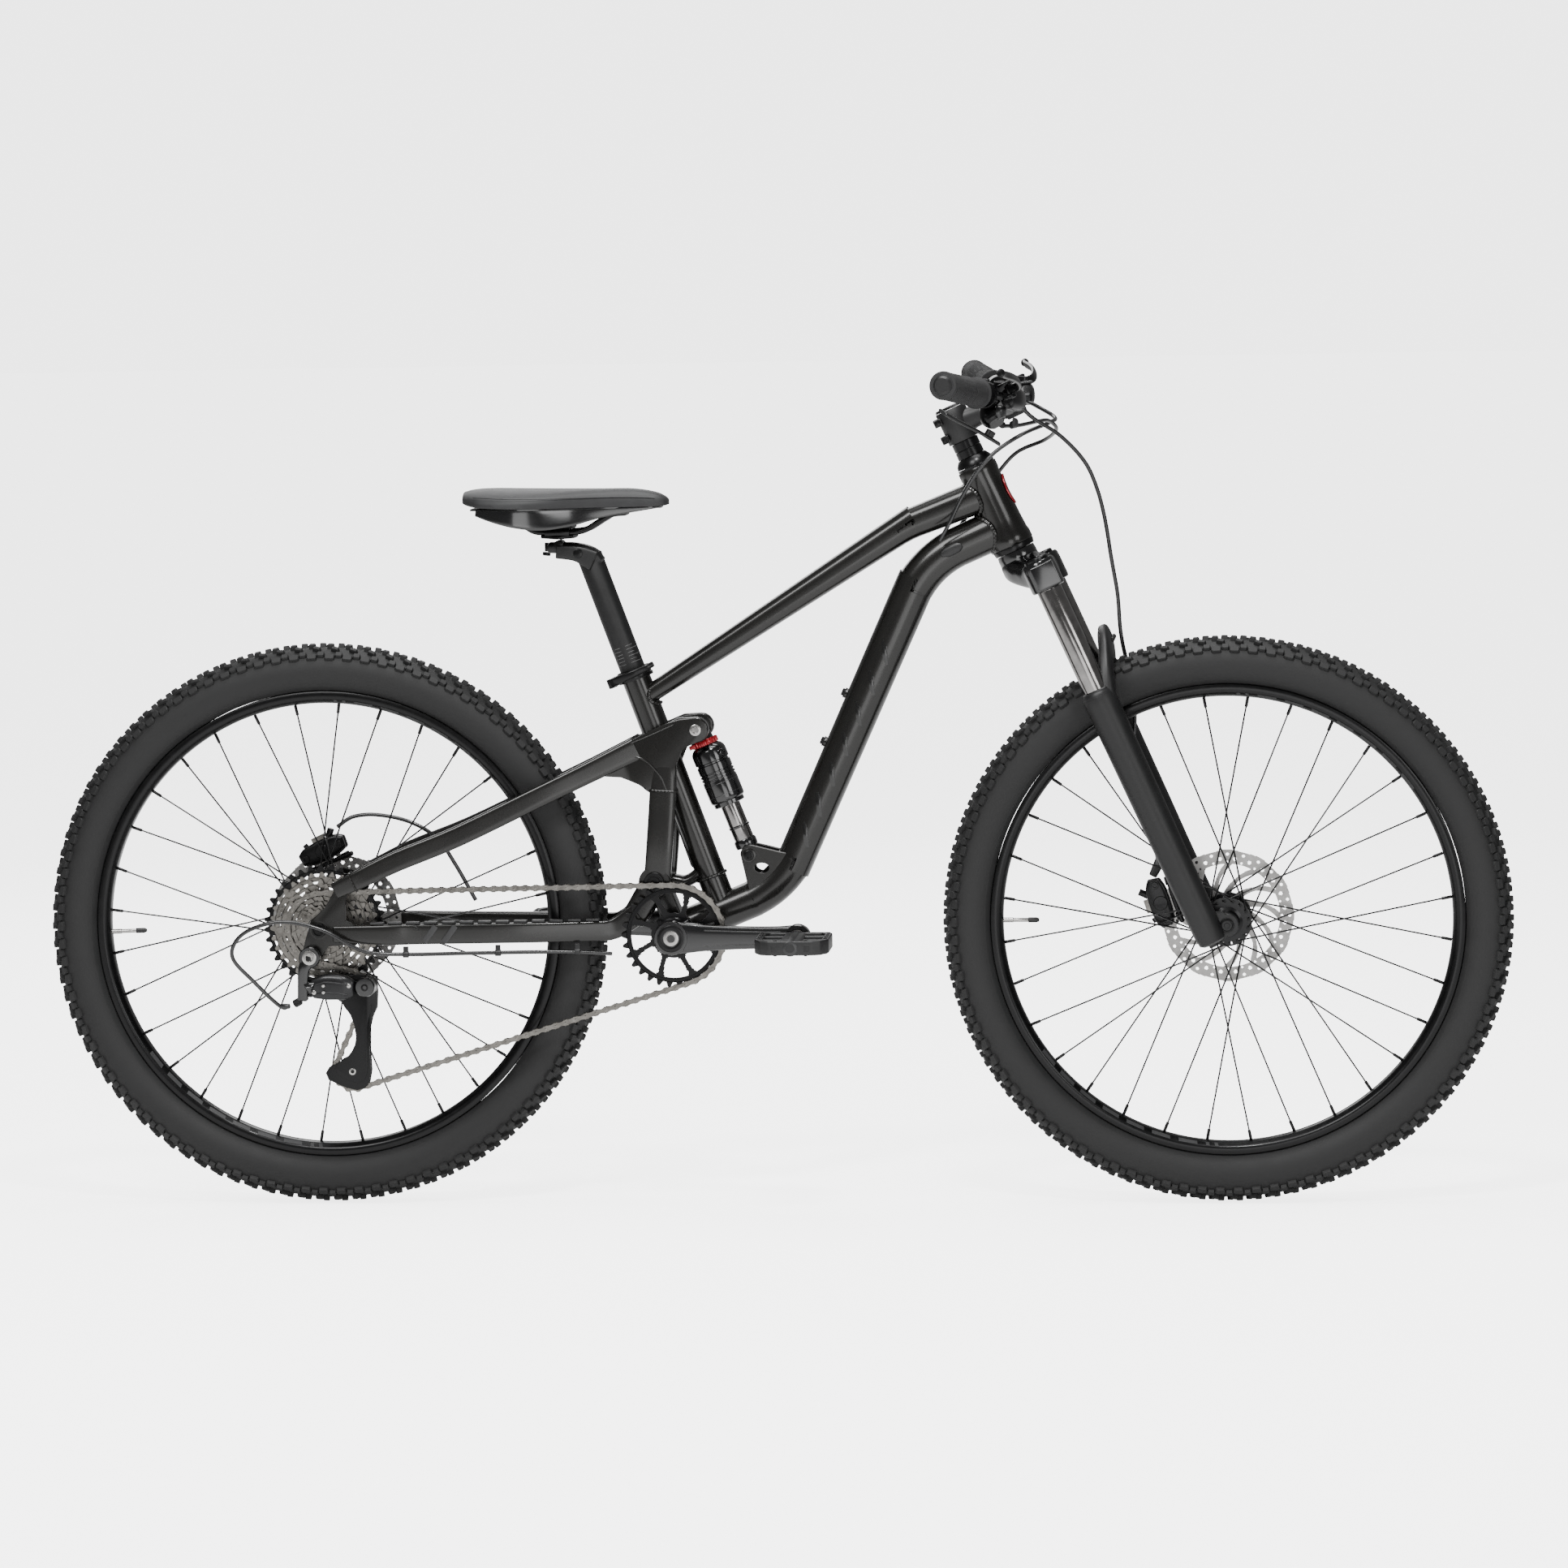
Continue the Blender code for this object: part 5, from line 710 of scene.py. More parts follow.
def make_saddle():
    rows = [(-0.1470, 0.030, 0.0748, 0.0660), (-0.1440, 0.045, 0.0762, 0.0610),
            (-0.130, 0.060, 0.0778, 0.0575), (-0.112, 0.0670, 0.0782, 0.0560),
            (-0.088, 0.0705, 0.0776, 0.0550), (-0.062, 0.0680, 0.0770, 0.0548),
            (-0.036, 0.0590, 0.0766, 0.0548), (-0.010, 0.0455, 0.0766, 0.0548),
            (0.016, 0.0340, 0.0768, 0.0548), (0.042, 0.0270, 0.0766, 0.0548), (0.066, 0.0230, 0.0748, 0.0548),
            (0.084, 0.0205, 0.0712, 0.0550), (0.094, 0.0160, 0.0668, 0.0555),
            (0.0985, 0.0095, 0.0632, 0.0566)]
    rings = []
    count = 56
    for x, half, top, low in smooth_rows(rows, 7):
        loop = []
        rear = min(max((-0.02 - x) / 0.10, 0.0), 1.0)
        for k in range(count):
            angle = 2 * math.pi * k / count
            c, s = math.cos(angle), math.sin(angle)
            across_y = half * math.copysign(abs(c) ** 0.72, c)
            if s >= 0:
                crown = (top - low) * (abs(s) ** 0.62) * (1 - 0.22 * rear * (across_y / max(half, 1e-6)) ** 2)
                groove = 0.0030 * math.exp(-(across_y / 0.011) ** 2) * min(max((0.05 - x) / 0.05, 0), 1)
                z = low + max(crown - groove, 0.0)
            else:
                z = low - 0.0006 * abs(s) ** 0.5
            loop.append(on_saddle(x, z, across_y))
        rings.append(loop)
    pad = piece("saddle_cover_pad", [skinned(rings)], COVER, "saddle", ["saddle_pad"], 60)

    seam = []
    for side in (-1, 1):
        seam.append(wire([on_saddle(x, low + 0.0065 + (top - low - 0.0065) * 0.35, side * half * 0.985)
                          for x, half, top, low in rows[2:12]], 0.0006, 6, 6))
    piece("saddle_seams", seam, PLASTIC, "saddle", [])

    panels = []
    for side in (-1, 1):
        low_edge = [(-0.128, 0.050, 0.046), (-0.105, 0.0620, 0.0385), (-0.080, 0.0630, 0.0320),
                    (-0.050, 0.0540, 0.0285), (-0.015, 0.0380, 0.0330), (0.020, 0.0270, 0.0420),
                    (0.055, 0.0205, 0.0475), (0.085, 0.0150, 0.0520)]
        stations = []
        for x, y, z in low_edge:
            top = 0.0553
            stations.append((on_saddle(x, (top + z) / 2, side * y), (top - z) / 2, 0.0016))
        panels.append(swept(stations, 16, 4.0, SIDE, 8))
    base = swept([(on_saddle(x, 0.0535), 0.0014, half) for x,
                  half in ((-0.135, 0.052), (-0.110, 0.063), (-0.080, 0.066), (-0.045, 0.058),
                           (-0.010, 0.041), (0.025, 0.028), (0.060, 0.021), (0.090, 0.016))], 32, 6.0)
    ribs = [block(on_saddle(-0.075 + 0.02 * k, 0.0495), (0.0025, 0.085 - 0.010 * k, 0.006), 0,
                  0.0006) for k in range(4)]
    piece("saddle_shell", panels + [base] + ribs, GLOSS, "saddle", ["saddle_base"])

    half = [(-0.084, 0.041), (-0.077, 0.036), (-0.064, 0.027), (-0.050, 0.0245), (-0.018, 0.0245),
            (0.000, 0.0275), (0.018, 0.038), (0.032, 0.0455)]
    right = [on_saddle(x, z, -0.022) for x, z in half]
    nose = [on_saddle(0.046, 0.0468, y) for y in (-0.012, 0.0, 0.012)]
    left = [Vector((p.x, -p.y, p.z)) for p in reversed(right)]
    rails = wire(right + nose + left, 0.0035, 8, 16)
    boots = [rod(right[0] + Vector((-0.006, 0, 0.005)), right[0] + Vector((0.006, 0, -0.005)), 0.0055,
                 sides=24)]
    boots.append(rod(left[-1] + Vector((-0.006, 0, 0.005)), left[-1] + Vector((0.006, 0, -0.005)), 0.0055,
                     sides=24))
    piece("saddle_rail_wire", [rails], BLACK, "saddle", ["saddle_rails"])
    piece("saddle_rail_boots", boots, PLASTIC, "saddle", [])

    grip = SADDLE
    low = swept([(grip + Vector((x, 0, -0.0061 + 0.0012 * abs(x) / 0.018)), 0.0026, 0.0275 - 0.10 * abs(x))
                 for x in (-0.019, -0.010, 0.0, 0.010, 0.019)], 32, 4.0)
    high = swept([(grip + Vector((x, 0, 0.0066)), 0.0028, 0.0275 - 0.08 * abs(x)) for x in (-0.017, 0.0,
                                                                                            0.017)], 32, 4.0)
    seats = [rod(grip + Vector((-0.015, y, 0)), grip + Vector((0.015, y, 0)), 0.0058,
                 sides=24) for y in (-0.022, 0.022)]
    bolt = hex_bolt(grip + Vector((0, 0, 0.0090)), Vector((0, 0, 1)), 0.0048, 0.0040)
    core = rod(grip - Vector((0, 0, 0.006)), grip + Vector((0, 0, 0.009)), 0.0100)
    piece("saddle_clamp_plates", [low, high, core] + seats + bolt, BLACK, "saddle", ["saddle_clamp"])


# ---------------------------------------------------------------- fork, stem and bar
CROWN_AHEAD = 0.0215
LEG_Y = 0.065
SEAL = -0.2535
STEM_LOW, STEM_HIGH = 0.0867, 0.1275
STEM_MIDDLE = (STEM_LOW + STEM_HIGH) / 2
BAR = steer(STEM_MIDDLE, 0.065)
BAR_END = 0.3245


def leg(along, ahead=0.0, side=0.0):
    return steer(along, CROWN_AHEAD + ahead, side * LEG_Y)


def make_fork_upper():
    rows = [(-1.0, 0.0170, 0.0170, CROWN_AHEAD, -0.0955), (-0.75, 0.0172, 0.0176, 0.0185, -0.0945),
            (-0.5, 0.0168, 0.0190, 0.0090, -0.0890), (-0.25, 0.0160, 0.0230, 0.0020, -0.0815),
            (0.0, 0.0150, 0.0246, 0.0, -0.0785), (0.25, 0.0160, 0.0230, 0.0020, -0.0815),
            (0.5, 0.0168, 0.0190, 0.0090, -0.0890), (0.75, 0.0172, 0.0176, 0.0185, -0.0945),
            (1.0, 0.0170, 0.0170, CROWN_AHEAD, -0.0955)]
    rings = [section(steer(along, ahead, y * LEG_Y), SIDE, tall, deep, 40, 3.2, steer.forward)
             for y, tall, deep, ahead, along in smooth_rows(rows, 5)]
    race = turned([(0.0143, -0.0745), (0.0225, -0.0745), (0.0240, -0.0720), (0.0240, -0.0640),
                   (0.0232, -0.0592), (0.0143, -0.0592)], HEAD, steer.up, 64)
    steerer = rod(steer(-0.075), steer(STEM_HIGH - 0.0015), 0.0143)
    meshes = [skinned(rings), race, steerer]
    for side in (-1, 1):
        meshes.append(turned([(0.0152, -0.1150), (0.0190, -0.1150), (0.0202, -0.1140), (0.0206, -0.1120),
                              (0.0206, -0.0900), (0.0200, -0.0815), (0.0185, -0.0795), (0.0152, -0.0790)],
                             steer(0, CROWN_AHEAD, side * LEG_Y), steer.up, 64))
        meshes.append(block(steer(-0.0985, CROWN_AHEAD + 0.004, side * 0.0840), (0.0300, 0.0050, 0.0300),
                            math.radians(-24.2), 0.0020))
    piece("fork_crown", meshes, GLOSS, "steering", ["fork_upper"])
    caps = []
    for side in (-1, 1):
        caps += [turned([(0, -0.0790), (0.0150, -0.0790), (0.0150, -0.0765), (0.0135, -0.0750),
                         (0.0075, -0.0750), (0.0070, -0.0770), (0, -0.0770)],
                         steer(0, CROWN_AHEAD, side * LEG_Y), steer.up, 48)]
    piece("fork_top_caps", caps, BLACK, "steering", [])
    legs = [rod(leg(SEAL - 0.085, 0, side), leg(-0.085, 0, side), 0.0150, sides=64,
                edge=0.0004) for side in (-1, 1)]
    piece("stanchions", legs, CHROME, "steering", [])


def make_fork_lowers():
    meshes, seals = [], []
    axle_along = (FRONT - HEAD).dot(steer.up)
    axle_ahead = (FRONT - HEAD).dot(steer.forward) - CROWN_AHEAD
    foot = axle_along - 0.013
    for side in (-1, 1):
        base = steer(0, CROWN_AHEAD, side * LEG_Y)
        meshes.append(turned([(0, foot - 0.0005), (0.0120, foot), (0.0160, foot + 0.0025),
                              (0.0178, foot + 0.012), (0.0184, foot + 0.040), (0.0186, foot + 0.12),
                              (0.0192, SEAL - 0.16), (0.0198, SEAL - 0.07),
                              (0.0203, SEAL - 0.020), (0.0206, SEAL - 0.0120), (0.0206, SEAL - 0.0030),
                              (0.0200, SEAL - 0.0010), (0.0156, SEAL - 0.0005), (0.0156, SEAL - 0.02),
                              (0, SEAL - 0.02)], base, steer.up, 64))
        seals.append(turned([(0.0151, SEAL - 0.003), (0.0196, SEAL - 0.003), (0.0196, SEAL + 0.0012),
                             (0.0182, SEAL + 0.0030), (0.0178, SEAL + 0.0052), (0.0166, SEAL + 0.0062),
                             (0.0151, SEAL + 0.0050)], base, steer.up, 64))
        centre = leg(axle_along, axle_ahead, 0)
        outline = []
        for degrees in range(-100, 121, 15):
            angle = math.radians(degrees)
            outline.append((centre.x + 0.0140 * math.cos(angle), centre.z + 0.0140 * math.sin(angle)))
        for along, ahead in ((foot + 0.040, 0.003), (foot + 0.030, -0.010), (foot + 0.004, -0.010)):
            point = leg(along, ahead, 0)
            outline.append((point.x, point.z))
        low, high = sorted((side * 0.0505, side * 0.0645))
        meshes.append(plate(outline, low, high, 0.0018))
        meshes.append(turned([(0.0062, 0), (0.0125, 0), (0.0140, 0.0012), (0.0140, 0.0118), (0.0128, 0.0130),
                              (0.0062, 0.0130)], FRONT + SIDE * side * 0.0510, SIDE * side, 48))
        meshes.append(rod(leg(foot - 0.004, 0, side), leg(foot + 0.003, 0, side), 0.0060))
    rows = [(1.02, SEAL - 0.034, 0.002, 0.0165, 0.0120), (0.98, SEAL - 0.008, 0.010, 0.0150, 0.0100),
            (0.86, SEAL + 0.020, 0.0200, 0.0135, 0.0085), (0.66, SEAL + 0.040, 0.0280, 0.0125, 0.0075),
            (0.38, SEAL + 0.053, 0.0325, 0.0118, 0.0070), (0.0, SEAL + 0.0590, 0.0345, 0.0118, 0.0070)]
    rows += [(-y, a, n, t, d) for y, a, n, t, d in reversed(rows[:-1])]
    arch = swept([(leg(a, n, y), t, d) for y, a, n, t, d in rows], 40, 3.0, steer.forward, 6)
    meshes.append(arch)
    meshes.append(wire([leg(SEAL + 0.050, 0.040, -0.30), leg(SEAL + 0.052, 0.0425, 0),
                        leg(SEAL + 0.050, 0.040, 0.30)],
                       0.0030, 6, 12))
    piece("fork_lower_legs", meshes, MATT, "fork_slider", ["fork_lowers"])
    piece("fork_seals", seals, PLASTIC, "fork_slider", [])
    face = swept([(leg(a - 0.001, n - 0.0072, y * 0.92), t * 0.62, 0.0012) for y, a, n, t, d in rows[2:-2]],
                 16, 3.0, steer.forward, 6)
    piece("arch_inner_face", [face], GREY, "fork_slider", [])

    axle = [rod(FRONT - SIDE * 0.064, FRONT + SIDE * 0.064, 0.0058)]
    for side in (-1, 1):
        axle.append(turned([(0, 0.0048), (0.0030, 0.0048), (0.0034, 0.0034), (0.0060, 0.0034),
                            (0.0066, 0.0048), (0.0080, 0.0044), (0.0085, 0.0032), (0.0085, 0), (0, 0)],
                            FRONT + SIDE * side * 0.0644,
                           SIDE * side, 48))
    piece("front_axle_nuts", axle, BLACK, "fork_slider", ["front_axle"])


def caliper(name, centre, tilt, y_range, body, node, rotor_y):
    low, high = y_range
    middle = (low + high) / 2
    turn = Matrix.Rotation(tilt, 3, "Y")

    def at(x, z, y=0.0):
        return Vector((centre.x, middle, centre.z)) + turn @ Vector((x, y, z))
    width = high - low
    halves = []
    for side in (-1, 1):
        thick = width / 2 - 0.0024
        y = side * (0.0024 + thick / 2) + (rotor_y - middle)
        halves.append(swept([(at(-0.028, 0, y), 0.0080, thick / 2), (at(-0.018, 0.001, y), 0.0120, thick / 2),
                             (at(0.0, 0.001, y), 0.0130, thick / 2), (at(0.018, 0.001, y), 0.0120, thick / 2),
                             (at(0.028, 0, y), 0.0080, thick / 2)], 32, 3.6))
        halves.append(turned([(0, 0.0012), (0.0080, 0.0012), (0.0086, 0.0004), (0.0090, -0.002), (0, -0.002)],
                             at(0, 0, y + side * thick / 2), SIDE * side, 48))
    halves.append(swept([(at(-0.014, 0.0095), 0.0035, width * 0.42),
                         (at(0.014, 0.0095), 0.0035, width * 0.42)], 24, 3.5))
    for x in (-0.0225, 0.0225):
        halves += hex_bolt(at(x, 0.000, -width / 2), SIDE * -1, 0.0045, 0.0035)
        halves.append(rod(at(x, -0.0125, 0), at(x, -0.020, 0), 0.0052))
    halves.append(swept([(at(-0.030, -0.0175), 0.0030, 0.0065), (at(0.0, -0.0160), 0.0026, 0.0060),
                         (at(0.030, -0.0175), 0.0030, 0.0065)], 24, 3.5))
    halves.append(rod(at(0.012, 0.012, 0), at(0.020, 0.021, 0), 0.0042))
    halves.append(rod(at(-0.018, 0.011, width * 0.2), at(-0.0195, 0.0165, width * 0.2), 0.0032))
    piece(name, halves, BLACK, body, [node])
    pads = [block(at(0, 0.0145, side * 0.0032 + rotor_y - middle), (0.016, 0.0022, 0.010), tilt, 0.0004)
            for side in (-1, 1)]
    piece(name + "_pads", pads, NICKEL, body, [])


def make_calipers():
    caliper("front_caliper", FRONT + Vector((-0.0805, 0, 0.0165)), math.radians(72 + 180), (0.0255, 0.0485),
            "fork_slider", "front_brake_caliper", 0.037)
    caliper("rear_caliper", REAR + Vector((-0.0140, 0, 0.0830)), math.radians(-25), (0.0400, 0.0640),
            "rear_triangle", "rear_brake_caliper", 0.052)
    lug = [swept([(leg(-0.4650, -0.012, 0.78), 0.0075, 0.0040),
                  (FRONT + Vector((-0.0900, 0.0450, 0.0480)), 0.0050, 0.0040)],
                 20, 3.0),
           swept([(leg(-0.5330, -0.012, 0.78), 0.0075, 0.0040),
                  (FRONT + Vector((-0.0690, 0.0450, -0.0130)), 0.0050, 0.0040)],
                 20, 3.0)]
    piece("front_caliper_lugs", lug, MATT, "fork_slider", [])
    lug = [swept([(REAR + Vector((-0.0350, 0.0620, 0.0700)), 0.0045, 0.0040),
                  (REAR + Vector((0.0150, 0.0620, 0.0560)), 0.0060, 0.0045),
                  (REAR + Vector((0.0400, 0.0680, 0.0560)), 0.0070, 0.0045)], 20, 3.0)]
    piece("rear_caliper_lug", lug, PAINT, "rear_triangle", [])


def make_stem():
    clamp = turned([(0.0146, STEM_LOW), (0.0183, STEM_LOW), (0.0190, STEM_LOW + 0.0010),
                    (0.0190, STEM_HIGH - 0.0010), (0.0183, STEM_HIGH), (0.0146, STEM_HIGH)], HEAD, steer.up,
                    64)
    arm = swept([(steer(STEM_MIDDLE, 0.004), 0.0165, 0.0165), (steer(STEM_MIDDLE, 0.022), 0.0135, 0.0150),
                 (steer(STEM_MIDDLE, 0.040), 0.0130, 0.0160), (steer(STEM_MIDDLE, 0.055), 0.0165, 0.0205)],
                 48, 2.6)
    ears = [block(steer(a, -0.0190), (0.0115, 0.0230, 0.0100), math.radians(-24.2), 0.0018) for a in (0.096,
                                                                                                      0.118)]
    hoop = ring(BAR - SIDE * 0.0225, BAR + SIDE * 0.0225, 0.0196, 0.0162, 64)
    piece("stem_body", [clamp, arm, hoop] + ears, MATT, "steering", ["stem"])
    face = swept([(BAR + steer.forward * 0.0172 + steer.up * a, 0.0026, 0.0220) for a in (-0.0130, -0.005,
                                                                                          0.005, 0.0130)],
                 40, 5.0)
    curl = ring(BAR - SIDE * 0.0215, BAR + SIDE * 0.0215, 0.0202, 0.0163, 64)
    bosses, bolts = [], []
    for a in (-0.0165, 0.0165):
        for y in (-0.0170, 0.0170):
            centre = BAR + steer.up * a + SIDE * y
            bosses.append(rod(centre - steer.forward * 0.006, centre + steer.forward * 0.0140, 0.0046))
            bolts += hex_bolt(centre + steer.forward * 0.0138, steer.forward, 0.0040, 0.0036)
    piece("stem_front_plate", [face, curl] + bosses, MATT, "steering", ["stem_faceplate"])
    for a, y in ((0.096, -1), (0.118, 1)):
        bolts += hex_bolt(steer(a, -0.0200, y * 0.0115), SIDE * y, 0.0044, 0.0040)
        bolts.append(rod(steer(a, -0.0200, -y * 0.0115), steer(a, -0.0200, -y * 0.0145), 0.0040))
    top = turned([(0, STEM_HIGH + 0.0002), (0.0178, STEM_HIGH + 0.0002), (0.0184, STEM_HIGH + 0.0012),
                  (0.0170, STEM_HIGH + 0.0034), (0.0060, STEM_HIGH + 0.0042), (0.0048, STEM_HIGH + 0.0026),
                  (0, STEM_HIGH + 0.0026)], HEAD, steer.up, 64)
    piece("stem_bolts", bolts + [top], BLACK, "steering", [])
    low = HEAD_HALF + 0.0035
    cover = turned([(0.0147, low), (0.0219, low), (0.0224, low + 0.0010), (0.0216, low + 0.0045),
                    (0.0186, 0.0640), (0.0172, 0.0655), (0.0147, 0.0655)], HEAD, steer.up, 64)
    stack = [turned([(0.0147, a), (0.0160, a), (0.0165, a + 0.0006), (0.0165, b - 0.0006), (0.0160, b),
                     (0.0147, b)],
                    HEAD, steer.up, 64) for a, b in ((0.0657, 0.0757), (0.0759, 0.0864))]
    piece("headset_cover_and_spacers", [cover] + stack, BLACK, "steering", ["headset_spacers"])


BAR_ROWS = [((0.000, 0.000, 0.0000), 0.0159), ((0.000, -0.030, 0.0000), 0.0159),
            ((0.001, -0.055, 0.0010), 0.0145), ((0.0005, -0.080, 0.0035), 0.0125),
            ((-0.003, -0.105, 0.0068), 0.0111), ((-0.0235, -0.190, 0.0148), 0.0111),
            ((-0.0565, -BAR_END, 0.0278), 0.0111)]


def bar_point(y):
    reach = abs(y)
    for (a, _), (b, _) in zip(BAR_ROWS, BAR_ROWS[1:]):
        if reach <= -b[1] or b[1] == -BAR_END:
            offset = Vector(a).lerp(Vector(b), (reach + a[1]) / (a[1] - b[1]))
            break
    return BAR + Vector((offset.x, math.copysign(reach, y), offset.z))


def bar_direction(y):
    return (bar_point(y + math.copysign(0.004, y)) - bar_point(y - math.copysign(0.004, y))).normalized()


def make_handlebar():
    right = [(BAR + Vector(offset), r, r) for offset, r in BAR_ROWS]
    left = [(Vector((p.x, -p.y, p.z)), r, r) for p, r, _ in reversed(right[1:])]
    piece("handlebar_tube", [swept(left + right, 48, 2.0, Vector((0, 0, 1)), 5)], MATT, "steering",
          ["handlebar"])
    for name, node, side in (("grip_sleeve_right", "grip_right", -1), ("grip_sleeve_left", "grip_left", 1)):
        start = bar_point(side * (BAR_END - 0.130))
        along = bar_direction(side * 0.26)
        profile = [(0.0115, 0), (0.0175, 0), (0.0185, 0.0008), (0.0185, 0.0036), (0.0172, 0.0046),
                   (0.0150, 0.0056)]
        position = 0.0070
        while position < 0.1260:
            ribbed = 0.0162 if position < 0.045 or position > 0.098 else 0.0157
            profile += [(0.0149, position), (ribbed, position + 0.0006), (ribbed, position + 0.0021),
                        (0.0149, position + 0.0027)]
            position += 0.0034
        profile += [(0.0160, 0.1285), (0.0166, 0.1300), (0.0166, 0.1320), (0.0156, 0.1335), (0.0110, 0.1338),
                    (0, 0.1338)]

        def bumps(angle, at, side=side):
            if 0.045 < at < 0.098:
                return 0.0006 if math.sin(angle * 9 + at * 900) > 0 else -0.0002
            return 0.0
        piece(name, [turned(profile, start, along, 72, 0, bumps)], GRIP, "steering", [node], 30)
        end = start + along * 0.1340
        cap = turned([(0, 0.0003), (0.0018, 0.0003), (0.0020, 0.0009), (0.0035, 0.0009), (0.0038, 0.0001),
                      (0.0122, 0.0001), (0.0126, -0.0004), (0.0126, -0.001), (0, -0.001)], end, along, 48)
        piece(name + "_cap", [cap], GREY, "steering", [])


LEVER_AHEAD = Vector((0.926, 0, 0.376)).normalized()
LEVER_TURN = Vector((-LEVER_AHEAD.z, 0, LEVER_AHEAD.x))


def make_controls():
    for label, side in (("right", -1), ("left", 1)):
        centre = bar_point(side * 0.163)
        along = bar_direction(side * 0.163)
        pin = joint_at["brake_" + label]
        hoop = ring(centre - along * 0.0070, centre + along * 0.0070, 0.0158, 0.0113, 64)
        cylinder = swept([(centre + Vector((0.0262, side * 0.006, -0.004)), 0.0080, 0.0060),
                          (centre + Vector((0.0275, side * -0.002, -0.004)), 0.0118, 0.0083),
                          (centre + Vector((0.0330, side * -0.020, -0.006)), 0.0134, 0.0100),
                          (centre + Vector((0.0362, side * -0.040, -0.008)), 0.0126, 0.0096),
                          (centre + Vector((0.0375, side * -0.054, -0.010)), 0.0092, 0.0080),
                          (centre + Vector((0.0376, side * -0.064, -0.012)), 0.0062, 0.0058)], 40, 2.8,
                          Vector((1, 0, 0)))
        lid = block(centre + Vector((0.0335, side * -0.024, 0.0068)), (0.0165, 0.0300, 0.0030),
                    math.radians(-8), 0.0010)
        arm = swept([(centre + Vector((0.008, 0, 0.0)), 0.0055, 0.0068),
                     (centre + Vector((0.018, 0, -0.002)), 0.0048, 0.0062),
                     (centre + Vector((0.026, 0, -0.003)), 0.0052, 0.0066)], 24, 2.8)
        base = pin - LEVER_AHEAD * 0.004
        forks = [rod(base + LEVER_TURN * (h - 0.0018), base + LEVER_TURN * (h + 0.0018),
                     0.0085) for h in (-0.0082, 0.0082)]
        forks.append(swept([(centre + Vector((0.0205, side * -0.004, -0.006)), 0.0122, 0.0036),
                            (centre + Vector((0.0225, side * -0.002, 0.014)), 0.0118, 0.0036)], 24, 3.4))
        nut = swept([(centre + Vector((0.0376, side * -0.064, -0.0125)), 0.0042, 0.0042),
                     (centre + Vector((0.0376, side * -0.0670, -0.0150)), 0.0036, 0.0036)], 6, 2.0,
                     Vector((1, 0, 0)), 1)
        piece("brake_master_body_" + label, [hoop, cylinder, arm] + forks, BLACK, "steering",
              ["brake_master_" + label])
        bolts = []
        for dy in (-0.0120, -0.0360):
            bolts += hex_bolt(centre + Vector((0.0335, side * dy, 0.0080)), Vector((0, 0, 1)), 0.0022, 0.0014)
        bolts += hex_bolt(centre + Vector((0.002, 0, 0.0152)), Vector((0.1, 0, 1)), 0.0038, 0.0036)
        bolts += [rod(pin - LEVER_TURN * 0.0108, pin + LEVER_TURN * 0.0108, 0.0030, sides=24)]
        piece("brake_master_lid_" + label, [lid, nut] + bolts, GREY, "steering", [])
        hub = rod(pin - LEVER_TURN * 0.0055, pin + LEVER_TURN * 0.0055, 0.0056)
        route = [(0.000, 0.004, 0.0000), (0.010, 0.022, 0.0045), (0.0105, 0.050, 0.0115),
                 (0.0050, 0.082, 0.0165), (-0.0020, 0.108, 0.0195), (-0.0040, 0.124, 0.0215)]
        blade = swept([(pin + Vector((x, side * y, z)), 0.0028, 0.0056 - 0.0002 * k)
                       for k, (x, y, z) in enumerate(route)], 28, 2.6, LEVER_TURN, 8)
        tip = rod(pin + Vector((-0.0040, side * 0.122, 0.0213)),
                  pin + Vector((-0.0042, side * 0.127, 0.0218)), 0.0050, sides=28)
        piece("brake_lever_blade_" + label, [hub, blade, tip], BLACK, "brake_lever_%s_body" % label,
              ["brake_lever_" + label])


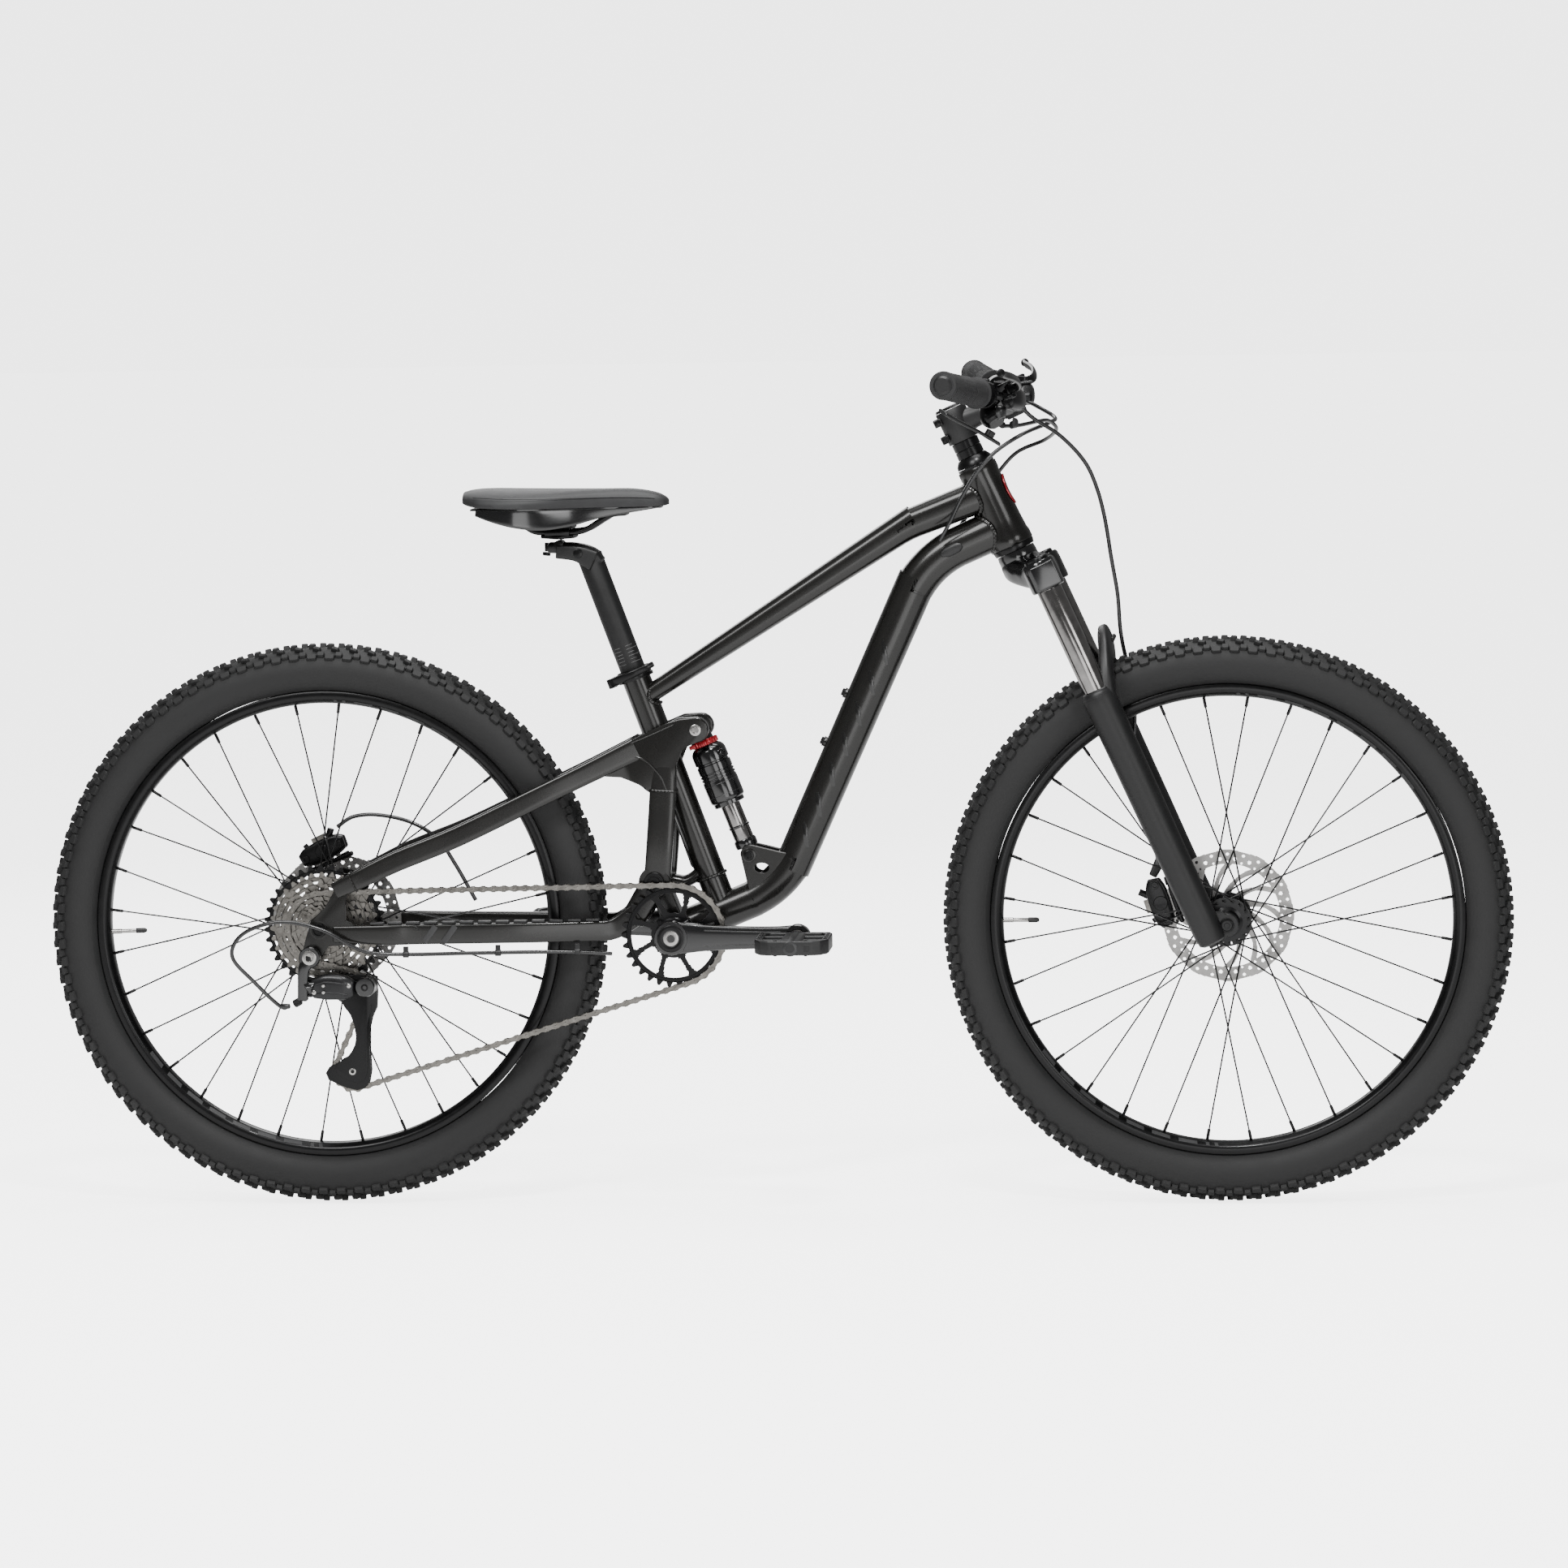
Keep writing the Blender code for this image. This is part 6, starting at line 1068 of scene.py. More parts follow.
def make_shifter():
    centre = bar_point(-0.137)
    along = bar_direction(-0.137)
    around = BAR - Vector((0.28636, 0, 0.96522))
    hoop = ring(centre - along * 0.0045, centre + along * 0.0045, 0.0134, 0.0113, 64)
    pod = swept([(around + Vector((0.2705, -0.137, 0.9650)), 0.0070, 0.0075),
                 (around + Vector((0.2725, -0.140, 0.9590)), 0.0118, 0.0130),
                 (around + Vector((0.2770, -0.144, 0.9515)), 0.0148, 0.0158),
                 (around + Vector((0.2805, -0.147, 0.9462)), 0.0118, 0.0142)],
                40, 2.8)
    cover = swept([(around + Vector((0.2815, -0.146, 0.9600)), 0.0085, 0.0100),
                   (around + Vector((0.2840, -0.147, 0.9560)), 0.0105, 0.0120),
                   (around + Vector((0.2870, -0.148, 0.9505)), 0.0065, 0.0100)], 32, 2.6)
    barrel = [rod(around + Vector((0.2850, -0.1320, 0.9440)), around + Vector((0.2885, -0.1285, 0.9405)),
                  0.0042)]
    barrel += [rod(around + Vector((0.2870, -0.1300, 0.9420)), around + Vector((0.2895, -0.1275, 0.9395)),
                   0.0032)]
    piece("shifter_pod", [hoop, pod] + barrel, BLACK, "steering", ["shifter_body"])
    piece("shifter_cover", [cover], GREY, "steering", [])
    pin = joint_at["shift_up_paddle"]
    tilt = Vector((0.52, 0, 0.855)).normalized()
    hub = rod(pin - tilt * 0.0030, pin + tilt * 0.0080, 0.0060)
    paddle = swept([(pin + Vector((0.012, 0.002, -0.0085)), 0.0022, 0.0082),
                    (pin + Vector((-0.010, -0.006, 0.0055)), 0.0021, 0.0070),
                    (pin + Vector((-0.032, -0.020, 0.0182)), 0.0022, 0.0092),
                    (pin + Vector((-0.051, -0.034, 0.0302)), 0.0024, 0.0108)],
                   32, 2.8, SIDE, 8)
    ribs = [swept([(pin + Vector((-0.036 - 0.0035 * k, -0.030 - 0.0024 * k, 0.0230 + 0.0022 * k)), 0.0006,
                    0.0006),
                   (pin + Vector((-0.036 - 0.0035 * k, -0.016 - 0.0024 * k, 0.0230 + 0.0022 * k)), 0.0006,
                    0.0006)], 8, 2.0,
                  Vector((1, 0, 0)), 2) for k in range(4)]
    piece("shift_paddle", [hub, paddle] + ribs, PLASTIC, "thumb_lever", ["shifter_thumb_lever"])
    pin = joint_at["shift_release"]
    trigger = swept([(pin, 0.0045, 0.0030), (pin + Vector((0.006, -0.010, 0.002)), 0.0050, 0.0026),
                     (pin + Vector((0.0055, -0.018, 0.003)), 0.0058, 0.0024),
                     (pin + Vector((0.004, -0.026, 0.004)), 0.0056, 0.0020)], 24, 2.8, Vector((1, 0, 0)))
    piece("release_trigger", [trigger], PLASTIC, "release_lever", ["shifter_release_lever"])


# ---------------------------------------------------------------- wheels
KNOB_PITCHES = 94


def knob(bm, at, outward, along, length, width, height, taper=0.78):
    """A tyre knob: a low block with chamfered sides, sunk a little into the tyre."""
    sideways = outward.cross(along).normalized()
    rows = []
    for lift, shrink in ((-0.0015, 1.0), (height * 0.80, 0.5 + taper / 2), (height, taper)):
        corners = []
        for a, b in ((-1, -0.6), (-0.8, -1), (0.8, -1), (1, -0.6), (1, 0.6), (0.8, 1), (-0.8, 1), (-1, 0.6)):
            corners.append(bm.verts.new(at + outward * lift + along * (a * length / 2 * shrink)
                                        + sideways * (b * width / 2 * shrink)))
        rows.append(corners)
    for low, high in zip(rows, rows[1:]):
        for k in range(8):
            n = (k + 1) % 8
            bm.faces.new((low[k], low[n], high[n], high[k]))
    bm.faces.new(rows[-1])


def make_tyre(prefix, centre, body):
    profile = [(0.2846, -0.0122), (0.2852, -0.0132), (0.2866, -0.0150)]
    steps = 30
    for k in range(steps + 1):
        angle = math.radians(-136 + 272 * k / steps)
        profile.append((0.3090 + 0.0278 * math.cos(angle), 0.0274 * math.sin(angle)))
    profile += [(0.2866, 0.0150), (0.2852, 0.0132), (0.2846, 0.0122)]
    carcass = turned(profile, centre, sides=192)
    lines = [turned([(r, y * s), (r + 0.0012, (y + 0.0006) * s), (r + 0.0024, y * s)], centre, sides=192)
             for s in (-1, 1) for r, y in ((0.2905, 0.0205), (0.2950, 0.0236))]
    bm = bmesh.new()
    for k in range(KNOB_PITCHES):
        base = 2 * math.pi * k / KNOB_PITCHES
        for side in (-1, 1):
            kinds = ((0.0, 54, 0.0130, 0.0078, 0.0040, 0.0), (0.5, 47, 0.0095, 0.0070, 0.0042, 0.0),
                     (0.25 if side > 0 else 0.75, 29, 0.0105, 0.0062, 0.0045, 0.35),
                     (0.55 if side > 0 else 0.05, 11, 0.0085, 0.0082, 0.0048, 0.12))
            for shift, degrees, length, width, height, skew in kinds:
                angle = base + 2 * math.pi * shift / KNOB_PITCHES
                tilt = math.radians(degrees) * side
                radial = Vector((math.cos(angle), 0, math.sin(angle)))
                forward = Vector((-math.sin(angle), 0, math.cos(angle)))
                outward = radial * math.cos(tilt) + SIDE * math.sin(tilt)
                point = centre + radial * (0.3090 + 0.0278 * math.cos(tilt)) + SIDE * 0.0274 * math.sin(tilt)
                sideways = outward.cross(forward)
                along = (forward + sideways * skew * side).normalized()
                knob(bm, point, outward, along, length, width, height)
    knobs = done(bm, "knobs")
    piece(prefix + "_tyre_tread", [carcass, knobs] + lines, RUBBER, body, [prefix + "_tyre"], 30)


def make_rim(prefix, centre, body, phase):
    half = [(0.2690, 0.0), (0.2690, 0.0060), (0.2698, 0.0085), (0.2735, 0.0128), (0.2752, 0.0140),
            (0.2775, 0.0145), (0.2830, 0.0145), (0.2840, 0.0138), (0.2838, 0.0118)]
    profile = [(r, -y) for r, y in reversed(half)] + half[1:] + [(0.2800, 0.0110), (0.2800, -0.0110)]
    piece(prefix + "_rim_hoop", [turned(profile, centre, sides=192)], BLACK, body, [prefix + "_rim"])
    marks = []
    for side in (-1, 1):
        for start in (35, 215):
            for k in range(9):
                angle = math.radians(start + (7.0 * k if k < 7 else 49 + 2.2 * (k - 7)))
                width = math.radians(4.8 if k < 7 else 0.9)
                rows = []
                for r, y, lean in ((0.2702, 0.0090, 0.0), (0.2720, 0.0112, 0.0025), (0.2738, 0.0131, 0.0050)):
                    rows.append([(r, side * (y + 0.0004), angle + lean),
                                 (r, side * (y + 0.0004), angle + width + lean)])
                bm = bmesh.new()
                verts = [[bm.verts.new(centre + Vector((r * math.cos(a), y, r * math.sin(a)))) for r, y,
                          a in row]
                         for row in rows]
                for low, high in zip(verts, verts[1:]):
                    bm.faces.new((low[0], low[1], high[1], high[0]))
                mesh = bpy.data.meshes.new("mark")
                bm.to_mesh(mesh)
                bm.free()
                marks.append(mesh)
    piece(prefix + "_rim_marks", marks, SPRAY, body, [])
    valve = []
    angle = math.pi + phase
    arm = Vector((math.cos(angle), 0, math.sin(angle)))
    valve.append(turned([(0, 0), (0.0030, 0), (0.0030, 0.012), (0.0025, 0.0125), (0.0025, 0.0300),
                         (0.0020, 0.0310), (0, 0.0310)], centre + arm * 0.2695, -arm, 24))
    piece(prefix + "_valve_stem", valve, SILVER, body, [])
    cap = turned([(0, 0), (0.0032, 0), (0.0032, 0.010), (0.0018, 0.0130), (0, 0.0132)], centre + arm * 0.2390,
                 -arm, 24)
    piece(prefix + "_valve_cap", [cap], PLASTIC, body, [])


def make_spokes(prefix, centre, body, phase, flanges, hub_profile):
    lace = 3 * 2 * math.pi / 16
    parts, nipples = [], []
    for k in range(32):
        side = k % 2
        lean = 1 if (k // 2) % 2 else -1
        flange_y, flange_r = flanges[side]
        rim_angle = 2 * math.pi * (k + 0.5) / 32 + phase
        hub_angle = rim_angle + lean * lace
        start = centre + Vector((flange_r * math.cos(hub_angle), flange_y + lean * 0.0018,
                                 flange_r * math.sin(hub_angle)))
        end = centre + Vector((0.2688 * math.cos(rim_angle), 0.0035 * (1 if side else -1),
                               0.2688 * math.sin(rim_angle)))
        run = (end - start).normalized()
        parts.append(rod(start, end, 0.0010, sides=8, edge=0.0001))
        parts.append(rod(start - SIDE * lean * 0.0040, start + SIDE * lean * 0.0012, 0.0017, sides=10,
                         edge=0.0002))
        nipples.append(rod(end - run * 0.0125, end, 0.0019, sides=12, edge=0.0004))
    for flange_y, flange_r in flanges:
        parts.append(polar_plate(centre, flange_y - 0.0014, flange_y + 0.0014, 0.0150, 0.0292, 14, 192,
                                 lambda r, a,
                                 fr=flange_r: not (abs(r - fr) < 0.0013 and math.cos(a * 16) < -0.82)))
    parts.append(turned(hub_profile, centre, sides=64))
    piece(prefix + "_hub_and_spokes", parts, BLACK, body, [prefix + "_hub_spokes"])
    piece(prefix + "_nipples", nipples, BLACK, body, [])


def make_rotor(prefix, centre, y, body):
    """Brake disc: a drilled track on swept arms."""
    def metal(radius, angle):
        if radius > 0.0625:
            wave = 0.0008 * math.cos(angle * 12)
            if radius > 0.0792 + wave:
                return False
            for ring_r, count, size, shift in ((0.0745, 24, 0.0019, 0.0), (0.0690, 24, 0.0023, 0.5),
                                                               (0.0652, 24, 0.0014, 0.0)):
                step = 2 * math.pi / count
                near = ((angle / step + shift + 0.5) % 1 - 0.5) * step * ring_r
                if math.hypot(near, radius - ring_r) < size:
                    return False
            return True
        if radius < 0.0285:
            step = 2 * math.pi / 6
            near = ((angle / step + 0.5) % 1 - 0.5) * step * 0.0220
            return math.hypot(near, radius - 0.0220) > 0.0028 and radius > 0.0175
        swirl = angle + (radius - 0.0285) * 16
        arm = 2 * math.pi / 12
        near = abs((swirl / arm + 0.5) % 1 - 0.5) * arm * radius
        return near < 0.0028 + 0.0020 * abs(radius - 0.045) / 0.017
    disc = polar_plate(centre, y - 0.0009, y + 0.0009, 0.0170, 0.0800, 84, 480, metal)
    piece(prefix + "_brake_disc", [disc], BRUSHED, body, [prefix + "_rotor"], 25)
    bolts = []
    for k in range(6):
        angle = 2 * math.pi * k / 6
        bolts += hex_bolt(centre + Vector((0.0220 * math.cos(angle), y + 0.0009, 0.0220 * math.sin(angle))),
                          SIDE, 0.0040, 0.0020)
    piece(prefix + "_disc_bolts", bolts, BLACK, body, [])


def make_wheels():
    front_hub = [(0.0070, -0.0478), (0.0118, -0.0478), (0.0124, -0.0470), (0.0130, -0.0400),
                 (0.0150, -0.0330), (0.0185, -0.0315), (0.0185, -0.0285), (0.0165, -0.0262),
                 (0.0150, -0.0200), (0.0145, -0.0050), (0.0150, 0.0100),
                 (0.0165, 0.0180), (0.0190, 0.0205), (0.0190, 0.0235), (0.0200, 0.0250), (0.0205, 0.0300),
                 (0.0285, 0.0345), (0.0285, 0.0361), (0.0160, 0.0361), (0.0140, 0.0400), (0.0124, 0.0470),
                 (0.0118, 0.0478), (0.0070, 0.0478)]
    rear_hub = [(0.0070, -0.0653), (0.0130, -0.0653), (0.0140, -0.0640), (0.0150, -0.0560), (0.0150, -0.0250),
                (0.0190, -0.0225), (0.0190, -0.0195), (0.0170, -0.0172), (0.0155, -0.0080), (0.0155, 0.0180),
                (0.0170, 0.0300), (0.0190, 0.0325), (0.0190, 0.0355), (0.0200, 0.0380), (0.0205, 0.0440),
                (0.0285, 0.0480), (0.0285, 0.0511), (0.0160, 0.0511), (0.0140, 0.0560), (0.0124, 0.0645),
                (0.0118, 0.0653), (0.0070, 0.0653)]
    make_tyre("front", FRONT, "front_wheel")
    make_tyre("rear", REAR, "rear_wheel")
    make_rim("front", FRONT, "front_wheel", 0.0)
    make_rim("rear", REAR, "rear_wheel", math.radians(2.0))
    make_spokes("front", FRONT, "front_wheel", 0.0, ((-0.030, 0.0255), (0.022, 0.0255)), front_hub)
    make_spokes("rear", REAR, "rear_wheel", math.radians(2.0), ((-0.021, 0.0255), (0.034, 0.0255)), rear_hub)
    make_rotor("front", FRONT, 0.037, "front_wheel")
    make_rotor("rear", REAR, 0.052, "rear_wheel")
    axle = [rod(REAR - SIDE * 0.0755, REAR + SIDE * 0.0755, 0.0058)]
    for side in (-1, 1):
        axle.append(turned([(0, 0.0042), (0.0036, 0.0042), (0.0040, 0.0020), (0.0060, 0.0020),
                            (0.0064, 0.0046), (0.0080, 0.0044), (0.0085, 0.0034), (0.0085, 0), (0, 0)],
                            REAR + SIDE * side * 0.0759,
                           SIDE * side, 48))
    piece("rear_axle_nuts", axle, BLACK, "rear_triangle", ["rear_axle"])


# ---------------------------------------------------------------- swingarm and shock
SHOCK_LENGTH = 0.165
SHOCK_HEAD = shock(SHOCK_LENGTH)


def make_swingarm():
    meshes = []
    for side in (-1, 1):
        def at(point, y, side=side):
            return Vector((point.x, side * y, point.z))

        def pv(x, z, y):
            return at(PIVOT + Vector((x, 0, z)), y)

        def ax(x, z, y):
            return at(REAR + Vector((x, 0, z)), y)
        stay = [(pv(-0.020, 0.161, 0.0328), 0.0140, 0.0068), (pv(-0.080, 0.1322, 0.0400), 0.0128, 0.0070),
                (pv(-0.140, 0.104, 0.0480), 0.0125, 0.0070), (pv(-0.235, 0.0592, 0.0590), 0.0125, 0.0065),
                (ax(0.095, 0.0825, 0.0675), 0.0125, 0.0062), (ax(0.052, 0.0625, 0.0722), 0.0115, 0.0058),
                (ax(0.020, 0.0475, 0.0722), 0.0098, 0.0048)]
        chainstay = [(pv(-0.022, -0.038, 0.0345), 0.0140, 0.0075),
                     (pv(-0.050, -0.056, 0.0385), 0.0125, 0.0050),
                     (pv(-0.078, -0.058, 0.0430), 0.0122, 0.0055),
                     (pv(-0.160, -0.058, 0.0560), 0.0122, 0.0065),
                     (ax(0.125, -0.006, 0.0670), 0.0122, 0.0062), (ax(0.082, -0.006, 0.0728), 0.0122, 0.0058),
                     (ax(0.018, -0.005, 0.0728), 0.0100, 0.0050)]
        neck = [(pv(0.0, 0.0, 0.0345), 0.0158, 0.0060), (pv(-0.028, -0.046, 0.0350), 0.0148, 0.0060)]
        upright = [(pv(0.0035, 0.006, 0.0345), 0.0160, 0.0060), (pv(0.0070, 0.046, 0.0350), 0.0160, 0.0066),
                   (pv(0.0110, 0.100, 0.0335), 0.0160, 0.0066), (pv(0.0130, 0.145, 0.0320), 0.0160, 0.0066)]
        meshes += [swept(stay, 40, 5.0, steps=4), swept(chainstay, 40, 5.0, steps=4),
                   swept(neck, 40, 5.0, steps=3), swept(upright, 40, 5.0, steps=4)]
        outline = [(PIVOT.x + x, PIVOT.z + z) for x,
                   z in ((-0.060, 0.149), (-0.034, 0.167), (-0.012, 0.178), (0.012, 0.1895),
                                                         (0.032, 0.1980))]
        outline += [(SHOCK_HEAD.x + 0.0155 * math.cos(a), SHOCK_HEAD.z + 0.0155 * math.sin(a))
                    for a in (math.radians(d) for d in range(90, -91, -15))]
        outline += [(PIVOT.x + x, PIVOT.z + z) for x, z in
                    ((0.040, 0.1655), (0.033, 0.1600), (0.0290, 0.1510), (0.0275, 0.140), (0.0265, 0.128),
                     (0.022, 0.110), (0.010, 0.1085), (-0.004, 0.108), (-0.010, 0.1120), (-0.015, 0.120),
                     (-0.024, 0.1240), (-0.038, 0.1268), (-0.060, 0.1280))]
        low, high = sorted((side * 0.0250, side * 0.0388))
        meshes.append(plate(outline, low, high, 0.0026))
        crease = [pv(-0.050, 0.150, 0.0390), pv(-0.014, 0.1500, 0.0392), pv(0.008, 0.1300, 0.0392),
                  pv(0.016, 0.112, 0.0390)]
        meshes.append(swept([(p, 0.0013, 0.0010) for p in crease], 12, 2.0))
        meshes.append(swept([(pv(-0.046, 0.1600, 0.0388), 0.0010, 0.0009),
                             (pv(-0.006, 0.1760, 0.0389), 0.0010, 0.0009),
                             (pv(0.026, 0.1900, 0.0388), 0.0010, 0.0009)], 12, 2.0))
        meshes.append(turned([(0.0082, 0.0241), (0.0186, 0.0241), (0.0190, 0.0248), (0.0190, 0.0398),
                              (0.0182, 0.0406), (0.0082, 0.0406)], PIVOT, SIDE * side, 64))
        drop = [(0.024, 0.058), (0.037, 0.050), (0.0305, 0.030), (0.030, 0.010), (0.045, 0.006),
                (0.045, -0.018), (0.010, -0.018), (-0.008, -0.012), (-0.014, 0.000), (-0.010, 0.012),
                (0.008, 0.026)]
        if side < 0:
            drop = drop[:7] + [(0.004, -0.026), (-0.001, -0.040), (-0.0060, -0.0445), (-0.011, -0.045),
                               (-0.0165, -0.0430), (-0.020, -0.038), (-0.021, -0.026),
                               (-0.016, -0.008)] + drop[9:]
        low, high = sorted((side * 0.0682, side * 0.0753))
        meshes.append(plate([(REAR.x + x, REAR.z + z) for x, z in drop], low, high, 0.0014))
        meshes.append(turned([(0.0062, 0.0670), (0.0110, 0.0670), (0.0115, 0.0676), (0.0115, 0.0758),
                              (0.0062, 0.0758)],
                             REAR, SIDE * side, 48))
        joint = meet(pv(0.0120, 0.110, 0.0335),
                     (pv(0.0070, 0.046, 0.0350) - pv(0.0130, 0.145, 0.0320)).normalized(), (0.0163, 0.0069),
                     lambda p: False, squareness=5.0)
        meshes.append(weld(joint, 0.0016))
        meshes.append(weld(meet(ax(0.042, 0.0578, 0.0722), Vector((0.9, 0, 0.42)).normalized(),
                                (0.0112, 0.0058), lambda p: False, squareness=5.0), 0.0014))
    meshes.append(swept([(PIVOT + Vector((-0.086, y, 0.129)), 0.0068, 0.0068) for y in (-0.040, -0.02, 0.0,
                                                                                        0.02, 0.040)],
                        24, 2.2, Vector((1, 0, 0))))
    meshes.append(swept([(PIVOT + Vector((-0.040, y, -0.054)), 0.0088, 0.0088) for y in (-0.036, -0.018, 0.0,
                                                                                         0.018, 0.036)],
                        24, 2.6, Vector((1, 0, 0))))
    piece("swingarm_tubes", meshes, PAINT, "rear_triangle", ["swingarm"])

    guard = []
    for k in range(13):
        x = -0.075 - 0.0215 * k
        if x > -0.16:
            y = -(0.0430 + (0.0560 - 0.0430) * (x + 0.078) / -0.082)
        else:
            y = -0.0560 - 0.0110 * (-0.16 - x) / 0.118
        guard.append(block(PIVOT + Vector((x, y, -0.0443)), (0.0165, 0.0110, 0.0030), 0, 0.0012))
    piece("chainstay_guard", guard, PLASTIC, "rear_triangle", [])
    stripes = []
    for x in (-0.238, -0.262, -0.286):
        start = PIVOT + Vector((x, -0.0729, -0.0480))
        stripes.append(swept([(start, 0.0009, 0.0035),
                              (start + Vector((-0.014, -0.0010, -0.0190)), 0.0009, 0.0035)], 12, 4.0,
                             Vector((1, 0, 0)), 2))
    piece("chainstay_stripes", stripes, SPRAY, "rear_triangle", [])
    clips = []
    for x in (-0.440, -0.330, -0.235):
        y = -0.0765 + (x + 0.440) * 0.115
        clips.append(rod(Vector((x - 0.0035, y, 0.3125)), Vector((x + 0.0035, y, 0.3125)), 0.0040, sides=24))
        clips.append(block(Vector((x, y, 0.3180)), (0.0060, 0.0040, 0.0080), 0, 0.0006))
    piece("housing_clips", clips, PLASTIC, "rear_triangle", [])


def make_shock():
    def groove(low, high, count, outer, depth):
        rows = []
        step = (high - low) / count
        for k in range(count):
            a = low + step * k
            rows += [(outer, a + step * 0.12), (outer, a + step * 0.62), (outer - depth, a + step * 0.74),
                     (outer - depth, a + step * 0.98)]
        return rows
    can = [(0.0138, 0.0652), (0.0176, 0.0652), (0.0190, 0.0660), (0.0190, 0.0705), (0.0204, 0.0715)]
    can += [(0.0212, 0.0730), (0.0215, 0.0760), (0.0215, 0.0960)] + groove(0.0965, 0.1085, 3, 0.0213, 0.0012)
    can += [(0.0211, 0.1090), (0.0211, 0.1180), (0.0196, 0.1190), (0.0196, 0.1206), (0.0213, 0.1216),
            (0.0213, 0.1330), (0.0205, 0.1360), (0.0180, 0.1395), (0.0150, 0.1415), (0.0128, 0.1450),
            (0.0112, 0.1600), (0, 0.1600)]
    body = turned([(0, 0.0652)] + can, SHOCK_FOOT, shock.up, 64)
    eye = turned([(0.0041, -0.0242), (0.0095, -0.0242), (0.0100, -0.0236), (0.0100, -0.0110),
                  (0.0118, -0.0100), (0.0118, 0.0100), (0.0100, 0.0110), (0.0100, 0.0236), (0.0095, 0.0242),
                  (0.0041, 0.0242)], SHOCK_HEAD,
                 SIDE, 48)
    side_valve = rod(shock(0.1280, 0.012, -0.012), shock(0.1280, 0.0185, -0.0190), 0.0042, sides=32)
    piece("shock_can_body", [body, eye, side_valve], GLOSS, "rear_triangle", ["shock_air_can"])
    bolts = []
    for side in (-1, 1):
        bolts += hex_bolt(SHOCK_HEAD + SIDE * side * 0.0390, SIDE * side, 0.0068, 0.0026)
    bolts.append(rod(SHOCK_HEAD - SIDE * 0.0395, SHOCK_HEAD + SIDE * 0.0395, 0.0039))
    piece("shock_upper_bolt", bolts, SILVER, "rear_triangle", [])

    def teeth(angle, along):
        return 0.0006 * (1 if math.cos(angle * 20) > 0 else -1)
    dial = turned([(0.0100, 0.1420), (0.0158, 0.1422), (0.0162, 0.1430), (0.0162, 0.1478), (0.0155, 0.1490),
                   (0.0100, 0.1492)], SHOCK_FOOT, shock.up, 120, 0, teeth)
    tab = block(shock(0.1455, -0.0150, -0.0090), (0.0080, 0.0060, 0.0050), math.radians(-21), 0.0008)
    piece("shock_dial", [dial, tab], RED, "rear_triangle", [])
    marks = [turned([(0.0216, a), (0.02172, a + 0.0003), (0.0216, a + 0.0006)], SHOCK_FOOT, shock.up, 64)
             for a in (0.0790, 0.0935)]
    piece("shock_can_lines", marks, GREY, "rear_triangle", [])
    shaft = rod(shock(0.012), shock(0.087), 0.0119, sides=64)
    foot = turned([(0.0046, -0.0132), (0.0098, -0.0132), (0.0105, -0.0125), (0.0105, 0.0125),
                   (0.0098, 0.0132), (0.0046, 0.0132)], SHOCK_FOOT, SIDE, 48)
    collar = turned([(0.0100, 0.0090), (0.0135, 0.0100), (0.0138, 0.0130), (0.0138, 0.0175), (0.0128, 0.0195),
                     (0.0100, 0.0195)], SHOCK_FOOT, shock.up, 64)
    band = turned([(0.0118, 0.0345), (0.0128, 0.0350), (0.0130, 0.0362), (0.0128, 0.0374), (0.0118, 0.0380)],
                  SHOCK_FOOT, shock.up, 64)
    piece("shock_shaft_body", [shaft], CHROME, "shock_lower", ["shock_shaft"])
    piece("shock_shaft_foot", [foot, collar, band], GLOSS, "shock_lower", [])


# ---------------------------------------------------------------- drivetrain
def pitch_radius(teeth):
    return PITCH / (2 * math.sin(math.pi / teeth))


def toothed(centre, y_low, y_high, teeth, r_in, keep=None, start=0.0, depth=0.0024):
    """A sprocket: rounded teeth round the pitch circle, with holes where keep(radius, angle) is false."""
    pitch = pitch_radius(teeth)
    root, tip = pitch - 0.0040, pitch + depth
    per_tooth = 12
    sectors = teeth * per_tooth
    meshes = []
    if keep:
        meshes.append(polar_plate(centre, y_low, y_high, r_in, root + 0.0002, 22, max(192, teeth * 8), keep))
        r_in = root - 0.0006
    bm = bmesh.new()
    rings = []
    for y, cut in ((y_low, 0.0003), (y_low + 0.0004, 0.0), (y_high - 0.0004, 0.0), (y_high, 0.0003)):
        inner, outer = [], []
        for k in range(sectors):
            angle = start + 2 * math.pi * k / sectors
            phase = abs((k / per_tooth) % 1 - 0.5) * 2
            lift = max(0.0, min(1.0, (phase - 0.22) / 0.62))
            lift = lift * lift * (3 - 2 * lift)
            reach = root + (tip - root) * lift - cut
            inner.append(bm.verts.new(centre + Vector((r_in * math.cos(angle), y, r_in * math.sin(angle)))))
            outer.append(bm.verts.new(centre + Vector((reach * math.cos(angle), y, reach * math.sin(angle)))))
        rings.append((inner, outer))
    for (inner, outer), (inner2, outer2) in zip(rings, rings[1:]):
        for k in range(sectors):
            n = (k + 1) % sectors
            bm.faces.new((outer[k], outer[n], outer2[n], outer2[k]))
            bm.faces.new((inner[n], inner[k], inner2[k], inner2[n]))
    for inner, outer in (rings[0], rings[-1]):
        for k in range(sectors):
            n = (k + 1) % sectors
            bm.faces.new((inner[k], inner[n], outer[n], outer[k]))
    meshes.append(done(bm, "teeth"))
    return meshes


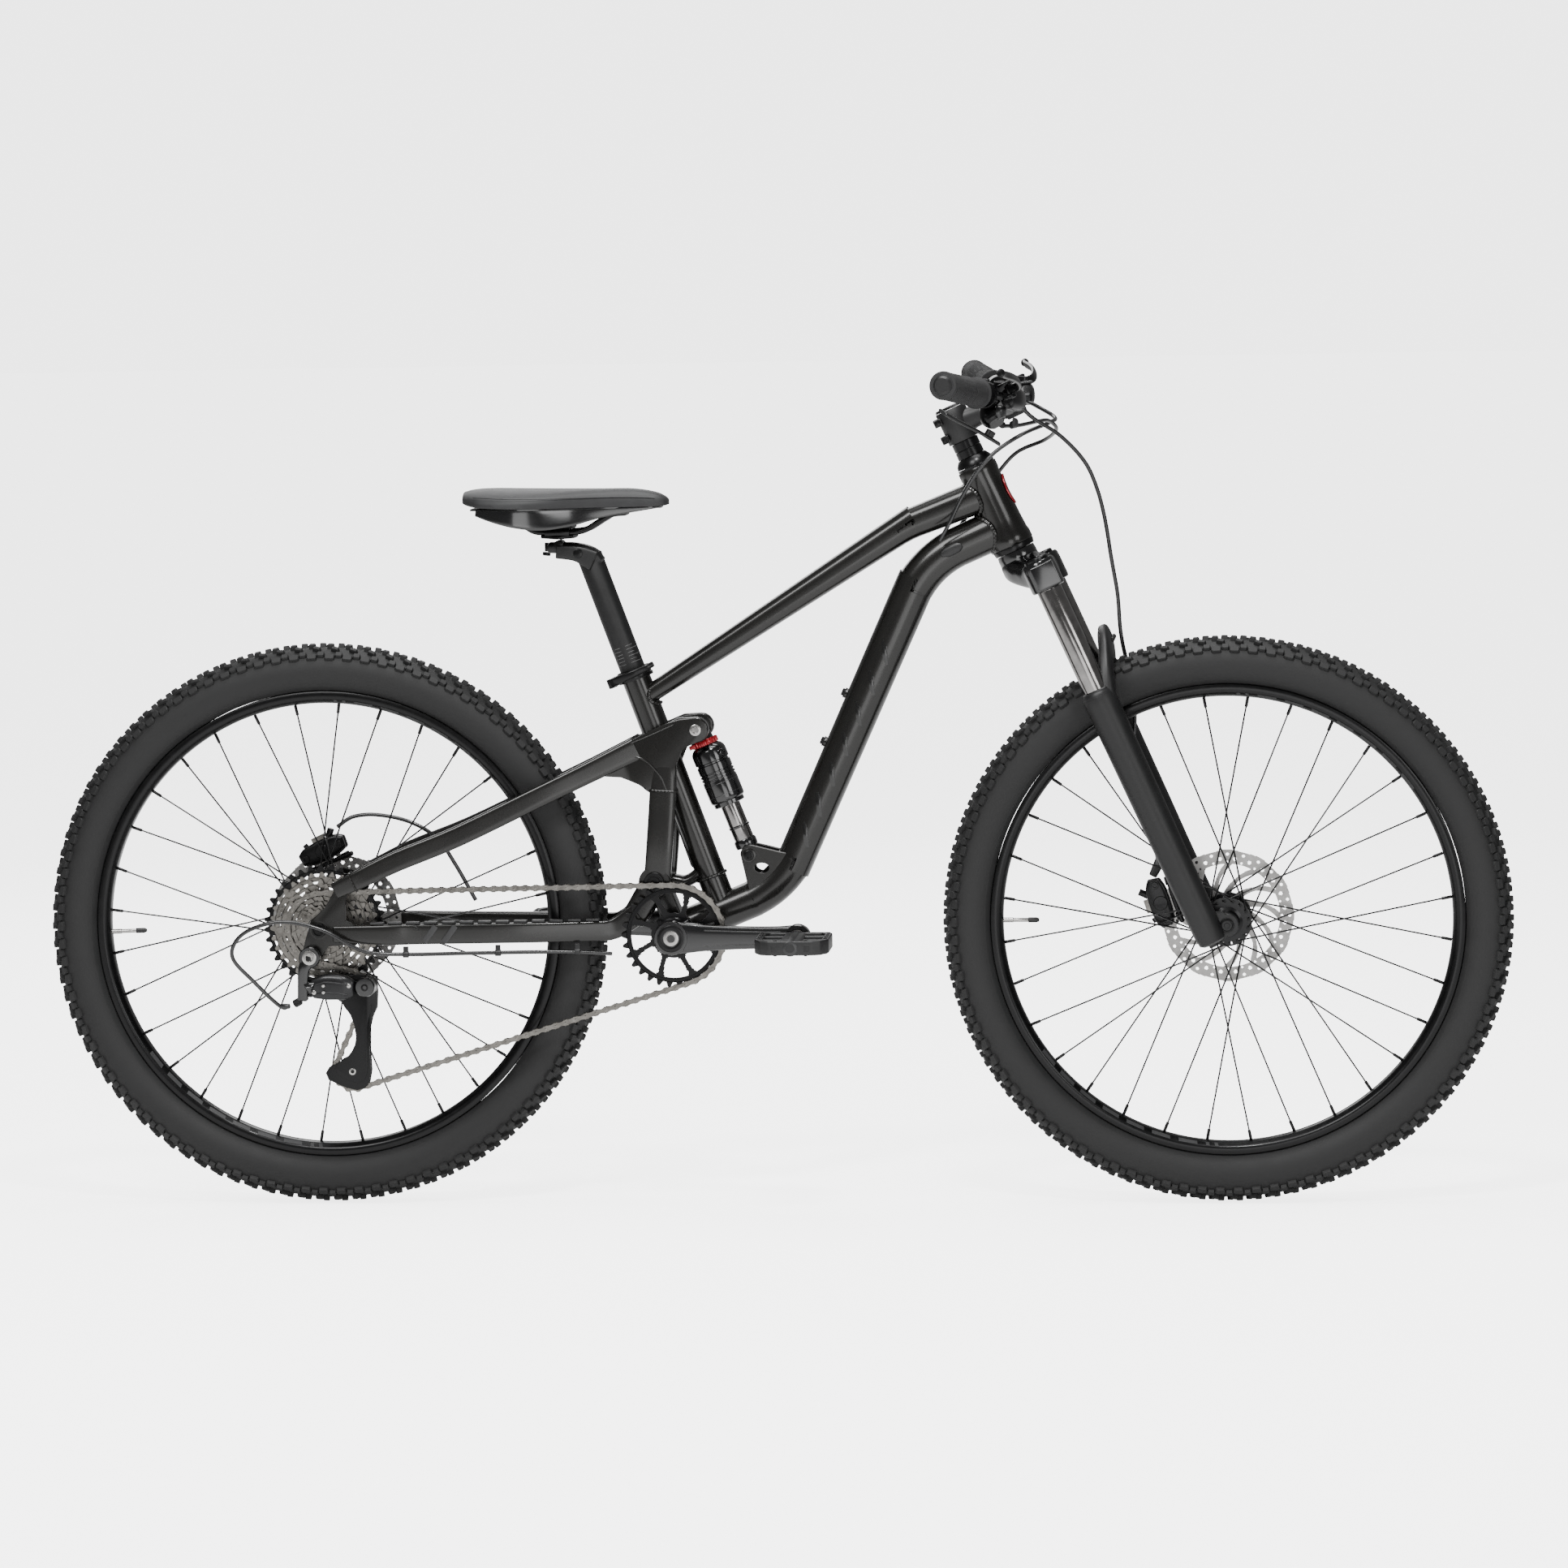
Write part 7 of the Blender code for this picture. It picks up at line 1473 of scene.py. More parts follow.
def make_crankset():
    ring_r = pitch_radius(30)

    def windows(radius, angle):
        step = 2 * math.pi / 8
        near = ((angle - 4 * (radius - 0.036)) / step + 0.5) % 1 - 0.5
        if radius > ring_r - 0.0098 or radius < 0.0225:
            return True
        half = 0.5 - (0.0026 + 0.0016 * abs(radius - 0.036) / 0.014) / (radius * step)
        if abs(near) > half:
            return True
        low, high = 0.0275, ring_r - 0.0098
        edge = (half - abs(near)) * step * radius
        corner = 0.0030
        if edge < corner:
            dip = corner - math.sqrt(max(0.0, corner ** 2 - (corner - edge) ** 2))
            return radius < low + dip or radius > high - dip
        return radius < low
    ring_meshes = toothed(CRANK, -0.0506, -0.0477, 30, 0.0160, windows)
    ring_meshes.append(turned([(ring_r - 0.0080, -0.0505), (ring_r - 0.0075, -0.0512),
                               (ring_r - 0.0062, -0.0512), (ring_r - 0.0057, -0.0505)], CRANK, sides=128))
    piece("chainring_plate", ring_meshes, BLACK, "crank", ["chainring"], 30)

    arms, caps, washers = [], [], []
    for side in (-1, 1):
        forward = 1 if side < 0 else -1

        def at(reach, y, z=0.0):
            return CRANK + Vector((forward * reach, side * y, z))
        stations = [(at(0.008, 0.0752), 0.0188, 0.0074), (at(0.022, 0.0752), 0.0180, 0.0073),
                    (at(0.040, 0.0753), 0.0160, 0.0072), (at(0.070, 0.0755), 0.0143, 0.0071),
                    (at(0.105, 0.0756), 0.0133, 0.0070), (at(0.130, 0.0756), 0.0136, 0.0070),
                    (at(0.146, 0.0756), 0.0148, 0.0070)]
        arms.append(swept(stations, 40, 4.0, steps=5, round_ends=False))
        arms.append(turned([(0, 0.0682), (0.0196, 0.0682), (0.0204, 0.0690), (0.0204, 0.0818),
                            (0.0196, 0.0829), (0.0165, 0.0830), (0.0160, 0.0822), (0, 0.0822)], CRANK,
                            SIDE * side, 64))
        arms.append(turned([(0, 0.0682), (0.0152, 0.0682), (0.0159, 0.0690), (0.0159, 0.0820),
                            (0.0150, 0.0829), (0.0112, 0.0829), (0.0106, 0.0822), (0, 0.0822)], at(0.152, 0),
                            SIDE * side, 64))
        rail = [(at(0.040, 0.0824, 0.0095), 0.0008, 0.0006), (at(0.075, 0.0826, 0.0082), 0.0008, 0.0006),
                (at(0.115, 0.0826, 0.0072), 0.0008, 0.0006), (at(0.132, 0.0826, 0.0072), 0.0008, 0.0006)]
        arms.append(swept(rail, 12, 2.0))
        arms.append(swept([(Vector((p.x, p.y, 2 * CRANK.z - p.z)), h, w) for p, h, w in rail], 12, 2.0))
        washers.append(turned([(0.0100, 0.0815), (0.0158, 0.0815), (0.0158, 0.0824), (0.0150, 0.0828),
                               (0.0108, 0.0828), (0.0100, 0.0824)], CRANK, SIDE * side, 64))
        caps += hex_bolt(CRANK + SIDE * side * 0.0815, SIDE * side, 0.0090, 0.0014, 0.0034)
        caps.append(turned([(0.0062, 0.0820), (0.0098, 0.0820), (0.0098, 0.0829), (0.0062, 0.0829)],
                           at(0.152, 0), SIDE * side, 48))
    spindle = turned([(0.0080, -0.0680), (0.0120, -0.0680), (0.0120, -0.0535), (0.0120, 0.0680),
                      (0.0080, 0.0680)],
                     CRANK, sides=48)
    spider = []
    for k in range(4):
        angle = math.radians(45 + 90 * k)
        arm = Vector((math.cos(angle), 0, math.sin(angle)))
        spider.append(swept([(CRANK + arm * 0.012 - SIDE * 0.0600, 0.0080, 0.0080),
                             (CRANK + arm * 0.019 - SIDE * 0.0560, 0.0062, 0.0040),
                             (CRANK + arm * 0.0245 - SIDE * 0.0525, 0.0050, 0.0016)], 24, 3.0,
                             arm.cross(SIDE)))
    hub = turned([(0, -0.0515), (0.0215, -0.0515), (0.0220, -0.0525), (0.0200, -0.0560), (0.0195, -0.0685),
                  (0, -0.0685)],
                 CRANK, sides=64)
    piece("crank_arms", arms + [spindle, hub] + spider, GLOSS, "crank", ["crank_arm_right", "crank_arm_left"])
    piece("crank_bolts", caps, SILVER, "crank", [])
    piece("crank_washers", washers, BLACK, "crank", [])


def make_pedals():
    for side, name in ((-1, "right"), (1, "left")):
        centre = CRANK + Vector((-side * 0.152, 0, 0))
        body = []

        def at(x, y, z, side=side, centre=centre):
            return centre + Vector((x, side * y, z))
        low, high = 0.0905, 0.1845
        outline = [(-0.040, low), (-0.0440, low + 0.012), (-0.0440, high - 0.022), (-0.036, high - 0.004),
                   (-0.026, high), (0.026, high), (0.036, high - 0.004), (0.0440, high - 0.022),
                   (0.0440, low + 0.012), (0.040, low)]
        inner = [(-0.031, low + 0.010), (-0.0355, low + 0.018), (-0.0355, high - 0.026),
                 (-0.030, high - 0.013), (-0.022, high - 0.009), (0.022, high - 0.009), (0.030, high - 0.013),
                 (0.0355, high - 0.026), (0.0355, low + 0.018), (0.031, low + 0.010)]
        bm = bmesh.new()
        rows = []
        for points, z in ((outline, -0.0085), (outline, 0.0085), (inner, 0.0085), (inner, -0.0085)):
            rows.append([bm.verts.new(at(x, y, z)) for x, y in points])
        count = len(outline)
        for here, there in zip(rows, rows[1:] + rows[:1]):
            for k in range(count):
                n = (k + 1) % count
                bm.faces.new((here[k], here[n], there[n], there[k]))
        bmesh.ops.recalc_face_normals(bm, faces=list(bm.faces))
        bmesh.ops.bevel(bm, geom=list(bm.edges), offset=0.0016, segments=3, affect="EDGES", profile=0.6)
        body.append(done(bm, "cage"))
        body.append(block(at(0, (low + high) / 2, 0), (0.026, high - low - 0.006, 0.0175), 0, 0.0040))
        body.append(rod(at(0, low - 0.0003, 0), at(0, high - 0.001, 0), 0.0098, sides=40))
        for y in (low + 0.0270, low + 0.0620):
            body.append(block(at(0, y, 0), (0.074, 0.0070, 0.0140), 0, 0.0018))
        for x in (-0.0395, 0.0395):
            for y in (low + 0.016, low + 0.034, low + 0.052, low + 0.068):
                for up in (-1, 1):
                    body.append(turned([(0.0024, 0), (0.0022, 0.0014), (0.0010, 0.0018), (0, 0.0018)],
                                       at(x, y, up * 0.0080), Vector((0, 0, up)), 12))
        for x in (-0.018, 0.018):
            for up in (-1, 1):
                body.append(turned([(0.0024, 0), (0.0022, 0.0014), (0.0010, 0.0018), (0, 0.0018)],
                                   at(x, high - 0.0045, up * 0.0080), Vector((0, 0, up)), 12))
        piece("pedal_cage_" + name, body, PLASTIC, f"pedal_{name}_body", ["pedal_" + name])
        cap = turned([(0.0, high - 0.004), (0.0088, high - 0.004), (0.0088, high - 0.0002),
                      (0.0078, high + 0.0004), (0.0052, high + 0.0004), (0.0046, high - 0.0006),
                      (0, high - 0.0006)], centre, SIDE * side, 40)
        piece("pedal_end_cap_" + name, [cap], GREY, f"pedal_{name}_body", [])
        bars = [block(at(x, high - 0.0003, 0), (0.0060, 0.0012, 0.0080), 0, 0.0004) for x in (-0.0195,
                                                                                              0.0195)]
        piece("pedal_reflector_" + name, bars, MATT, f"pedal_{name}_body", [])
        axle = [rod(at(0, 0.0826, 0), at(0, 0.0908, 0), 0.0070, sides=40)]
        axle.append(turned([(0.0058, 0.0832), (0.0088, 0.0832), (0.0088, 0.0868), (0.0058, 0.0868)], centre,
                           SIDE * side, 8))
        piece("pedal_axle_flats_" + name, axle, SILVER, "crank", [])


def make_cassette():
    cogs = ((11, -0.0640), (13, -0.0602), (15, -0.0564), (18, -0.0526), (21, -0.0490), (24, -0.0452),
            (28, -0.0413), (32, -0.0373), (36, -0.0335))
    bright, dark = [], []
    for teeth, y in cogs:
        outer = pitch_radius(teeth)
        body = 0.0205

        def keep(radius, angle, outer=outer, teeth=teeth):
            if teeth < 18:
                return True
            track = outer - 0.0085
            if radius > track or radius < 0.0235:
                return True
            arms = 6 if teeth < 32 else 7
            swirl = angle + (radius - 0.0235) * 9
            step = 2 * math.pi / arms
            near = abs((swirl / step + 0.5) % 1 - 0.5) * step * radius
            return near < 0.0030 + 0.0022 * abs(radius - (track + 0.0235) / 2) / max(0.001,
                                                                                     (track - 0.0235) / 2)
        meshes = toothed(REAR, y - 0.0009, y + 0.0009, teeth, body if teeth > 13 else 0.0150,
                         keep if teeth >= 18 else None, start=0.05 * teeth, depth=0.0020)
        if teeth >= 24:
            marks = polar_plate(REAR, y - 0.00105, y - 0.0009, outer - 0.0060, outer - 0.0035, 3, 288,
                                lambda r, a: (a * 8 / math.pi) % 2 < 0.35)
            meshes.append(marks)
        (dark if teeth == 36 else bright).append(joined(meshes))
    bright.append(turned([(0.0165, -0.0320), (0.0212, -0.0320), (0.0212, -0.0640), (0.0165, -0.0640)], REAR,
                         sides=64))
    piece("cassette_cogs", bright, NICKEL, "cassette_body", ["cassette"], 30)
    piece("cassette_big_cog", dark, BLACK, "cassette_body", [], 30)
    nut = turned([(0.0100, -0.0638), (0.0165, -0.0638), (0.0168, -0.0650), (0.0160, -0.0660),
                  (0.0135, -0.0664), (0.0128, -0.0650), (0.0100, -0.0650)], REAR, sides=48)
    splines = [block(REAR + Vector((0.0122 * math.cos(a), -0.0652, 0.0122 * math.sin(a))),
                     (0.0016, 0.0016, 0.0016), -a, 0.0002)
               for a in (2 * math.pi * k / 12 for k in range(12))]
    piece("cassette_lock_ring", [nut] + splines, SILVER, "cassette_body", [])


def belt_path(wheels, step):
    """Points round a belt that wraps (x, z, radius, turn) wheels in order."""
    count = len(wheels)
    headings = []
    for i in range(count):
        x1, z1, r1, s1 = wheels[i]
        x2, z2, r2, s2 = wheels[(i + 1) % count]
        dx, dz = x2 - x1, z2 - z1
        offset = math.asin((s2 * r2 - s1 * r1) / math.hypot(dx, dz))
        headings.append(math.atan2(dz, dx) + offset)
    path = []
    for i, (x, z, radius, turn) in enumerate(wheels):
        start, end = headings[i - 1], headings[i]
        sweep = (start - end) % (2 * math.pi) if turn > 0 else (end - start) % (2 * math.pi)
        parts = max(2, int(sweep * radius / step))
        for k in range(parts + 1):
            heading = start - turn * sweep * k / parts
            path.append(Vector((x - turn * radius * math.sin(heading), 0,
                                z + turn * radius * math.cos(heading))))
    return path


def link_plate(centre, along, y_low, y_high, half, waist, end_r):
    """One figure-of-eight side plate of a chain link."""
    up = SIDE.cross(along).normalized()
    outline = []
    for turn, base in ((1, 0.0), (-1, math.pi)):
        for k in range(9):
            angle = base + math.radians(-70 + 140 * k / 8)
            outline.append((half * turn + end_r * math.cos(angle), end_r * math.sin(angle)))
        outline.append((0.0, waist * turn))
    bm = bmesh.new()
    low = [bm.verts.new(centre + along * a + up * b + SIDE * y_low) for a, b in outline]
    high = [bm.verts.new(centre + along * a + up * b + SIDE * y_high) for a, b in outline]
    bottom, top = bm.faces.new(low), bm.faces.new(high)
    for k in range(len(outline)):
        n = (k + 1) % len(outline)
        bm.faces.new((low[k], low[n], high[n], high[k]))
    bmesh.ops.bevel(bm, geom=list(bottom.edges) + list(top.edges), offset=0.00025, segments=2, affect="EDGES")
    return done(bm, "link")


def make_chain():
    wheels = [(CRANK.x, CRANK.z, pitch_radius(30), 1), (LOWER_PULLEY.x, LOWER_PULLEY.z, pitch_radius(11), 1),
              (UPPER_PULLEY.x, UPPER_PULLEY.z, pitch_radius(11), -1), (REAR.x, REAR.z, pitch_radius(21), 1)]
    path = belt_path(wheels, 0.0008)
    path.append(path[0])
    lengths = [0.0]
    for a, b in zip(path, path[1:]):
        lengths.append(lengths[-1] + (b - a).length)
    count = 2 * round(lengths[-1] / PITCH / 2)
    pins = []
    i = 0
    for k in range(count):
        distance = lengths[-1] * k / count
        while lengths[i + 1] < distance:
            i += 1
        t = (distance - lengths[i]) / max(lengths[i + 1] - lengths[i], 1e-9)
        pins.append(path[i].lerp(path[i + 1], t) + SIDE * CHAIN_Y)
    meshes = []
    for k in range(count):
        a, b = pins[k], pins[(k + 1) % count]
        along = (b - a).normalized()
        half = (b - a).length / 2
        wide = k % 2 == 0
        for side in (-1, 1):
            low, high = sorted((side * (0.0019 if not wide else 0.0027),
                                side * (0.0027 if not wide else 0.0034)))
            meshes.append(link_plate((a + b) / 2, along, low, high, half, 0.0019 if wide else 0.0024, 0.0042))
        meshes.append(rod(a - SIDE * 0.0036, a + SIDE * 0.0036, 0.0016, sides=14, edge=0.0003))
        meshes.append(rod(a - SIDE * 0.0019, a + SIDE * 0.0019, 0.0036, sides=16, edge=0.0003))
    links = piece("chain_links", meshes, NICKEL, None, ["chain"], 30)
    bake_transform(links)


# ---------------------------------------------------------------- derailleur
def make_derailleur():
    hanger = REAR + Vector((-0.0107, -0.072, -0.0318))
    knuckle = [(hanger + Vector((0, -0.0105, 0.004)), 0.0095, 0.0058),
               (hanger + Vector((-0.004, -0.0108, -0.007)), 0.0085, 0.0060),
               (hanger + Vector((-0.008, -0.0110, -0.018)), 0.0068, 0.0060),
               (REAR + Vector((-0.0205, -0.0810, -0.0830)), 0.0064, 0.0064)]
    meshes = [swept(knuckle, 32, 3.5)]
    meshes.append(turned([(0, 0.0055), (0.0125, 0.0055), (0.0128, 0.0062), (0.0128, 0.0150), (0.0118, 0.0162),
                          (0, 0.0162)],
                         Vector((hanger.x, hanger.y + 0.0, hanger.z)), -SIDE, 48))
    meshes.append(rod(HINGE + Vector((0, -0.0070, 0.0070)), HINGE + Vector((0, 0.0070, -0.0070)), 0.0062,
                      sides=32))
    piece("derailleur_knuckle_body", meshes, GLOSS, "rear_triangle", ["derailleur_knuckle"])
    bolt = hex_bolt(hanger - SIDE * 0.0160, -SIDE, 0.0086, 0.0022, 0.0018)
    piece("derailleur_hanger_bolt", bolt, SILVER, "rear_triangle", [])
    barrel_at = HINGE + Vector((-0.0120, 0.004, -0.0150))
    barrel_axis = Vector((-0.75, 0.10, -0.42)).normalized()
    barrel = turned([(0, 0), (0.0040, 0), (0.0046, 0.0010), (0.0046, 0.0085), (0.0038, 0.0095), (0, 0.0095)],
                    barrel_at, barrel_axis, 96, 0, lambda a, along: 0.0003 * math.cos(a * 16))
    piece("cable_adjuster", [barrel], MATT, "rear_triangle", [])

    link = [(HINGE + Vector((0.004, 0, 0)), 0.0118, 0.0060),
            (HINGE + Vector((0.012, 0, 0.0012)), 0.0140, 0.0072),
            (HINGE + Vector((0.020, 0, 0.002)), 0.0156, 0.0078),
            (HINGE + Vector((0.032, 0, 0.002)), 0.0156, 0.0083),
            (HINGE + Vector((0.042, 0, 0.001)), 0.0148, 0.0084),
            (HINGE + Vector((0.052, 0, 0)), 0.0110, 0.0060)]
    arms = [swept(link, 40, 3.2)]
    ridge = [(HINGE + Vector((0.008, -0.0066, 0.006)), 0.0012, 0.0010),
             (HINGE + Vector((0.022, -0.0082, 0.0085)), 0.0012, 0.0010),
             (HINGE + Vector((0.046, -0.0075, 0.0055)), 0.0012, 0.0010)]
    arms.append(swept(ridge, 12, 2.0))
    arms.append(swept([(p - Vector((0, 0, 0.0125)), h, w) for p, h, w in ridge], 12, 2.0))
    piece("derailleur_links_body", arms, GREY_METAL, "derailleur_parallelogram", ["derailleur_links"])
    screws = []
    for x, z in ((0.006, -0.004), (0.0485, 0.004)):
        screws.append(turned([(0, 0), (0.0026, 0), (0.0026, 0.0012), (0.0020, 0.0016), (0, 0.0016)],
                             HINGE + Vector((x, -0.0062, z)), -SIDE, 24))
    for z in (0.0045, -0.0035):
        screws.append(turned([(0, 0), (0.0019, 0), (0.0019, 0.0030), (0.0011, 0.0032), (0, 0.0026)],
                             HINGE + Vector((0.0180, -0.0078, z)), -SIDE, 24))
    piece("derailleur_screws", screws, SILVER, "derailleur_parallelogram", [])

    lower = [turned([(0, 0.0600), (0.0110, 0.0600), (0.0119, 0.0608), (0.0119, 0.0680), (0.0112, 0.0690),
                     (0.0112, 0.0790), (0.0119, 0.0800), (0.0119, 0.0880), (0.0108, 0.0898), (0.0060, 0.0900),
                     (0, 0.0900)],
                    Vector((CAGE_PIVOT.x, 0, CAGE_PIVOT.z)), -SIDE, 48)]
    piece("derailleur_lower_knuckle_body", lower, GLOSS, "derailleur_lower", ["derailleur_lower_knuckle"])
    cap = hex_bolt(Vector((CAGE_PIVOT.x, -0.0896, CAGE_PIVOT.z)), -SIDE, 0.0044, 0.0010, 0.0008)
    piece("derailleur_cage_bolt", cap, BLACK, "derailleur_lower", [])

    outline = [(0.0650, -0.0600), (0.0652, -0.0790), (0.0640, -0.0975), (0.0585, -0.1090), (0.0550, -0.1210),
               (0.0548, -0.1480), (0.0560, -0.1740), (0.0535, -0.1880), (0.0480, -0.1950), (0.0385, -0.1975),
               (0.0260, -0.1945), (0.0150, -0.1900), (0.0040, -0.1850), (0.0005, -0.1765), (0.0050, -0.1690),
               (0.0180, -0.1640), (0.0275, -0.1575), (0.0330, -0.1500),
               (0.0375, -0.1420), (0.0390, -0.1330), (0.0370, -0.1190), (0.0330, -0.1060), (0.0250, -0.0960),
               (0.0200, -0.0860), (0.0195, -0.0740), (0.0230, -0.0640), (0.0330, -0.0570), (0.0460, -0.0560),
               (0.0570, -0.0570)]
    points = [(REAR.x + x, REAR.z + z) for x, z in outline]
    cage = [plate(points, -0.0555, -0.0541, 0.0005), plate(points, -0.0439, -0.0427, 0.0005)]
    raised = [(REAR.x + 0.043 + (x - 0.043) * 0.72, REAR.z - 0.124 + (z + 0.124) * 0.88) for x, z in outline]
    cage.append(plate(raised, -0.0561, -0.0553, 0.0004))
    cage.append(rod(Vector((CAGE_PIVOT.x, -0.0598, CAGE_PIVOT.z)),
                    Vector((CAGE_PIVOT.x, -0.0535, CAGE_PIVOT.z)), 0.0070, sides=40))
    piece("derailleur_cage_plates", cage, BLACK, "derailleur_arm", ["derailleur_cage"])
    bolts = []
    for pulley in (UPPER_PULLEY, LOWER_PULLEY):
        bolts += hex_bolt(Vector((pulley.x, -0.0558, pulley.z)), -SIDE, 0.0042, 0.0012, 0.0010)
        bolts.append(rod(Vector((pulley.x, -0.0545, pulley.z)), Vector((pulley.x, -0.0435, pulley.z)), 0.0028,
                         sides=24))
    piece("pulley_bolts", bolts, SILVER, "derailleur_arm", [])

    for name, pulley, y in (("upper", UPPER_PULLEY, -0.049), ("lower", LOWER_PULLEY, -0.049)):
        centre = Vector((pulley.x, 0, pulley.z))

        def keep(radius, angle):
            near = abs((angle * 5 / (2 * math.pi) + 0.5) % 1 - 0.5) * 2 * math.pi / 5 * radius
            return radius < 0.0065 or radius > 0.0118 or near < 0.0016
        meshes = toothed(centre, y - 0.0012, y + 0.0012, 11, 0.0036, keep, depth=-0.0034)
        meshes.append(turned([(0.0036, y - 0.0025), (0.0064, y - 0.0025), (0.0064, y + 0.0025),
                              (0.0036, y + 0.0025)],
                             centre, sides=40))
        piece(name + "_jockey_wheel", meshes, PLASTIC, name + "_jockey", ["pulley_" + name], 30)


# ---------------------------------------------------------------- hoses and housings
def make_hoses():
    start = bar_point(-0.163) + Vector((0.0375, 0.0665, -0.0150))
    front = [start, start + Vector((0.016, 0.018, -0.016)), (0.3520, -0.040, 0.925), (0.3790, -0.005, 0.893),
             (0.3930, 0.012, 0.860), (0.4020, 0.022, 0.822), (0.4090, 0.028, 0.775), (0.4160, 0.034, 0.730),
             leg(-0.2085, 0.048, 0.60), leg(-0.2835, 0.030, 0.80), leg(-0.3485, 0.0, 0.62),
             leg(-0.4035, -0.014, 0.60), leg(-0.4585, -0.022, 0.58), FRONT + Vector((-0.0830, 0.040, 0.0620))]
    hose = piece("front_brake_hose_run", [wire(front, 0.0025)], HOSE, None, ["front_brake_hose"])
    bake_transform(hose)
    start = bar_point(0.163) + Vector((0.0375, -0.0665, -0.0150))
    rear = [start, start + Vector((0.012, -0.022, -0.005)), (0.3420, 0.040, 0.9450), (0.3380, -0.005, 0.9400),
            (0.3080, -0.035, 0.9280), (0.2760, -0.042, 0.9080), (0.2540, -0.043, 0.8850),
            (0.2350, -0.043, 0.8550), (0.2200, -0.040, 0.8250), (0.2070, -0.033, 0.8020)]
    hose = piece("rear_brake_hose_front_run", [wire(rear, 0.0025)], HOSE, None, ["rear_brake_hose"])
    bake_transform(hose)
    shift = [(0.2900, -0.1285, 0.9400), (0.3060, -0.104, 0.9400), (0.3260, -0.062, 0.9430),
             (0.3380, -0.035, 0.9430), (0.3460, -0.010, 0.9320), (0.3300, 0.030, 0.9180),
             (0.2960, 0.045, 0.9030), (0.2700, 0.047, 0.8750), (0.2440, 0.045, 0.8400),
             (0.2200, 0.0365, 0.8050)]
    hose = piece("shift_housing_front_run", [wire(shift, 0.0024)], HOSE, None, ["shift_housing"])
    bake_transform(hose)
    port = REAR + Vector((0.004, 0.048, 0.1130))
    loop = [port, port + Vector((0.020, 0.002, 0.012)), (-0.4900, 0.0490, 0.4690), (-0.4500, 0.0470, 0.4600),
            (-0.4180, 0.0460, 0.4400), (-0.3960, 0.0460, 0.4080), (-0.3720, 0.0470, 0.3640)]
    piece("rear_brake_hose_run", [wire(loop, 0.0025)], HOSE, "rear_triangle", ["rear_brake_hose_rear"])
    end = HINGE + Vector((-0.0260, 0.004, -0.022))
    loop = [end, end + Vector((-0.012, 0.002, 0.0)), (-0.6250, -0.080, 0.2800), (-0.6500, -0.086, 0.3120),
            (-0.6350, -0.089, 0.3400), (-0.5900, -0.0900, 0.3540), (-0.5400, -0.0890, 0.3440),
            (-0.4900, -0.0860, 0.3180), (-0.4400, -0.0760, 0.3125), (-0.3600, -0.0660, 0.3125),
            (-0.2600, -0.0530, 0.3120), (-0.1950, -0.0400, 0.3080)]
    ferrule = rod(end, end + Vector((-0.0110, 0.0018, 0)), 0.0032, sides=24)
    piece("shift_housing_run", [wire(loop, 0.0024), ferrule], HOSE, "rear_triangle", ["shift_housing_rear"])


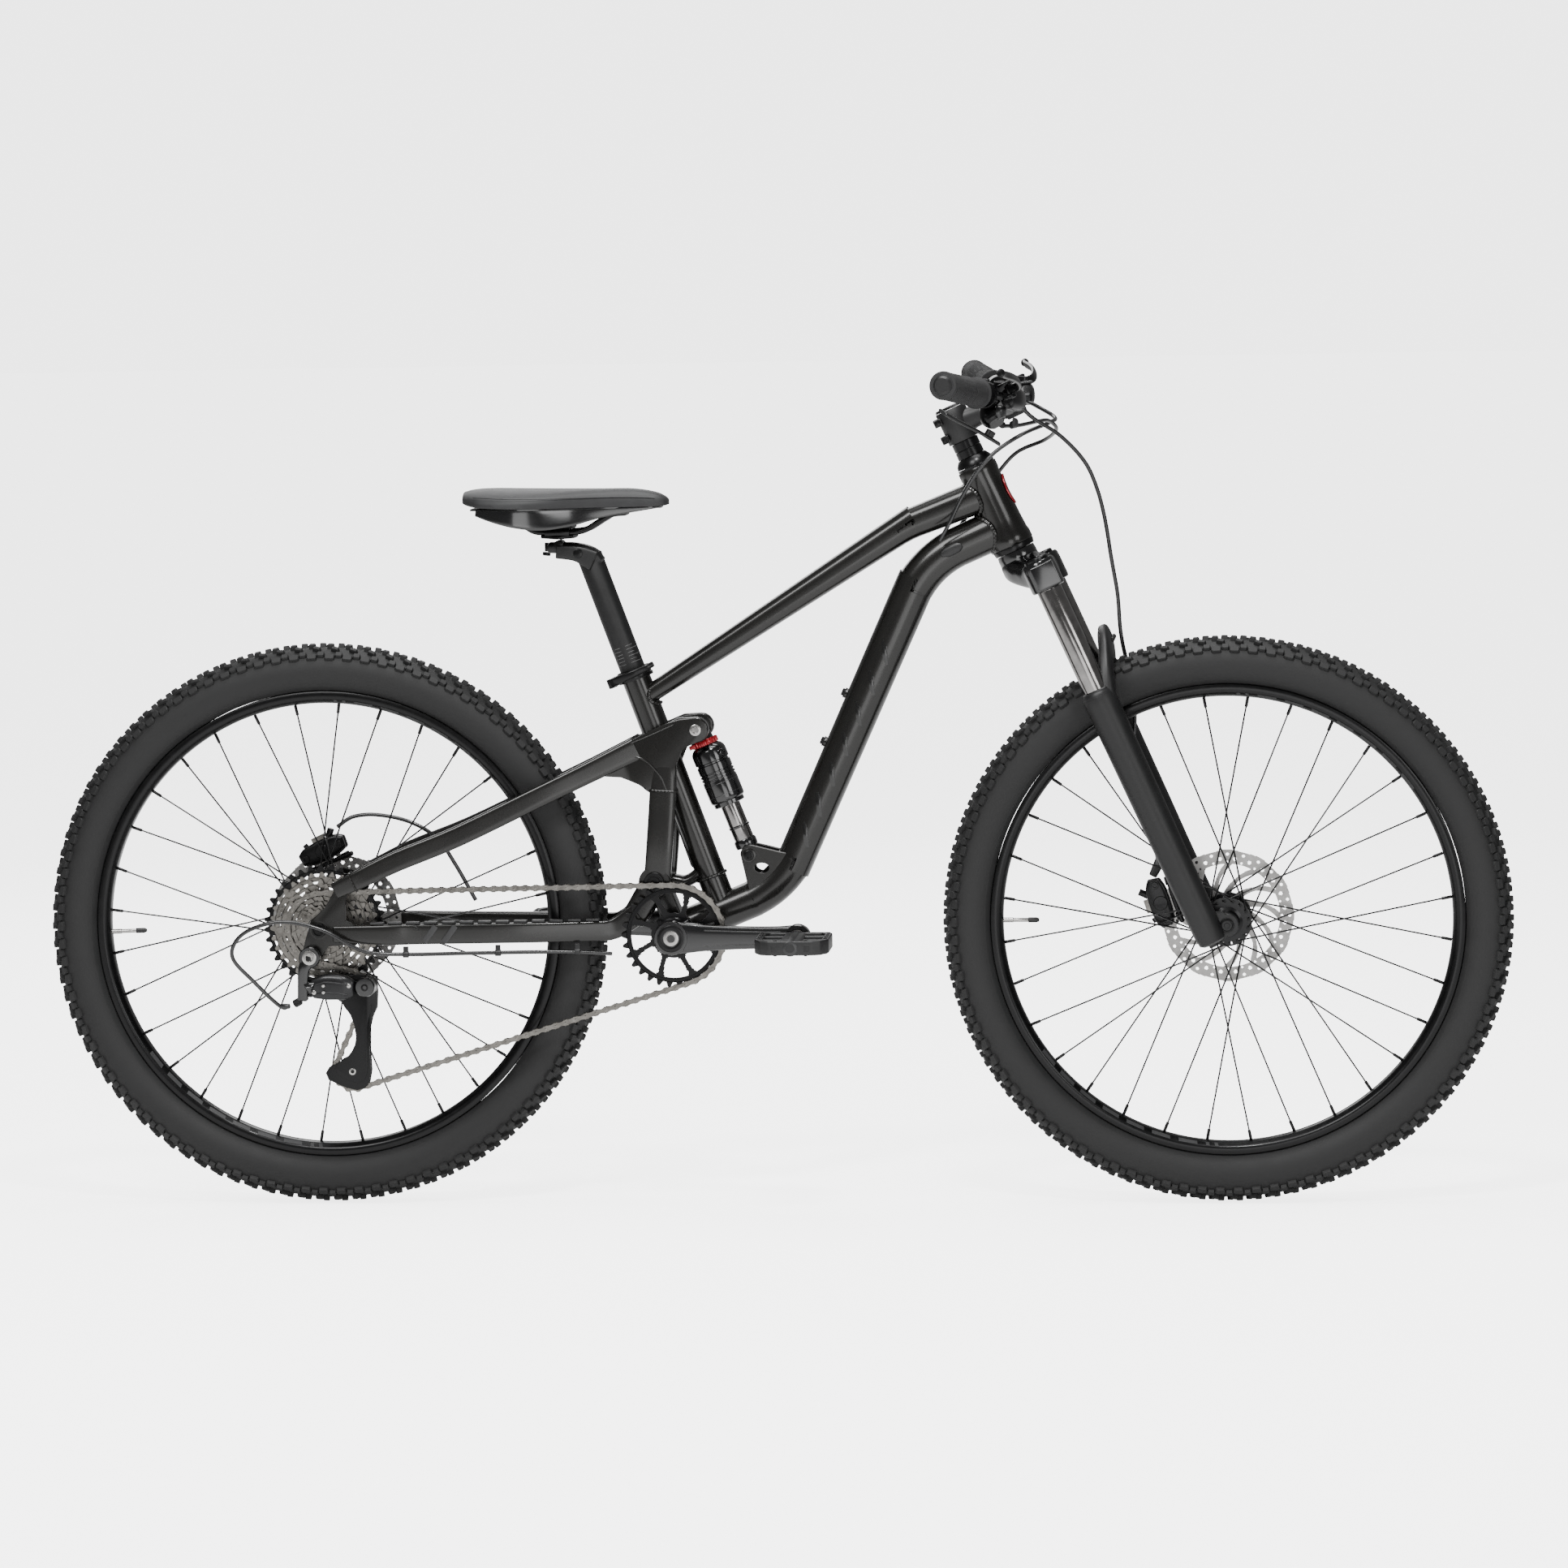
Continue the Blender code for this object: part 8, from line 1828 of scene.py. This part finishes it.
# ---------------------------------------------------------------- studio
def make_studio():
    floor_material = surface("studio_floor", (1.0, 1.0, 1.0), (0.97, 0.97, 0.97), 0.85, bump=0.0)
    floor_tree = floor_material.node_tree
    glow = floor_tree.nodes["Principled BSDF"]
    glow.inputs["Emission Color"].default_value = (1, 1, 1, 1)
    watcher = floor_tree.nodes.new("ShaderNodeLightPath")
    strength = floor_tree.nodes.new("ShaderNodeMath")
    strength.operation = "MULTIPLY"
    strength.inputs[1].default_value = 3.6
    floor_tree.links.new(watcher.outputs["Is Camera Ray"], strength.inputs[0])
    floor_tree.links.new(strength.outputs["Value"], glow.inputs["Emission Strength"])
    size = 60.0
    mesh = bpy.data.meshes.new("floor")
    mesh.from_pydata([(-size, -size, 0), (size, -size, 0), (size, size, 0), (-size, size, 0)], [],
                     [(0, 1, 2, 3)])
    mesh.materials.append(floor_material)
    floor = bpy.data.objects.new("floor", mesh)
    floor.location.z = -0.0005
    bpy.context.scene.collection.objects.link(floor)
    world = bpy.data.worlds.new("studio")
    bpy.context.scene.world = world
    world.use_nodes = True
    tree = world.node_tree
    sky = tree.nodes["Background"]
    sky.inputs["Color"].default_value = (1, 1, 1, 1)
    sky.inputs["Strength"].default_value = 0.22
    seen = tree.nodes.new("ShaderNodeBackground")
    seen.inputs["Strength"].default_value = 4.6
    path = tree.nodes.new("ShaderNodeLightPath")
    pick = tree.nodes.new("ShaderNodeMixShader")
    tree.links.new(path.outputs["Is Camera Ray"], pick.inputs["Fac"])
    tree.links.new(sky.outputs["Background"], pick.inputs[1])
    tree.links.new(seen.outputs["Background"], pick.inputs[2])
    tree.links.new(pick.outputs["Shader"], tree.nodes["World Output"].inputs["Surface"])
    for name, place, target, size, power in (
            ("key", (-1.5, -3.2, 3.4), (0, 0, 0.5), 1.6, 110),
            ("fill", (2.8, -3.0, 1.6), (0.2, 0, 0.5), 1.4, 34),
            ("top", (0.0, 0.2, 3.6), (0, 0, 0.5), 2.0, 95),
            ("strip", (0.2, -1.6, 3.2), (0, 0, 0.6), 0.35, 60),
            ("low", (0.6, -3.0, 0.35), (0, 0, 0.4), 1.2, 14),
            ("back", (-1.0, 3.0, 2.2), (0, 0, 0.5), 2.0, 40)):
        lamp = bpy.data.lights.new(name, "AREA")
        lamp.energy = power
        lamp.size = size
        thing = bpy.data.objects.new(name, lamp)
        thing.location = place
        thing.rotation_mode = "QUATERNION"
        thing.rotation_quaternion = (Vector(target) - Vector(place)).to_track_quat("-Z", "Y")
        bpy.context.scene.collection.objects.link(thing)


def make_camera():
    yaw, pitch, roll = math.radians(-5.133), math.radians(-5.353), math.radians(-0.855)
    ahead = Vector((math.sin(yaw) * math.cos(pitch), math.cos(yaw) * math.cos(pitch), math.sin(pitch)))
    right = Vector((math.cos(yaw), -math.sin(yaw), 0))
    up = right.cross(ahead)
    x_axis = right * math.cos(roll) + up * math.sin(roll)
    y_axis = up * math.cos(roll) - right * math.sin(roll)
    rotation = Matrix((x_axis, y_axis, -ahead)).transposed()
    data = bpy.data.cameras.new("camera")
    data.sensor_width = 36
    data.lens = 130.18
    data.clip_end = 60
    camera = bpy.data.objects.new("camera", data)
    camera.matrix_world = Matrix.Translation((0.6221, -6.7821, 1.1463)) @ rotation.to_4x4()
    bpy.context.scene.collection.objects.link(camera)
    bpy.context.scene.camera = camera


make_front_frame()
make_fittings()
make_seat_clamp()
make_seatpost()
make_saddle()
make_fork_upper()
make_fork_lowers()
make_calipers()
make_stem()
make_handlebar()
make_controls()
make_shifter()
make_wheels()
make_swingarm()
make_shock()
make_crankset()
make_pedals()
make_cassette()
make_chain()
make_derailleur()
make_hoses()
make_studio()
make_camera()
